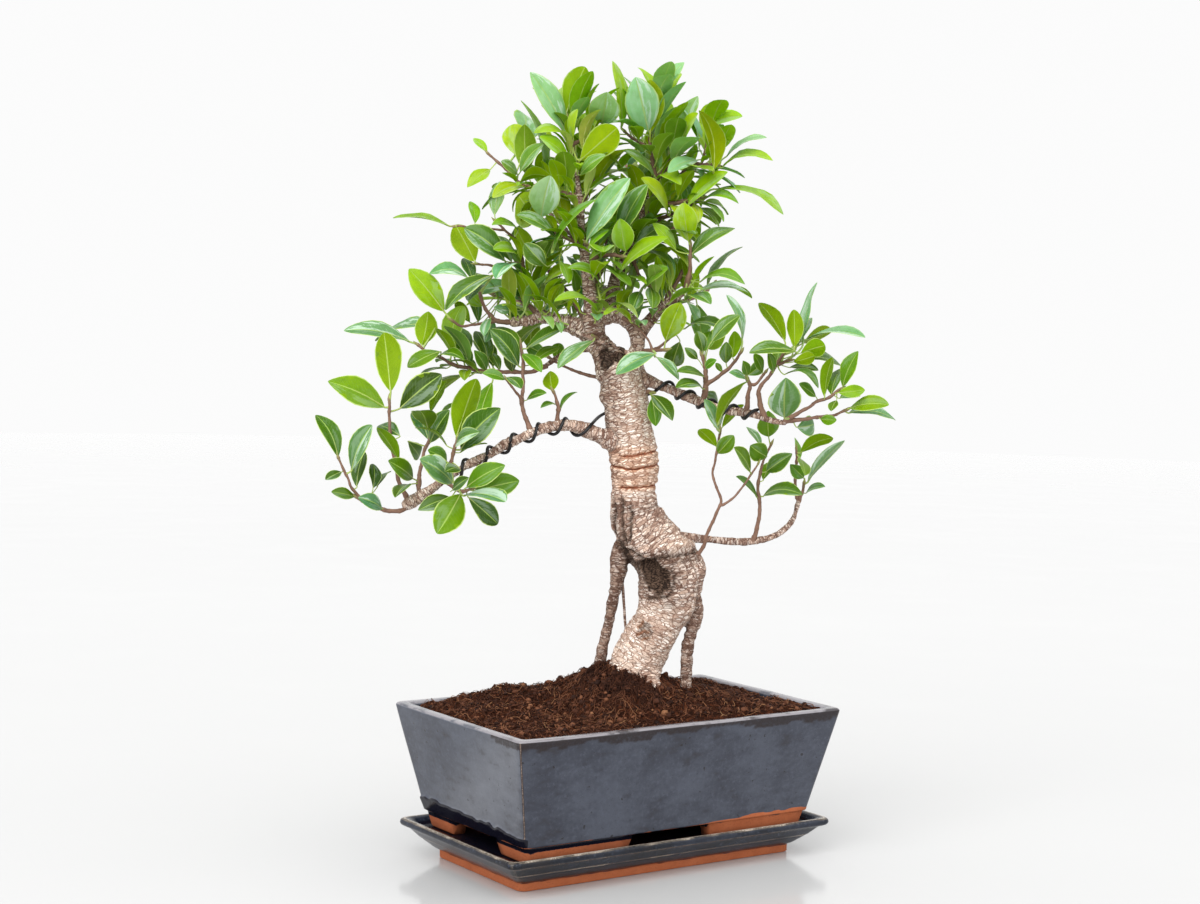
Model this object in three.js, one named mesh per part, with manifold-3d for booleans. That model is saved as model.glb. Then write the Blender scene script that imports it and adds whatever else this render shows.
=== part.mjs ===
// A bonsai fig growing in a glazed rectangular pot, which stands on its own drip tray.
//
// Millimetres, +Z up. The origin is on the table under the middle of the tray, and X runs along the pot.
// The tree is laid out in a frame of its own, [across, depth, height], with depth growing away from the
// tree's front, and the whole tree is then turned about Z to face the pot's corner.
import * as THREE from 'three';
import { mergeVertices } from 'three/addons/utils/BufferGeometryUtils.js';
import Module from 'manifold-3d';

const wasm = await Module();
wasm.setup();

// ---- driving dimensions ------------------------------------------------------------------------------

const gap = 0.3; // clearance between neighbouring pieces
const treeTurn = THREE.MathUtils.degToRad(-34.5); // the tree's front against the pot's long side

const pot = {
  length: 350,
  width: 214,
  top: 138,
  underside: 41.4, // where the glazed body ends and the bare feet begin
  bottomLength: 310,
  rim: 11.5,
  floor: 49.5,
  footLength: 307,
  footTaper: 3.5,
  footWall: 14,
  longGap: [80, 92], // opening between the feet of a long side, at its top and at the tray
  shortGap: [70, 82],
  corner: 5,
  drainHole: 22,
  drainSpacing: 150,
};

const tray = {
  length: 350,
  width: 195,
  rimTop: 34,
  rimEdge: 30.3,
  floor: 26,
  footLength: 296,
  footHeight: 8,
  corner: 7,
};

const soil = {
  edge: 134,
  mound: 33, // how far the middle stands over the edge
  centre: [-8, 14], // of the mound, in the tree's frame
  spread: [75, 38],
  heap: { centre: [6, -22], spread: [28, 20], height: 21 }, // against the trunk's foot
  cells: [15, 11],
};

const screen = { side: 44, thick: 1.2, bar: 2.4, cells: 3 };

const wire = { radius: 1.5, clear: 0.9, sides: 5, stepsPerTurn: 6 };

const leafShape = {
  ratio: 0.48, // width over length
  rib: 1.1, // how far the midrib stands under the blade
  fold: 0.1, // how far the margins rise, over the half width
  corner: 1.14, // how far the solid's corners stand out, over the blade's curve
  stalk: 0.9, // half width of the leaf stalk where the blade begins
  root: 0.35, // and inside its twig
  forward: 0.5, // how strongly a stalk prefers to run on into its blade
  stations: [0.27, 0.66], // where the blade of the solid bends, from its foot to its tip
  inner: 0.15, // the part of a blade, from its foot, that may cross its neighbour on the same spray
};

const clearance = {
  blade: 5.5, // between sample points of leaves on different sprays
  sibling: 3.5, // between the outer parts of leaves on one spray
  root: 1.8, // between the roots of leaves on one spray
  twig: 3.5,
  stalk: 1.5,
  limb: 3,
  wiredLimb: 6.5,
  slack: 12, // how far outside a leaf's own reach a neighbour still counts
};

// Leaves set by rule along a twig.
const ruled = {
  first: 12, // from the twig's start to the first leaf
  pitch: 14,
  goldenTurn: 137.5,
  cone: [38, 72], // between twig and leaf, in degrees
  length: [34, 52],
  stalk: 8,
  droop: 0.28,
  arch: [0.05, 0.14],
  tries: 4,
};

const looks = {
  bark: { color: 0x8f7463, roughness: 0.85, metalness: 0 },
  leaf: { color: 0x4d7a24, roughness: 0.4, metalness: 0 },
  youngLeaf: { color: 0x86a632, roughness: 0.45, metalness: 0 },
  soil: { color: 0x3a2419, roughness: 1, metalness: 0 },
  glaze: { color: 0x3d4450, roughness: 0.25, metalness: 0 },
  wire: { color: 0x1c1b1d, roughness: 0.5, metalness: 0.6 },
  screen: { color: 0x20221f, roughness: 0.6, metalness: 0 },
};

// ---- limbs: lists of [across, depth, height, radius], chosen along each stem -------------------------

const trunkPath = [
  [8, 0, 112, 31], [9, 0, 140, 29], [11, 0, 160, 26], [14, 0, 172, 24.5], [18, 0, 184, 23.5],
  [26, 0, 200, 23], [34, 0, 217, 22.5], [40, 0, 233, 26], [42, 0, 250, 28], [39, 0, 268, 28],
  [28, 0, 284, 27], [17, 0, 299, 25.5], [9, 0, 314, 22.5], [8, 0, 337, 20], [8, 0, 356, 22],
  [6, 0, 371, 22], [3, 0, 390, 21], [0, 0, 411, 20.5], [-4, 0, 433, 20.5], [-8, 0, 446, 21.5],
  [-10, 0, 456, 17],
];

const limbs = [
  { name: 'heel', sides: 9, path: [[30, 0, 300, 9], [45, 0, 285, 14], [57, 0, 268, 17], [60, 0, 250, 13],
    [62, 0, 234, 9]] },
  { name: 'left_root', sides: 6, path: [[6, 0, 292, 9], [-2, 0, 278, 9.5], [-4, 0, 262, 8],
    [-6, 3, 244, 5.6], [-10, 6, 224, 4.8], [-13, 8, 205, 5], [-17, 10, 186, 5.5], [-19, 12, 169, 5.8],
    [-20, 13, 140, 5]] },
  { name: 'thread_root', sides: 4, path: [[-4, 0, 258, 2], [0, 4, 247, 1.6], [2, 8, 229, 1.3],
    [5, 10, 204, 1.3], [14, 9, 188, 1.4]] },
  { name: 'right_root', sides: 7, path: [[58, 0, 250, 10], [65, 0, 234, 8.5], [68, 0, 222, 6.8],
    [64, 0, 208, 6], [61, 0, 194, 5.8], [60, 0, 176, 5.6], [60, 0, 150, 5], [60, 0, 126, 4.5]] },
  { name: 'front_toe', sides: 7, path: [[13, -4, 186, 15], [20, -15, 167, 11], [28, -22, 152, 8],
    [31, -27, 138, 6]] },
  { name: 'back_toe', sides: 7, path: [[10, 6, 182, 15], [0, 20, 165, 11], [-8, 32, 150, 8],
    [-12, 40, 136, 6]] },
  { name: 'left_limb', sides: 7, wired: true, path: [[2, -2, 380, 15], [-13, -7, 381, 11],
    [-24, -12, 384, 7.6], [-33, -15, 388, 6.4], [-51, -21, 393, 5.5], [-69, -27, 391, 5.3],
    [-86, -33, 385, 5],
    [-103, -37, 377, 4.8], [-121, -42, 367, 4.6], [-138, -48, 358, 4.4], [-159, -52, 344, 4],
    [-171, -54, 335, 4.2], [-181, -55, 328, 6], [-188, -56, 324, 6.2], [-195, -58, 320, 3.6]] },
  { name: 'right_limb', sides: 7, wired: true, path: [[3, 0, 438, 9], [13, -5, 436, 7], [25, -8, 432, 5.2],
    [47, -14, 424, 4.4], [65, -20, 417, 4.4], [83, -26, 411, 4], [109, -34, 408, 3.9], [130, -40, 402, 3],
    [141, -42, 401, 2.6]] },
  { name: 'low_right_limb', sides: 6, path: [[38, 8, 290, 10], [52, 10, 291, 6.4], [64, 13, 291, 4.4],
    [89, 18, 289, 3.4], [107, 20, 288, 3.8], [126, 22, 290, 3.2], [139, 24, 294, 3], [148, 25, 300, 3.2],
    [156, 27, 310, 2.8], [161, 30, 328, 2.1]] },
  { name: 'left_fork', sides: 9, path: [[-12, 0, 442, 18], [-22, 0, 459, 12.5], [-32, 0, 472, 11],
    [-44, 2, 480, 9.2], [-60, 4, 485, 7.2], [-76, 4, 489, 6], [-92, 3, 486, 5.1], [-107, 0, 484, 4]] },
  { name: 'right_arch', sides: 8, path: [[4, 0, 440, 14], [7, 0, 457, 7.6], [8, 1, 471, 7], [6, 3, 481, 7],
    [-3, 4, 490, 7.2], [-15, 3, 493, 8], [-30, -1, 488, 9]] },
  { name: 'leader', sides: 6, path: [[-31, -2, 476, 11], [-33, -4, 491, 8.6], [-35, -6, 506, 6.4],
    [-38, -8, 528, 5.4], [-42, -10, 552, 4.6], [-46, -11, 578, 4], [-48, -12, 602, 3.4],
    [-51, -12, 622, 2.6], [-53, -12, 637, 2.1]] },
  { name: 'back_leader', sides: 6, path: [[-16, 5, 494, 8.5], [-15, 12, 514, 6.4], [-9, 16, 539, 5.6],
    [0, 18, 558, 5], [8, 20, 577, 4.4], [15, 21, 600, 3.6], [21, 20, 618, 2.3]] },
  { name: 'right_fork', sides: 6, path: [[8, 4, 474, 7.5], [17, 2, 486, 6], [29, -2, 501, 4.8],
    [41, -6, 509, 4], [52, -10, 518, 2.5]] },
  { name: 'low_back_limb', sides: 5, path: [[-14, 6, 460, 7], [-28, 5, 463, 4.6], [-49, 8, 460, 3.6],
    [-62, 10, 454, 2.8], [-75, 10, 445, 2.3]] },
  { name: 'left_riser', sides: 5, path: [[-76, 4, 487, 4.4], [-83, 4, 500, 3.4], [-90, 3, 514, 2.8],
    [-97, 2, 530, 2.1]] },
];

// Where a healed wound opens the bark: [across, depth, height], then the half sizes of the hollow.
const wounds = [
  { at: [-22, -20, 455], half: [8, 7, 12] },
  { at: [30, -31, 252], half: [15, 7, 8] },
];

// ---- sprays ------------------------------------------------------------------------------------------
//
// twigs: points of [across, depth, height, radius]; the first one starts inside its limb.
// leaves: the blade's foot and tip, each [across, depth, height], then how wide the blade looks from the
// front, how far it arches over its length, and its tone: D dark, M middle, P pale, B bright, Y seen from
// below. `around` sets leaves by rule, all round the twigs.

const sprays = [
  { name: 'left_tip',
    twigs: [
      [[-188, -56, 320, 2.2], [-198, -60, 316, 2], [-206, -62, 316, 1.8],
       [-217, -64, 318, 1.5], [-229, -66, 323, 1.3], [-235, -67, 327, 1.1]],
      [[-229, -66, 323, 1.3], [-239, -72, 336, 1.1], [-245, -76, 350, 1],
       [-250, -78, 361, 0.9]],
    ],
    leaves: [
      [-237, -67, 328, -256, -79, 333, 9, 0.1, 'M'],
      [-213, -66, 318, -232, -88, 329, 12, 0.1, 'P'],
      [-235, -72, 337, -230, -58, 367, 13, 0.05, 'D'],
      [-248, -76, 350, -260, -90, 344, 8, 0.1, 'D'],
      [-221, -68, 336, -223, -50, 356, 9, 0.05, 'D'],
      [-219, -60, 336, -209, -48, 348, 6, 0.1, 'D'],
      [-239, -76, 352, -220, -86, 392, 17, 0.08, 'P'],
      [-251, -78, 363, -272, -68, 399, 13, 0.1, 'M'],
    ] },
  { name: 'left_fan',
    twigs: [
      [[-192, -52, 325, 2.4], [-199, -50, 339, 1.8], [-205, -46, 360, 1.6],
       [-210, -42, 382, 1.4], [-211, -40, 402, 1.2], [-211, -40, 412, 1]],
    ],
    leaves: [
      [-215, -42, 406, -264, -56, 428, 23, 0.08, 'B'],
      [-210, -40, 420, -218, -30, 472, 24, 0.05, 'Y'],
      [-202, -36, 405, -166, -30, 436, 25, 0.1, 'D'],
      [-201, -42, 381, -222, -20, 388, 11, 0.1, 'D'],
      [-200, -58, 361, -218, -72, 389, 12, 0.05, 'Y'],
    ] },
  { name: 'left_rise',
    twigs: [
      [[-181, -50, 327, 2.2], [-183, -44, 341, 1.8], [-182, -36, 355, 1.6],
       [-180, -30, 368, 1.4], [-176, -26, 379, 1.2], [-175, -24, 395, 1]],
    ],
    leaves: [
      [-188, -50, 344, -207, -68, 361, 14, 0.1, 'M'],
      [-190, -56, 339, -200, -78, 330, 9, 0.1, 'D'],
      [-195, -26, 375, -187, -2, 360, 11, 0.1, 'M'],
      [-176, -22, 402, -163, -10, 429, 9, 0.08, 'Y'],
      [-175, -28, 375, -157, -44, 405, 16, 0.08, 'D'],
      [-177, -24, 377, -194, -2, 400, 14, 0.1, 'P'],
    ] },
  { name: 'left_bunch',
    twigs: [
      [[-155, -50, 347, 2.2], [-155, -53, 356, 1.6], [-152, -55, 369, 1.3],
       [-149, -56, 379, 1.1]],
    ],
    leaves: [
      [-150, -56, 382, -133, -66, 434, 21, 0.05, 'Y'],
      [-146, -55, 371, -111, -71, 409, 25, 0.08, 'D'],
      [-150, -58, 374, -128, -84, 388, 11, 0.15, 'P'],
      [-158, -55, 360, -173, -79, 371, 12, 0.1, 'M'],
      [-152, -60, 342, -179, -80, 364, 18, 0.1, 'P'],
      [-146, -58, 355, -157, -82, 353, 9, 0.1, 'D'],
    ] },
  { name: 'left_skirt',
    twigs: [
      [[-159, -52, 343, 2], [-150, -60, 337, 1.6], [-143, -62, 335, 1.3], [-137, -60, 336, 1]],
    ],
    leaves: [
      [-154, -62, 329, -181, -74, 318, 14, 0.12, 'D'],
      [-145, -62, 332, -163, -88, 299, 26, 0.08, 'B'],
      [-138, -58, 329, -112, -46, 305, 16, 0.1, 'D'],
      [-140, -60, 338, -106, -68, 359, 18, 0.1, 'M'],
      [-133, -58, 335, -94, -46, 344, 21, 0.08, 'M'],
      [-141, -62, 332, -103, -84, 331, 7, 0.08, 'P'],
      [-150, -62, 338, -135, -86, 350, 9, 0.1, 'D'],
    ] },
  { name: 'left_twig',
    twigs: [
      [[-85, -33, 387, 2.6], [-89, -30, 397, 2], [-94, -28, 410, 1.7], [-94, -24, 426, 1.5],
       [-94, -18, 449, 1.3], [-96, -14, 464, 1]],
      [[-94, -28, 410, 1.7], [-97, -32, 418, 1.2], [-103, -36, 426, 1], [-107, -38, 432, 0.9]],
    ],
    leaves: [
      [-109, -38, 433, -129, -50, 438, 9, 0.1, 'M'],
      [-108, -38, 435, -94, -58, 426, 8, 0.1, 'D'],
      [-98, -20, 445, -124, -36, 477, 18, 0.1, 'D'],
      [-96, -14, 457, -122, -2, 479, 13, 0.1, 'D'],
      [-95, -16, 456, -77, -36, 440, 11, 0.1, 'M'],
      [-91, -12, 461, -55, -20, 480, 11, 0.1, 'D'],
      [-86, -14, 447, -62, -4, 462, 9, 0.1, 'M'],
      [-90, -28, 415, -72, -40, 422, 7, 0.12, 'M'],
    ] },
  { name: 'left_twiglet',
    twigs: [
      [[-62, -24, 394, 2.2], [-62, -26, 405, 1.6], [-63, -28, 416, 1.3], [-66, -30, 423, 1]],
    ],
    leaves: [
      [-67, -30, 424, -70, -13, 441, 14, 0.05, 'Y'],
      [-64, -28, 412, -77, -38, 409, 4, 0.15, 'D'],
      [-60, -26, 407, -45, -18, 423, 4, 0.15, 'M'],
    ] },
  { name: 'mid_left',
    twigs: [
      [[-73, 10, 445, 2.2], [-89, 8, 440, 1.8], [-107, 6, 439, 1.7], [-131, 2, 439, 1.5],
       [-156, -4, 444, 1.3], [-170, -6, 450, 1.2], [-179, -8, 454, 1.1], [-188, -8, 461, 1]],
    ],
    leaves: [
      [-197, -8, 464, -257, -20, 473, 13, 0.08, 'P'],
      [-177, -4, 480, -233, 12, 463, 8, 0.1, 'P'],
      [-186, -8, 461, -182, 8, 492, 20, 0.05, 'Y'],
      [-169, -8, 456, -197, -24, 441, 13, 0.1, 'M'],
      [-171, -10, 451, -146, -28, 449, 7, 0.2, 'M'],
      [-116, 4, 440, -126, 18, 456, 9, 0.1, 'D'],
      [-128, 2, 440, -139, -12, 458, 11, 0.1, 'M'],
      [-143, 0, 442, -151, 14, 462, 11, 0.1, 'D'],
      [-104, 6, 439, -111, -6, 459, 11, 0.1, 'D'],
    ] },
  { name: 'mid_left_top',
    twigs: [
      [[-106, 0, 484, 2.4], [-119, -4, 485, 2], [-129, -8, 494, 1.6], [-135, -10, 508, 1.3],
       [-137, -12, 516, 1.1]],
      [[-119, -4, 485, 2], [-136, -8, 482, 1.2], [-150, -12, 479, 1.1], [-158, -14, 483, 1]],
    ],
    leaves: [
      [-166, -16, 492, -197, -26, 529, 23, 0.08, 'B'],
      [-145, -12, 522, -179, -26, 525, 11, 0.2, 'P'],
      [-141, -10, 520, -151, 6, 541, 11, 0.1, 'D'],
      [-124, -18, 525, -163, -40, 494, 16, 0.12, 'D'],
      [-130, -14, 517, -143, -38, 501, 9, 0.1, 'P'],
      [-125, -10, 487, -129, -26, 471, 9, 0.1, 'P'],
    ] },
  { name: 'mid_back',
    twigs: [
      [[-23, 10, 435, 1.8], [-43, 14, 440, 1.4], [-60, 18, 446, 1.1], [-71, 20, 452, 1]],
    ],
    leaves: [
      [-72, 20, 453, -93, 32, 463, 13, 0.1, 'D'],
      [-66, 20, 450, -63, 34, 466, 11, 0.08, 'M'],
    ] },
  { name: 'fork_left',
    twigs: [
      [[-26, -8, 468, 2], [-29, -18, 472, 1.2], [-31, -22, 473, 1]],
    ],
    leaves: [
      [-32, -22, 469, -62, -36, 443, 12, 0.1, 'P'],
    ] },
  { name: 'fork_right',
    twigs: [
      [[-7, 0, 491, 2.2], [6, -14, 483, 1], [16, -20, 473, 0.9], [21, -22, 462, 0.9]],
    ],
    leaves: [
      [24, -26, 459, -11, -40, 440, 14, 0.1, 'P'],
      [25, -24, 456, 45, -30, 436, 9, 0.08, 'P'],
    ] },
  { name: 'crown_left',
    twigs: [
      [[-97, 2, 529, 2], [-99, 0, 545, 1.6], [-104, -4, 558, 1.3], [-113, -8, 566, 1.1],
       [-121, -10, 573, 1]],
      [[-99, 1, 537, 1.6], [-117, -8, 534, 1.2], [-130, -14, 534, 1], [-137, -18, 535, 0.9]],
      [[-113, -8, 566, 1.1], [-135, -16, 567, 0.9], [-156, -22, 568, 0.8]],
    ],
    leaves: [
      [-113, -12, 539, -149, -30, 566, 20, 0.1, 'D'],
      [-139, -20, 537, -158, -8, 570, 22, 0.05, 'Y'],
      [-140, -16, 571, -145, -4, 591, 9, 0.1, 'M'],
      [-162, -22, 568, -212, -32, 573, 6, 0.08, 'M'],
      [-102, -6, 567, -124, -28, 570, 7, 0.15, 'M'],
      [-107, -4, 538, -124, 12, 562, 14, 0.1, 'D'],
      [-100, -4, 538, -123, -32, 547, 7, 0.2, 'M'],
      [-98, 0, 531, -119, -26, 521, 8, 0.2, 'P'],
      [-123, -10, 579, -119, -2, 610, 14, 0.08, 'P'],
    ] },
  { name: 'crown_left_mid',
    twigs: [
      [[-43, -9, 555, 2], [-57, -12, 560, 1.7], [-68, -14, 565, 1.5], [-79, -16, 571, 1.2],
       [-87, -17, 574, 1]],
    ],
    leaves: [
      [-76, -20, 535, -95, -34, 554, 16, 0.1, 'D'],
      [-70, -26, 547, -31, -36, 593, 8, 0.12, 'M'],
      [-67, -22, 560, -102, -40, 578, 11, 0.1, 'D'],
      [-90, -18, 572, -104, 17, 601, 27, 0.05, 'Y'],
      [-81, -20, 578, -73, -49, 613, 27, 0.06, 'P'],
      [-63, -22, 539, -55, -38, 519, 9, 0.12, 'M'],
    ] },
  { name: 'crown_upper_left',
    twigs: [
      [[-48, -12, 597, 2], [-65, -10, 601, 1.7], [-83, -8, 605, 1.5], [-99, -6, 608, 1.3],
       [-108, -6, 615, 1.2], [-119, -6, 625, 1.1], [-129, -6, 633, 0.9]],
    ],
    leaves: [
      [-131, -6, 635, -144, 2, 648, 7, 0.05, 'M'],
      [-128, -8, 620, -147, -24, 602, 13, 0.12, 'M'],
      [-103, -10, 616, -118, -26, 626, 9, 0.1, 'D'],
      [-101, -6, 631, -109, 19, 663, 23, 0.05, 'B'],
      [-99, 8, 648, -100, 39, 677, 23, 0.05, 'P'],
      [-101, -10, 618, -80, -22, 643, 13, 0.1, 'D'],
      [-94, -14, 604, -124, -32, 593, 11, 0.15, 'M'],
      [-79, -2, 619, -104, 8, 683, 8, 0.1, 'M'],
      [-72, -20, 613, -99, -40, 607, 9, 0.2, 'Y'],
    ] },
  { name: 'crown_top',
    twigs: [
      [[-53, -12, 634, 2], [-55, -12, 643, 1.6], [-57, -12, 655, 1.3], [-59, -12, 665, 1]],
      [[-55, -12, 643, 1.6], [-44, -10, 650, 1], [-34, -6, 658, 0.9]],
    ],
    leaves: [
      [-61, -16, 654, -93, -28, 705, 20, 0.06, 'P'],
      [-62, -4, 657, -93, 12, 695, 8, 0.1, 'M'],
      [-61, -12, 671, -45, -2, 714, 21, 0.05, 'Y'],
      [-58, -8, 667, -35, 12, 696, 11, 0.1, 'M'],
      [-29, -6, 663, -25, -44, 688, 27, 0.06, 'P'],
      [-47, -24, 629, -15, -36, 657, 25, 0.06, 'Y'],
      [-54, -24, 647, -51, -40, 672, 8, 0.1, 'M'],
      [-61, -22, 651, -89, -40, 651, 8, 0.2, 'M'],
      [-58, -22, 629, -83, -36, 648, 12, 0.1, 'M'],
      [-47, -24, 616, -24, -42, 632, 12, 0.1, 'D'],
    ] },
  { name: 'crown_top_right',
    twigs: [
      [[21, 20, 616, 2.2], [18, 18, 629, 1.7], [17, 16, 643, 1.3], [15, 14, 653, 1.1],
       [19, 12, 674, 0.9], [21, 12, 686, 0.8]],
      [[21, 20, 616, 2.2], [30, 20, 627, 1.5], [34, 20, 639, 1.3], [36, 20, 648, 1]],
      [[30, 20, 627, 1.5], [47, 16, 630, 1.2], [62, 12, 631, 1.1], [75, 10, 630, 1]],
      [[17, 16, 643, 1.3], [2, 14, 651, 1], [-7, 12, 658, 0.9]],
      [[62, 12, 631, 1.1], [66, 10, 648, 0.9], [66, 8, 659, 0.8]],
    ],
    leaves: [
      [-11, 10, 661, -20, 0, 720, 13, 0.06, 'M'],
      [13, 8, 659, 0, -15, 704, 30, 0.06, 'P'],
      [18, 14, 692, 3, 28, 718, 8, 0.1, 'M'],
      [23, 12, 690, 43, 4, 721, 13, 0.1, 'P'],
      [32, 26, 656, 19, 42, 700, 18, 0.08, 'M'],
      [32, 28, 637, 21, 50, 681, 15, 0.1, 'D'],
      [42, 20, 651, 58, 34, 693, 15, 0.1, 'P'],
      [46, 16, 651, 57, -2, 674, 9, 0.1, 'M'],
      [70, 12, 635, 49, 0, 673, 14, 0.1, 'M'],
      [67, 8, 663, 96, -10, 673, 11, 0.15, 'M'],
      [84, 8, 638, 119, -4, 655, 6, 0.12, 'P'],
      [80, 8, 628, 125, -10, 633, 8, 0.2, 'M'],
      [20, 8, 617, -10, -14, 640, 9, 0.1, 'D'],
      [22, 10, 617, 43, -14, 610, 9, 0.2, 'M'],
      [58, 6, 634, 31, -18, 621, 13, 0.1, 'P'],
      [76, 18, 625, 81, 36, 646, 9, 0.1, 'D'],
    ] },
  { name: 'crown_right_top',
    twigs: [
      [[15, 20, 593, 2.4], [35, 14, 595, 1.9], [51, 8, 598, 1.5], [61, 4, 600, 1.2]],
    ],
    leaves: [
      [50, 0, 592, 85, -16, 622, 14, 0.1, 'B'],
      [75, 2, 608, 136, -6, 586, 9, 0.14, 'M'],
      [64, 0, 598, 95, -22, 595, 8, 0.22, 'M'],
      [63, 2, 595, 82, -12, 578, 5, 0.12, 'M'],
      [66, 8, 597, 88, 20, 587, 5, 0.12, 'M'],
      [33, 4, 584, 8, -12, 615, 11, 0.1, 'M'],
    ] },
  { name: 'crown_right',
    twigs: [
      [[50, -10, 516, 2.4], [53, -12, 533, 1.8], [53, -14, 545, 1.4], [53, -14, 556, 1.1]],
    ],
    leaves: [
      [51, -16, 560, 45, -29, 593, 21, 0.06, 'B'],
      [53, -14, 547, 93, 0, 574, 13, 0.1, 'D'],
      [40, -20, 552, 18, -36, 575, 12, 0.1, 'M'],
      [62, -14, 524, 102, -26, 522, 9, 0.22, 'M'],
      [62, -10, 516, 107, 2, 516, 7, 0.12, 'P'],
      [50, -14, 507, 71, -34, 503, 7, 0.2, 'D'],
      [53, -8, 505, 65, 6, 485, 9, 0.05, 'P'],
    ] },
  { name: 'crown_centre',
    twigs: [
      [[-40, -9, 539, 2.2], [-29, -16, 545, 1.8], [-19, -22, 546, 1.5], [-8, -26, 545, 1.2]],
      [[-29, -16, 545, 1.8], [-35, -22, 552, 1.2], [-39, -25, 555, 1]],
    ],
    leaves: [
      [-40, -28, 558, -3, -42, 613, 21, 0.06, 'P'],
      [-12, -22, 559, 12, -28, 609, 18, 0.06, 'D'],
      [-5, -30, 549, -11, -49, 577, 20, 0.06, 'M'],
      [-11, -28, 529, 33, -44, 561, 12, 0.1, 'B'],
      [-37, -22, 540, -21, -42, 550, 7, 0.15, 'M'],
      [-38, -28, 550, -20, -50, 567, 8, 0.12, 'M'],
      [-27, -18, 519, -56, -38, 533, 8, 0.2, 'M'],
    ] },
  { name: 'crown_centre_right',
    twigs: [
      [[-1, 18, 557, 2.2], [3, 6, 541, 1.7], [9, -4, 528, 1.4], [16, -10, 521, 1.1]],
    ],
    leaves: [
      [13, -16, 517, 33, -36, 535, 9, 0.12, 'M'],
      [4, -8, 555, 27, -26, 574, 14, 0.08, 'D'],
      [9, -12, 514, 2, -32, 497, 13, 0.1, 'D'],
      [18, -12, 518, 20, -26, 499, 13, 0.08, 'D'],
    ] },
  { name: 'under_crown',
    twigs: [
      [[11, -2, 460, 2], [22, -10, 462, 1.6], [32, -14, 463, 1.2]],
      [[22, -10, 462, 1.6], [32, -6, 468, 1.1], [39, -4, 475, 1], [44, -4, 480, 0.9]],
    ],
    leaves: [
      [33, -18, 471, 45, -35, 505, 22, 0.06, 'B'],
      [46, -6, 470, 40, 15, 447, 18, 0.06, 'D'],
      [50, -6, 482, 88, -24, 480, 8, 0.2, 'D'],
    ] },
  { name: 'trunk_side',
    twigs: [
      [[16, -6, 424, 2], [21, -12, 424, 1.2]],
    ],
    leaves: [
      [22, -14, 422, 40, -26, 400, 14, 0.08, 'D'],
      [22, -13, 419, 26, -3, 394, 13, 0.08, 'M'],
    ] },
  { name: 'right_first',
    twigs: [
      [[68, -20, 419, 2.6], [70, -20, 432, 2], [69, -21, 446, 1.6], [66, -22, 458, 1.2]],
      [[70, -20, 432, 2], [82, -23, 441, 1.5], [95, -26, 454, 1.2], [99, -28, 461, 1]],
    ],
    leaves: [
      [66, -24, 462, 60, -36, 480, 11, 0.06, 'D'],
      [67, -20, 462, 73, -10, 480, 13, 0.06, 'M'],
      [70, -18, 465, 89, -5, 482, 16, 0.06, 'Y'],
      [73, -16, 471, 97, -2, 495, 14, 0.06, 'D'],
      [69, -22, 439, 43, -40, 444, 7, 0.1, 'D'],
      [62, -24, 455, 50, -40, 465, 8, 0.1, 'D'],
      [69, -23, 447, 78, -35, 455, 7, 0.12, 'M'],
      [67, -26, 429, 42, -44, 429, 8, 0.2, 'D'],
      [69, -24, 425, 82, -12, 411, 13, 0.06, 'D'],
      [101, -28, 473, 86, -36, 513, 9, 0.1, 'P'],
      [93, -25, 457, 94, -13, 481, 11, 0.1, 'Y'],
      [87, -27, 452, 86, -41, 471, 12, 0.04, 'D'],
      [84, -23, 444, 78, -33, 452, 5, 0.1, 'M'],
    ] },
  { name: 'right_second',
    twigs: [
      [[106, -33, 410, 2.4], [107, -35, 425, 1.8], [108, -37, 433, 1.5], [106, -38, 438, 1.2]],
      [[108, -37, 433, 1.5], [115, -36, 436, 1.2], [121, -34, 444, 1]],
    ],
    leaves: [
      [104, -40, 439, 88, -50, 444, 7, 0.1, 'P'],
      [105, -40, 442, 100, -32, 455, 9, 0.05, 'M'],
      [106, -36, 442, 120, -22, 453, 12, 0.08, 'D'],
      [119, -35, 445, 110, -45, 461, 9, 0.06, 'M'],
    ] },
  { name: 'right_third',
    twigs: [
      [[122, -38, 405, 2.6], [116, -38, 424, 2], [117, -38, 431, 1.7], [124, -38, 440, 1.4],
       [130, -38, 451, 1.2], [137, -38, 462, 1]],
      [[130, -38, 451, 1.2], [138, -42, 455, 1], [142, -44, 456, 0.9]],
    ],
    leaves: [
      [138, -38, 473, 114, -48, 507, 12, 0.08, 'Y'],
      [146, -44, 468, 144, -56, 501, 14, 0.06, 'Y'],
      [154, -34, 470, 167, -24, 526, 6, 0.06, 'P'],
      [148, -36, 466, 162, -30, 495, 12, 0.06, 'P'],
      [155, -32, 472, 183, -18, 482, 12, 0.06, 'Y'],
      [157, -28, 475, 207, -38, 478, 5, 0.12, 'P'],
      [147, -48, 464, 105, -64, 463, 11, 0.1, 'D'],
      [152, -42, 463, 171, -61, 470, 16, 0.04, 'Y'],
      [145, -48, 455, 162, -62, 461, 11, 0.06, 'Y'],
      [143, -40, 450, 168, -58, 448, 7, 0.1, 'D'],
      [152, -34, 457, 191, -22, 452, 8, 0.12, 'D'],
      [128, -44, 446, 122, -56, 463, 9, 0.05, 'M'],
      [131, -34, 449, 134, -20, 467, 11, 0.05, 'D'],
      [137, -42, 444, 166, -54, 433, 5, 0.28, 'D'],
    ] },
  { name: 'right_end',
    twigs: [
      [[139, -42, 402, 2.2], [153, -44, 411, 1.6], [165, -46, 419, 1.3], [178, -48, 425, 1.1],
       [187, -48, 431, 0.9]],
      [[139, -42, 402, 2.2], [162, -40, 406, 1.4], [180, -40, 408, 1.2], [193, -42, 414, 1]],
    ],
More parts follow.
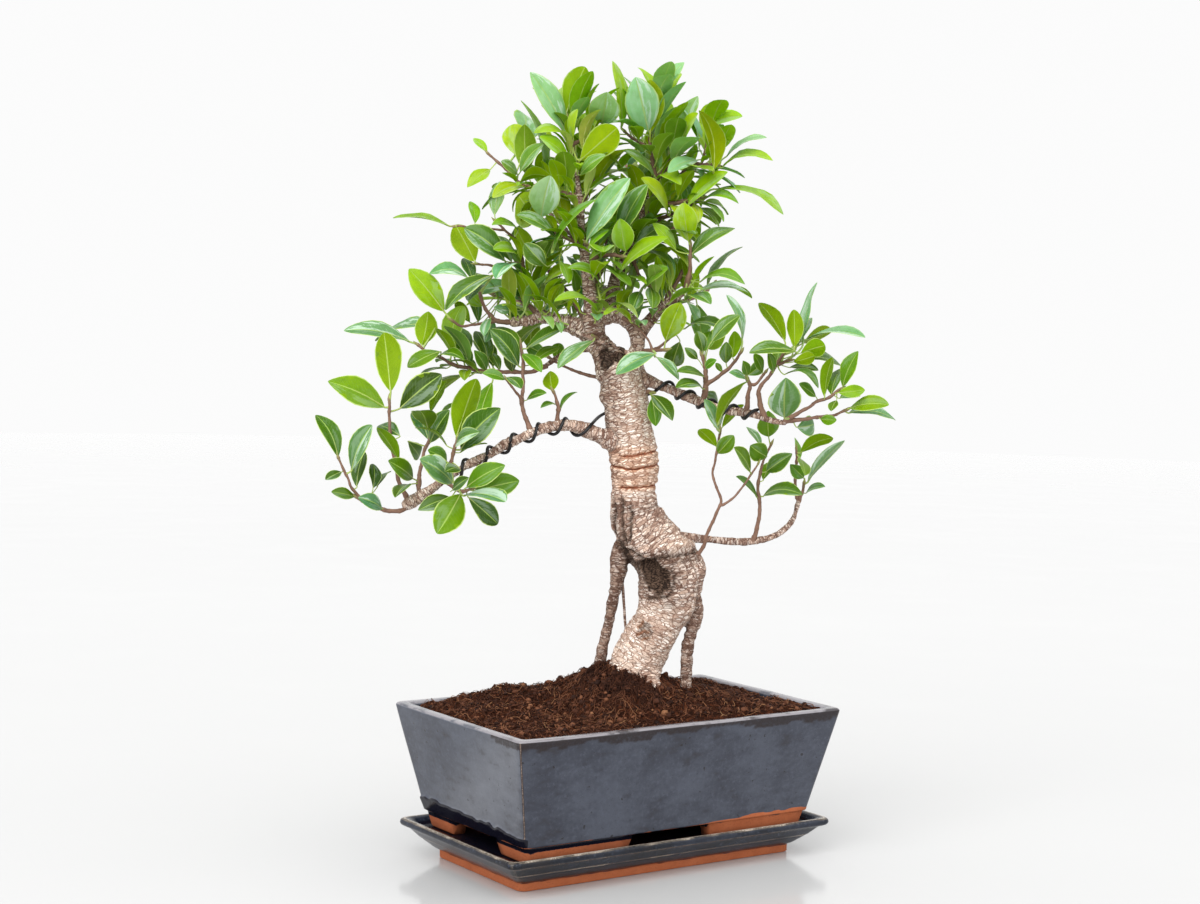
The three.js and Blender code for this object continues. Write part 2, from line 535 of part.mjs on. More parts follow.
    leaves: [
      [189, -48, 434, 201, -62, 466, 12, 0.08, 'M'],
      [173, -46, 425, 179, -36, 460, 11, 0.08, 'Y'],
      [180, -46, 427, 191, -30, 449, 11, 0.08, 'D'],
      [185, -52, 429, 208, -64, 432, 11, 0.12, 'B'],
      [187, -46, 424, 207, -32, 426, 7, 0.1, 'P'],
      [196, -44, 415, 228, -56, 420, 12, 0.1, 'B'],
      [196, -40, 411, 240, -28, 406, 9, 0.1, 'P'],
      [184, -48, 422, 178, -62, 413, 7, 0.05, 'M'],
      [151, -38, 397, 169, -12, 399, 18, 0.04, 'P'],
      [171, -42, 405, 184, -54, 405, 9, 0.1, 'M'],
      [166, -46, 425, 149, -60, 436, 9, 0.05, 'M'],
      [138, -54, 406, 135, -90, 442, 29, 0.05, 'P'],
    ] },
  { name: 'low_right_end',
    twigs: [
      [[161, 30, 325, 2], [158, 30, 336, 1.5], [157, 28, 347, 1.3], [157, 26, 362, 1.1],
       [157, 24, 373, 0.9]],
      [[161, 30, 325, 2], [164, 28, 335, 1.2], [165, 26, 342, 1]],
    ],
    leaves: [
      [160, 22, 371, 188, 6, 386, 13, 0.1, 'Y'],
      [168, 26, 344, 203, 38, 382, 6, 0.06, 'P'],
      [167, 26, 334, 183, 10, 341, 5, 0.15, 'P'],
      [164, 22, 348, 150, 4, 361, 13, 0.05, 'M'],
      [158, 26, 362, 157, 40, 384, 7, 0.05, 'B'],
      [160, 20, 366, 162, 2, 353, 11, 0.05, 'B'],
    ] },
  { name: 'low_right_mid',
    twigs: [
      [[119, 20, 289, 2.4], [122, 18, 302, 1.9], [124, 14, 320, 1.6], [122, 10, 337, 1.4],
       [123, 6, 355, 1.2], [127, 4, 368, 1], [131, 2, 378, 0.9]],
    ],
    leaves: [
      [126, 10, 331, 161, -8, 334, 11, 0.2, 'D'],
      [121, 10, 330, 101, -4, 350, 6, 0.08, 'M'],
      [128, 4, 354, 150, -12, 372, 15, 0.1, 'D'],
      [128, 0, 368, 111, -25, 379, 18, 0.05, 'M'],
      [129, 0, 386, 126, -25, 410, 20, 0.04, 'B'],
      [123, 8, 377, 110, 20, 394, 7, 0.06, 'P'],
      [126, 10, 346, 135, 26, 362, 9, 0.08, 'M'],
    ] },
  { name: 'low_right_thin',
    twigs: [
      [[59, -2, 270, 2.2], [70, -4, 281, 1.8], [75, -8, 294, 1.5], [80, -12, 309, 1.4], [85, -16, 323, 1.3],
       [86, -17, 331, 1.2], [80, -18, 345, 1.1], [78, -18, 355, 1], [81, -20, 367, 1],
       [82, -22, 380, 0.9], [83, -24, 391, 0.8]],
      [[85, -16, 323, 1.3], [98, -15, 332, 1], [109, -14, 346, 0.9], [118, -12, 361, 0.8]],
    ],
    leaves: [
      [80, -28, 398, 103, -38, 438, 11, 0.08, 'Y'],
      [81, -26, 394, 67, -14, 420, 11, 0.08, 'P'],
      [86, -24, 394, 105, -38, 415, 9, 0.06, 'Y'],
      [84, -22, 392, 89, -6, 411, 7, 0.05, 'P'],
      [81, -22, 377, 64, -36, 393, 11, 0.08, 'Y'],
      [82, -20, 371, 95, -35, 388, 14, 0.08, 'M'],
      [112, -14, 355, 95, -26, 378, 11, 0.08, 'M'],
    ] },
  { name: 'inner_top',
    twigs: [
      [[-46, -11, 580, 2.2], [-42, 4, 598, 1.8], [-36, 14, 616, 1.5], [-31, 20, 634, 1.1]],
    ],
    leaves: [
      [-46, 10, 630, -18, 2, 661, 19, 0.1, 'Y'],
      [-44, 24, 649, -42, 30, 676, 14, 0.05, 'Y'],
      [-47, 4, 606, -25, 14, 637, 11, 0.1, 'P'],
      [-29, 22, 615, -9, 32, 644, 11, 0.1, 'D'],
      [-83, 14, 613, -79, 20, 641, 13, 0.08, 'Y'],
      [-79, 16, 631, -89, 24, 667, 11, 0.08, 'Y'],
      [-63, 10, 604, -70, 18, 634, 11, 0.08, 'M'],
    ] },
  { name: 'inner_top_right',
    twigs: [
      [[9, 20, 580, 2.2], [24, 26, 598, 1.8], [38, 30, 616, 1.5], [50, 30, 630, 1.1]],
    ],
    leaves: [
      [51, 16, 644, 54, 26, 692, 21, 0.1, 'B'],
      [72, 8, 624, 57, -2, 673, 14, 0.12, 'Y'],
      [53, 26, 619, 58, 32, 650, 9, 0.08, 'B'],
      [72, 24, 620, 81, 34, 645, 11, 0.06, 'Y'],
      [52, 12, 624, 26, 24, 628, 7, 0.12, 'P'],
      [32, 4, 614, 46, -6, 619, 8, 0.1, 'M'],
      [7, 30, 618, 20, 40, 638, 11, 0.08, 'D'],
      [61, 34, 665, 71, 42, 688, 11, 0.05, 'Y'],
    ] },
  { name: 'inner_right_top',
    twigs: [
      [[6, 19, 572, 2], [28, 22, 582, 1.7], [50, 18, 592, 1.4], [62, 14, 598, 1.1]],
    ],
    leaves: [
      [55, 14, 594, 85, 4, 626, 12, 0.06, 'B'],
      [53, 20, 588, 47, 28, 615, 13, 0.08, 'D'],
      [37, 28, 594, 50, 40, 613, 11, 0.08, 'M'],
    ] },
  { name: 'inner_left',
    twigs: [
      [[-38, 0, 482, 2.4], [-48, 10, 500, 2], [-62, 16, 518, 1.7], [-76, 18, 534, 1.4],
       [-88, 18, 550, 1.1]],
    ],
    leaves: [
      [-74, 6, 534, -94, -2, 555, 15, 0.12, 'Y'],
      [-91, 22, 539, -106, 30, 571, 15, 0.08, 'Y'],
      [-64, 14, 545, -78, 22, 580, 10, 0.08, 'B'],
      [-62, 18, 533, -71, 26, 550, 9, 0.06, 'P'],
      [-77, 0, 519, -52, -10, 535, 9, 0.14, 'B'],
      [-70, 12, 498, -73, 18, 516, 11, 0.06, 'D'],
      [-66, 8, 501, -60, 2, 520, 8, 0.08, 'B'],
      [-97, 10, 535, -106, 18, 550, 10, 0.08, 'M'],
    ] },
  { name: 'inner_left_low',
    twigs: [
      [[-80, 4, 487, 2.2], [-92, 12, 500, 1.9], [-106, 18, 506, 1.6], [-122, 20, 508, 1.2]],
    ],
    leaves: [
      [-100, 6, 526, -129, -4, 528, 7, 0.2, 'P'],
      [-103, -4, 517, -140, -16, 509, 12, 0.12, 'P'],
      [-133, 8, 498, -145, -8, 510, 14, 0.08, 'B'],
      [-139, 24, 524, -170, 34, 494, 9, 0.08, 'D'],
      [-94, 16, 504, -127, 24, 512, 12, 0.08, 'D'],
      [-90, 14, 486, -111, 20, 494, 11, 0.08, 'D'],
      [-106, 2, 494, -122, -8, 497, 9, 0.08, 'P'],
      [-124, 6, 486, -130, -4, 465, 12, 0.08, 'P'],
      [-145, 22, 483, -160, 30, 501, 10, 0.06, 'Y'],
      [-137, 16, 483, -148, 26, 513, 10, 0.06, 'D'],
    ] },
  { name: 'inner_right',
    twigs: [
      [[24, 0, 496, 2.4], [36, 8, 512, 2], [46, 14, 530, 1.7], [54, 16, 546, 1.3]],
    ],
    leaves: [
      [35, 22, 511, 34, 30, 548, 16, 0.06, 'Y'],
      [26, 26, 502, 24, 32, 533, 14, 0.06, 'D'],
      [55, 18, 508, 62, 26, 534, 12, 0.06, 'Y'],
      [50, 12, 515, 45, 20, 546, 11, 0.08, 'Y'],
      [56, 4, 530, 33, -6, 555, 7, 0.15, 'B'],
      [9, 20, 536, 38, 28, 555, 8, 0.06, 'Y'],
    ] },
  { name: 'inner_centre_right',
    twigs: [
      [[4, 19, 567, 2.2], [18, 16, 564, 1.9], [32, 14, 568, 1.6], [44, 12, 577, 1.3]],
    ],
    leaves: [
      [8, 14, 556, 27, 6, 573, 14, 0.08, 'P'],
      [44, 8, 547, 21, 2, 580, 9, 0.14, 'Y'],
      [5, 4, 514, 34, -4, 536, 9, 0.08, 'Y'],
      [-13, 26, 541, -23, 34, 578, 12, 0.06, 'D'],
      [2, 18, 520, 6, 24, 544, 7, 0.05, 'D'],
    ] },
  { name: 'inner_middle',
    twigs: [
      [[-36, -7, 512, 2.2], [-28, 4, 528, 1.8], [-24, 12, 546, 1.5], [-22, 18, 562, 1.1]],
    ],
    leaves: [
      [-23, -14, 506, 5, -22, 506, 5, 0.2, 'B'],
      [-17, -10, 531, 1, -20, 518, 6, 0.12, 'B'],
      [-29, -12, 495, -67, -20, 502, 5, 0.2, 'B'],
      [-48, 10, 506, -52, 16, 533, 8, 0.06, 'M'],
      [-43, 20, 555, -32, 28, 583, 11, 0.06, 'D'],
    ] },
  { name: 'back_low', twigs: [[[-16, 12, 511, 2.4], [-25, 45, 519, 1.9], [-37, 75, 528, 1.5],
    [-49, 104, 540, 1.1]]], leaves: [], around: true },
  { name: 'back_middle', twigs: [[[1, 18, 560, 2.4], [6, 52, 566, 1.9], [14, 84, 573, 1.5],
    [22, 112, 582, 1.1]]], leaves: [], around: true },
  { name: 'back_left', twigs: [[[-42, -10, 554, 2.2], [-56, 22, 567, 1.8], [-70, 54, 580, 1.4],
    [-82, 84, 592, 1.1]]], leaves: [], around: true },
  { name: 'back_high', twigs: [[[12, 20, 590, 2.2], [8, 54, 608, 1.8], [0, 84, 624, 1.4],
    [-8, 108, 640, 1]]], leaves: [], around: true },
  { name: 'back_far_left', twigs: [[[-66, 4, 486, 2.4], [-80, 40, 492, 1.9], [-98, 74, 500, 1.5],
    [-114, 100, 508, 1.1]]], leaves: [], around: true },
  { name: 'back_right', twigs: [[[30, -2, 502, 2.4], [54, 28, 508, 1.8], [70, 56, 516, 1.4],
    [80, 82, 526, 1.1]]], leaves: [], around: true },
];


// ---- small vector helpers ----------------------------------------------------------------------------

const vec = (p) => new THREE.Vector3(p[0], p[1], p[2]);
const mix = (a, b, t) => a + (b - a) * t;

// A repeatable run of draws between 0 and 1.
function draws(seed) {
  let state = seed;
  return () => {
    state = (state * 1664525 + 1013904223) % 4294967296;
    return state / 4294967296;
  };
}

// ---- solids ------------------------------------------------------------------------------------------

// A closed geometry as a solid: positions only, shared vertices merged, faces pointing out.
function solid(geometry) {
  const bare = geometry.clone();
  bare.deleteAttribute('normal');
  bare.deleteAttribute('uv');
  const merged = mergeVertices(bare, 1e-4);
  const at = merged.attributes.position;
  const corners = [0, 1, 2].map(() => new THREE.Vector3());
  const faces = [];
  let volume = 0;
  for (let i = 0; i < merged.index.count; i += 3) {
    const face = [0, 1, 2].map((k) => merged.index.getX(i + k));
    if (face[0] === face[1] || face[1] === face[2] || face[2] === face[0]) continue;
    corners.forEach((corner, k) => corner.fromBufferAttribute(at, face[k]));
    volume += corners[0].dot(corners[1].clone().cross(corners[2]));
    faces.push(face);
  }
  if (volume < 0) faces.forEach((face) => face.reverse());
  return new wasm.Manifold(new wasm.Mesh({
    numProp: 3,
    vertProperties: new Float32Array(at.array),
    triVerts: new Uint32Array(faces.flat()),
    tolerance: 0.05,
  }));
}

const join = (bodies) => wasm.Manifold.union(bodies);

// A solid as a named mesh. The largest body is kept where a cut leaves a loose scrap.
function piece(name, body, look) {
  const whole = body.decompose().sort((a, b) => b.volume() - a.volume())[0];
  const { vertProperties, triVerts } = whole.getMesh();
  const geometry = new THREE.BufferGeometry();
  geometry.setAttribute('position', new THREE.BufferAttribute(new Float32Array(vertProperties), 3));
  geometry.setIndex(new THREE.BufferAttribute(new Uint32Array(triVerts), 1));
  geometry.computeVertexNormals();
  const mesh = new THREE.Mesh(geometry, new THREE.MeshStandardMaterial(look));
  mesh.name = name;
  return mesh;
}

// A lathe turning squared off. `profile` lists [half length, height]; each ring becomes a rectangle with
// rounded corners, `slim` less in half width than in half length. A half length of 0 is the axis.
function squared(profile, slim, corner) {
  const arcSteps = 2;
  const turns = 4 * (arcSteps + 1);
  const shape = new THREE.LatheGeometry(profile.map(([r, z]) => new THREE.Vector2(r, z)), turns);
  const at = shape.attributes.position;
  for (let i = 0; i < at.count; i++) {
    const reach = Math.hypot(at.getX(i), at.getZ(i));
    const height = at.getY(i);
    if (reach < 1e-6) {
      at.setXYZ(i, 0, 0, height);
      continue;
    }
    const turn = Math.round((Math.atan2(at.getX(i), at.getZ(i)) / (2 * Math.PI) + 1) * turns) % turns;
    const quarter = Math.floor(turn / (arcSteps + 1));
    const angle = (quarter + (turn % (arcSteps + 1)) / arcSteps) * Math.PI / 2;
    const sideX = quarter === 0 || quarter === 3 ? 1 : -1;
    const sideY = quarter < 2 ? 1 : -1;
    at.setXYZ(
      i,
      sideX * (reach - corner) + corner * Math.cos(angle),
      sideY * (reach - slim - corner) + corner * Math.sin(angle),
      height,
    );
  }
  return solid(shape);
}

function block(size, centre) {
  const shape = new THREE.BoxGeometry(...size);
  shape.translate(...centre);
  return solid(shape);
}

// Rings along a path: centre, radius, and two directions across it carried along without twist.
function ringsAlong(points) {
  const centres = points.map(vec);
  const last = centres.length - 1;
  const rings = [];
  let across = null;
  centres.forEach((centre, i) => {
    const along = centres[Math.min(i + 1, last)].clone().sub(centres[Math.max(i - 1, 0)]).normalize();
    const start = Math.abs(along.z) > 0.7 ? new THREE.Vector3(1, 0, 0) : new THREE.Vector3(0, 0, 1);
    const seed = across ?? start;
    across = seed.clone().addScaledVector(along, -seed.dot(along)).normalize();
    rings.push({ centre, along, across, over: across.clone().cross(along), radius: points[i][3] });
  });
  return rings;
}

// A round stem: a cylinder bent along [across, depth, height, radius] points. `grow` makes it fatter and
// longer all round, and `relief` scales its radius by the way along and the angle.
function stem(points, sides, grow = 0, relief = () => 1) {
  const rings = ringsAlong(points);
  const steps = rings.length - 1;
  const shape = new THREE.CylinderGeometry(1, 1, 1, sides, steps);
  const at = shape.attributes.position;
  const place = new THREE.Vector3();
  for (let i = 0; i < at.count; i++) {
    const k = Math.round((at.getY(i) + 0.5) * steps);
    const ring = rings[k];
    const angle = Math.atan2(at.getX(i), at.getZ(i));
    const reach = ring.radius * relief(k / steps, angle) + grow;
    const end = k === 0 ? -grow : k === steps ? grow : 0;
    place.copy(ring.centre).addScaledVector(ring.along, end);
    place.addScaledVector(ring.across, at.getX(i) * reach).addScaledVector(ring.over, at.getZ(i) * reach);
    at.setXYZ(i, place.x, place.y, place.z);
  }
  return solid(shape);
}

// ---- pot, tray, screens and soil ---------------------------------------------------------------------

const potSlim = (pot.length - pot.width) / 2;
const traySlim = (tray.length - tray.width) / 2;

// A trapezium notch that runs right across under the pot, its narrow side up.
function notch([topWidth, bottomWidth], length, alongX) {
  const bottom = tray.floor - 2;
  const outline = new THREE.Shape([
    new THREE.Vector2(-topWidth / 2, pot.underside),
    new THREE.Vector2(-bottomWidth / 2, bottom),
    new THREE.Vector2(bottomWidth / 2, bottom),
    new THREE.Vector2(topWidth / 2, pot.underside),
  ]);
  const shape = new THREE.ExtrudeGeometry(outline, { depth: length, bevelEnabled: false });
  shape.translate(0, 0, -length / 2);
  shape.rotateX(Math.PI / 2);
  if (alongX) shape.rotateZ(Math.PI / 2);
  return solid(shape);
}

const drainPlaces = [-pot.drainSpacing / 2, pot.drainSpacing / 2];

function potBody() {
  const top = pot.length / 2;
  const foot = pot.footLength / 2;
  const footBottom = tray.floor + gap;
  const inside = top - pot.rim;
  const insideBottom = pot.bottomLength / 2 - 8;
  const shell = squared([
    [0, pot.underside],
    [foot - pot.footWall, pot.underside],
    [foot - pot.footWall - 1, footBottom],
    [foot - pot.footTaper, footBottom],
    [foot, pot.underside],
    [pot.bottomLength / 2 - 0.8, pot.underside],
    [pot.bottomLength / 2, pot.underside + 1.2],
    [top - 0.4, pot.top - 2],
    [top - 2, pot.top],
    [inside + 2, pot.top],
    [inside + 0.3, pot.top - 2],
    [insideBottom + 3, pot.floor + 5],
    [insideBottom, pot.floor],
    [0, pot.floor],
  ], potSlim, pot.corner);
  const holes = drainPlaces.map((x) => {
    const shape = new THREE.CylinderGeometry(pot.drainHole / 2, pot.drainHole / 2, 20, 16);
    shape.rotateX(Math.PI / 2);
    shape.translate(x, 0, pot.floor - 4);
    return solid(shape);
  });
  return shell
    .subtract(notch(pot.longGap, pot.width + 20, false))
    .subtract(notch(pot.shortGap, pot.length + 20, true))
    .subtract(join(holes));
}

function trayBody() {
  const top = tray.length / 2;
  const foot = tray.footLength / 2;
  return squared([
    [0, 0],
    [foot, 0],
    [foot, tray.footHeight],
    [foot + 3, tray.footHeight + 1],
    [foot + 12, 17],
    [foot + 14.5, 19],
    [top - 6, 26],
    [top - 1, 28.4],
    [top, tray.rimEdge],
    [top - 1, tray.rimTop - 0.8],
    [top - 3.5, tray.rimTop],
    [top - 8, tray.rimTop - 1],
    [top - 13, tray.floor + 0.6],
    [top - 16, tray.floor],
    [0, tray.floor],
  ], traySlim, tray.corner);
}

// A square grid of bars over a drainage hole.
function screenBody(x) {
  const height = pot.floor + gap + screen.thick / 2;
  const pitch = (screen.side - screen.bar) / screen.cells;
  const openings = [];
  for (let i = 0; i < screen.cells; i++) {
    for (let j = 0; j < screen.cells; j++) {
      const middle = (k) => (k - (screen.cells - 1) / 2) * pitch;
      const open = pitch - screen.bar;
      openings.push(block([open, open, 2 * screen.thick], [x + middle(i), middle(j), height]));
    }
  }
  return block([screen.side, screen.side, screen.thick], [x, 0, height]).subtract(join(openings));
}

function bell(across, depth, centre, spread) {
  const x = (across - centre[0]) / spread[0];
  const y = (depth - centre[1]) / spread[1];
  return Math.exp(-0.5 * (x * x + y * y));
}

// The soil's surface: a bell-shaped mound in the tree's frame, a heap on it, and low ripples.
function soilHeight(x, y) {
  const across = x * Math.cos(treeTurn) + y * Math.sin(treeTurn);
  const depth = y * Math.cos(treeTurn) - x * Math.sin(treeTurn);
  const mound = soil.mound * bell(across, depth, soil.centre, soil.spread);
  const heap = soil.heap.height * bell(across, depth, soil.heap.centre, soil.heap.spread);
  return soil.edge + mound + heap + 1.5 * Math.sin(x / 17) * Math.cos(y / 13);
}

function soilBody(roots) {
  const shape = new THREE.BoxGeometry(pot.length, pot.width, 1, soil.cells[0], soil.cells[1], 1);
  const at = shape.attributes.position;
  for (let i = 0; i < at.count; i++) {
    const top = at.getZ(i) > 0;
    at.setZ(i, top ? soilHeight(at.getX(i), at.getY(i)) : pot.floor - 5);
  }
  const inside = pot.length / 2 - pot.rim - gap;
  const insideBottom = pot.bottomLength / 2 - 8 - gap;
  const room = squared([
    [0, pot.floor + gap],
    [insideBottom, pot.floor + gap],
    [insideBottom + 3, pot.floor + 5],
    [inside + 0.3, pot.top - 2],
    [inside + 5, pot.top + 60],
    [0, pot.top + 60],
  ], potSlim, pot.corner);
  const pocket = screen.side + 2 * gap;
  const pockets = drainPlaces.map((x) => block(
    [pocket, pocket, 2 * (screen.thick + 2 * gap)],
    [x, 0, pot.floor + gap],
  ));
  return solid(shape).intersect(room).subtract(join([...pockets, roots]));
}

// ---- trunk -------------------------------------------------------------------------------------------

// Slow lobes round the trunk that wander with height.
function trunkRelief(way, angle) {
  return 1 + 0.03 * Math.sin(3 * angle + 14 * way) + 0.02 * Math.sin(5 * angle - 23 * way);
}

function trunkBody(grow) {
  const parts = limbs.map((limb) => stem(limb.path, limb.sides, grow));
  parts.push(stem(trunkPath, 13, grow, trunkRelief));
  return join(parts);
}

function withWounds(body) {
  const hollows = wounds.map(({ at, half }) => {
    const shape = new THREE.SphereGeometry(1, 8, 5);
    shape.scale(...half);
    shape.translate(...at);
    return solid(shape);
  });
  return body.subtract(join(hollows));
}

// ---- training wire -----------------------------------------------------------------------------------

// A point and direction at distance `s` along a limb, with the upward and forward ways across it.
function stationAlong(path, s) {
  let left = s;
  for (let i = 0; i + 1 < path.length; i++) {
    const from = vec(path[i]);
    const to = vec(path[i + 1]);
    const reach = from.distanceTo(to);
    if (left <= reach || i + 2 === path.length) {
      const t = left / reach;
      const along = to.clone().sub(from).normalize();
      const up = new THREE.Vector3(0, 0, 1).addScaledVector(along, -along.z).normalize();
      const front = new THREE.Vector3(0, -1, 0);
      front.addScaledVector(along, -front.dot(along)).addScaledVector(up, -front.dot(up)).normalize();
      return { centre: from.lerp(to, t), along, up, front, radius: mix(path[i][3], path[i + 1][3], t) };
    }
    left -= reach;
  }
  return null;
}

// Turns of wire round a limb between two distances along it. The wire leaves the top and comes down the
// front when `turns` is positive.
function coil(path, from, to, turns, startTurn) {
  const steps = Math.round(Math.abs(turns) * wire.stepsPerTurn);
  return Array.from({ length: steps + 1 }, (_, i) => {
    const way = i / steps;
    const { centre, up, front, radius } = stationAlong(path, mix(from, to, way));
    const angle = 2 * Math.PI * (startTurn + turns * way);
    const reach = radius * 1.04 + wire.radius + wire.clear;
    centre.addScaledVector(up, reach * Math.cos(angle)).addScaledVector(front, reach * Math.sin(angle));
    return [...centre.toArray(), wire.radius];
  });
}

const limbNamed = (name) => limbs.find((limb) => limb.name === name);

function wireBody() {
  const left = coil(limbNamed('left_limb').path, 38, 172, 5.5, 0).reverse();
  const behindTrunk = [
    [-27, 4, 399], [-20, 16, 403], [-9, 25, 408], [4, 27, 414], [17, 22, 420], [25, 11, 424],
  ].map((p) => [...p, wire.radius]);
  const right = coil(limbNamed('right_limb').path, 26, 122, -4.5, 0.5);
  return stem([...left, ...behindTrunk, ...right], wire.sides);
}

// ---- leaves ------------------------------------------------------------------------------------------

// Half the blade's width over its greatest half width, from its foot (0) to its tip (1).
const outline = (t) => Math.max(Math.sin(Math.PI * t ** 0.85), 0) ** 0.75;

// The leaf's midline: a straight line from foot to tip, arched along the face's normal.
function midline(leaf, t) {
  const rise = leaf.arch * leaf.length * 4 * t * (1 - t);
  return leaf.foot.clone().lerp(leaf.tip, t).addScaledVector(leaf.normal, rise);
}

// A blade from the way it looks: its width as seen from the front turns it about its midline.
function seenLeaf(row) {
  const foot = vec(row);
  const tip = vec(row.slice(3));
  const [seen, arch, tone] = row.slice(6);
  const along = tip.clone().sub(foot);
  const length = along.length();
  along.normalize();
  const front = new THREE.Vector3(0, -1, 0);
  front.addScaledVector(along, -front.dot(along)).normalize();
  const up = along.clone().cross(front);
  if (Math.abs(up.z) > 0.05 ? up.z < 0 : up.x < 0) up.negate();
  const width = Math.max(leafShape.ratio * length, seen);
  const cosine = Math.min(1, seen / width) * (tone === 'Y' ? -1 : 1);
  const normal = front.multiplyScalar(cosine).addScaledVector(up, Math.sqrt(1 - cosine * cosine));
  return { foot, tip, length, width, normal, arch, tone };
}

// A blade set by rule: `way` is its direction, and its face looks up.
function ruledLeaf(root, way, length, arch, tone) {
  const along = way.clone();
  along.z -= ruled.droop;
  along.normalize();
  const foot = root.clone().addScaledVector(way, ruled.stalk);
  const tip = foot.clone().addScaledVector(along, length);
  const normal = new THREE.Vector3(0, 0, 1).addScaledVector(along, -along.z).normalize();
  return { foot, tip, length, width: leafShape.ratio * length, normal, arch, tone };
}

// The place on a spray's twigs that a leaf's stalk grows from: the nearest to its foot that is outside the
// limbs and clear of the roots of the spray's other leaves, with places ahead of the foot counted as
// further off.
function rootFor(spray, { foot, tip }) {
  const along = tip.clone().sub(foot).normalize();
  const cost = (point) => {
    const stalk = foot.clone().sub(point);
    return stalk.length() - leafShape.forward * stalk.dot(along);
  };
  const taken = placed.filter((entry) => entry.spray === spray).map((entry) => entry.leaf.root);
  const isFree = (point) => taken.every((root) => root.distanceTo(point) > clearance.root)
    && limbPoints.every((limb) => limb.point.distanceTo(point) > limb.radius + clearance.stalk);
  const places = spray.twigs.flatMap((twig) => pointsAlong(twig, 2)).map(({ point }) => point).filter(isFree);
  return places.sort((a, b) => cost(a) - cost(b))[0];
}

// Points on a leaf that stand for it: five across at ten places along the blade.
function bladeSamples(leaf) {
  const along = leaf.tip.clone().sub(leaf.foot).normalize();
  const side = along.cross(leaf.normal);
  const points = [];
  for (let i = 0; i < 10; i++) {
    const t = (i + 0.5) / 10;
    const half = leaf.width / 2 * outline(t);
    for (const s of [-1, -0.5, 0, 0.5, 1]) {
      const point = midline(leaf, t).addScaledVector(side, s * half);
      point.addScaledVector(leaf.normal, leafShape.fold * half * Math.abs(s));
      points.push({ point, outer: t > leafShape.inner });
    }
  }
  return points;
}

const stalkSamples = (leaf) => [0.35, 0.55, 0.75, 0.95].map((t) => leaf.root.clone().lerp(leaf.foot, t));

// Everything that leaves keep clear of: round points of a radius, with the spray they belong to.
const limbPoints = [];
const twigPoints = [];
const placed = [];

function pointsAlong(path, spacing) {
  const points = [];
  for (let i = 0; i + 1 < path.length; i++) {
    const steps = Math.max(1, Math.ceil(vec(path[i]).distanceTo(vec(path[i + 1])) / spacing));
    for (let k = 0; k < steps; k++) {
      const t = k / steps;
      const radius = mix(path[i][3], path[i + 1][3], t);
      points.push({ point: vec(path[i]).lerp(vec(path[i + 1]), t), radius });
    }
  }
  points.push({ point: vec(path.at(-1)), radius: path.at(-1)[3] });
  return points;
}

function isClear(leaf, spray) {
  const samples = bladeSamples(leaf);
  const stalks = stalkSamples(leaf);
  const middle = leaf.foot.clone().lerp(leaf.tip, 0.5);
  const reach = leaf.length / 2 + clearance.slack;
  const near = (point, radius, apart) => point.distanceTo(middle) < reach + radius
    && samples.some((sample) => sample.point.distanceTo(point) < radius + apart);
  if (limbPoints.some(({ point, radius, margin }) => near(point, radius, margin))) return false;
  const stalkMeets = (round) => stalks.some((p) => (
    p.distanceTo(round.point) < round.radius + clearance.stalk));
  if (limbPoints.some(stalkMeets)) return false;
  if (twigPoints.some((twig) => twig.owner !== spray && stalkMeets(twig))) return false;
  if (twigPoints.some(({ point, radius, owner }) => owner !== spray && near(point, radius, clearance.twig))) {
    return false;
  }
  return placed.every((other) => {
    if (other.middle.distanceTo(middle) > reach + other.leaf.length / 2 + clearance.slack) return true;
    const sibling = other.spray === spray;
    const apart = sibling ? clearance.sibling : clearance.blade;
    const blades = other.samples.every((theirs) => samples.every((ours) => (
      (sibling && !(theirs.outer && ours.outer)) || theirs.point.distanceTo(ours.point) >= apart)));
    if (!blades || sibling) return blades;
    const apartFrom = (points) => (p) => points.every((q) => q.distanceTo(p) >= clearance.twig);
    return stalks.every(apartFrom(other.samples.map(({ point }) => point)))
      && other.stalks.every(apartFrom(samples.map(({ point }) => point)))
      && stalks.every(apartFrom(other.stalks));
  });
}

function keep(leaf, spray) {
  placed.push({
    leaf,
    spray,
    samples: bladeSamples(leaf),
    stalks: stalkSamples(leaf),
    middle: leaf.foot.clone().lerp(leaf.tip, 0.5),
  });
}

// Depths to try in turn, [foot, tip], until the leaf is clear of all the others.
const depthShifts = [[0, 0], [0, 9], [0, -9], [5, 16], [-5, -16], [4, 26], [-4, -26], [12, 12], [-12, -12],
  [14, 32], [-14, -32], [22, 44], [-22, -44], [30, 20], [-30, -20]];

function placeSeenLeaves(spray) {
  for (const row of spray.leaves) {
    for (const [atFoot, atTip] of depthShifts) {
      const shifted = [...row];
      shifted[1] += atFoot;
      shifted[4] += atTip;
      const leaf = seenLeaf(shifted);
      leaf.root = rootFor(spray, leaf);
      if (isClear(leaf, spray)) {
        keep(leaf, spray);
        break;
      }
    }
  }
}

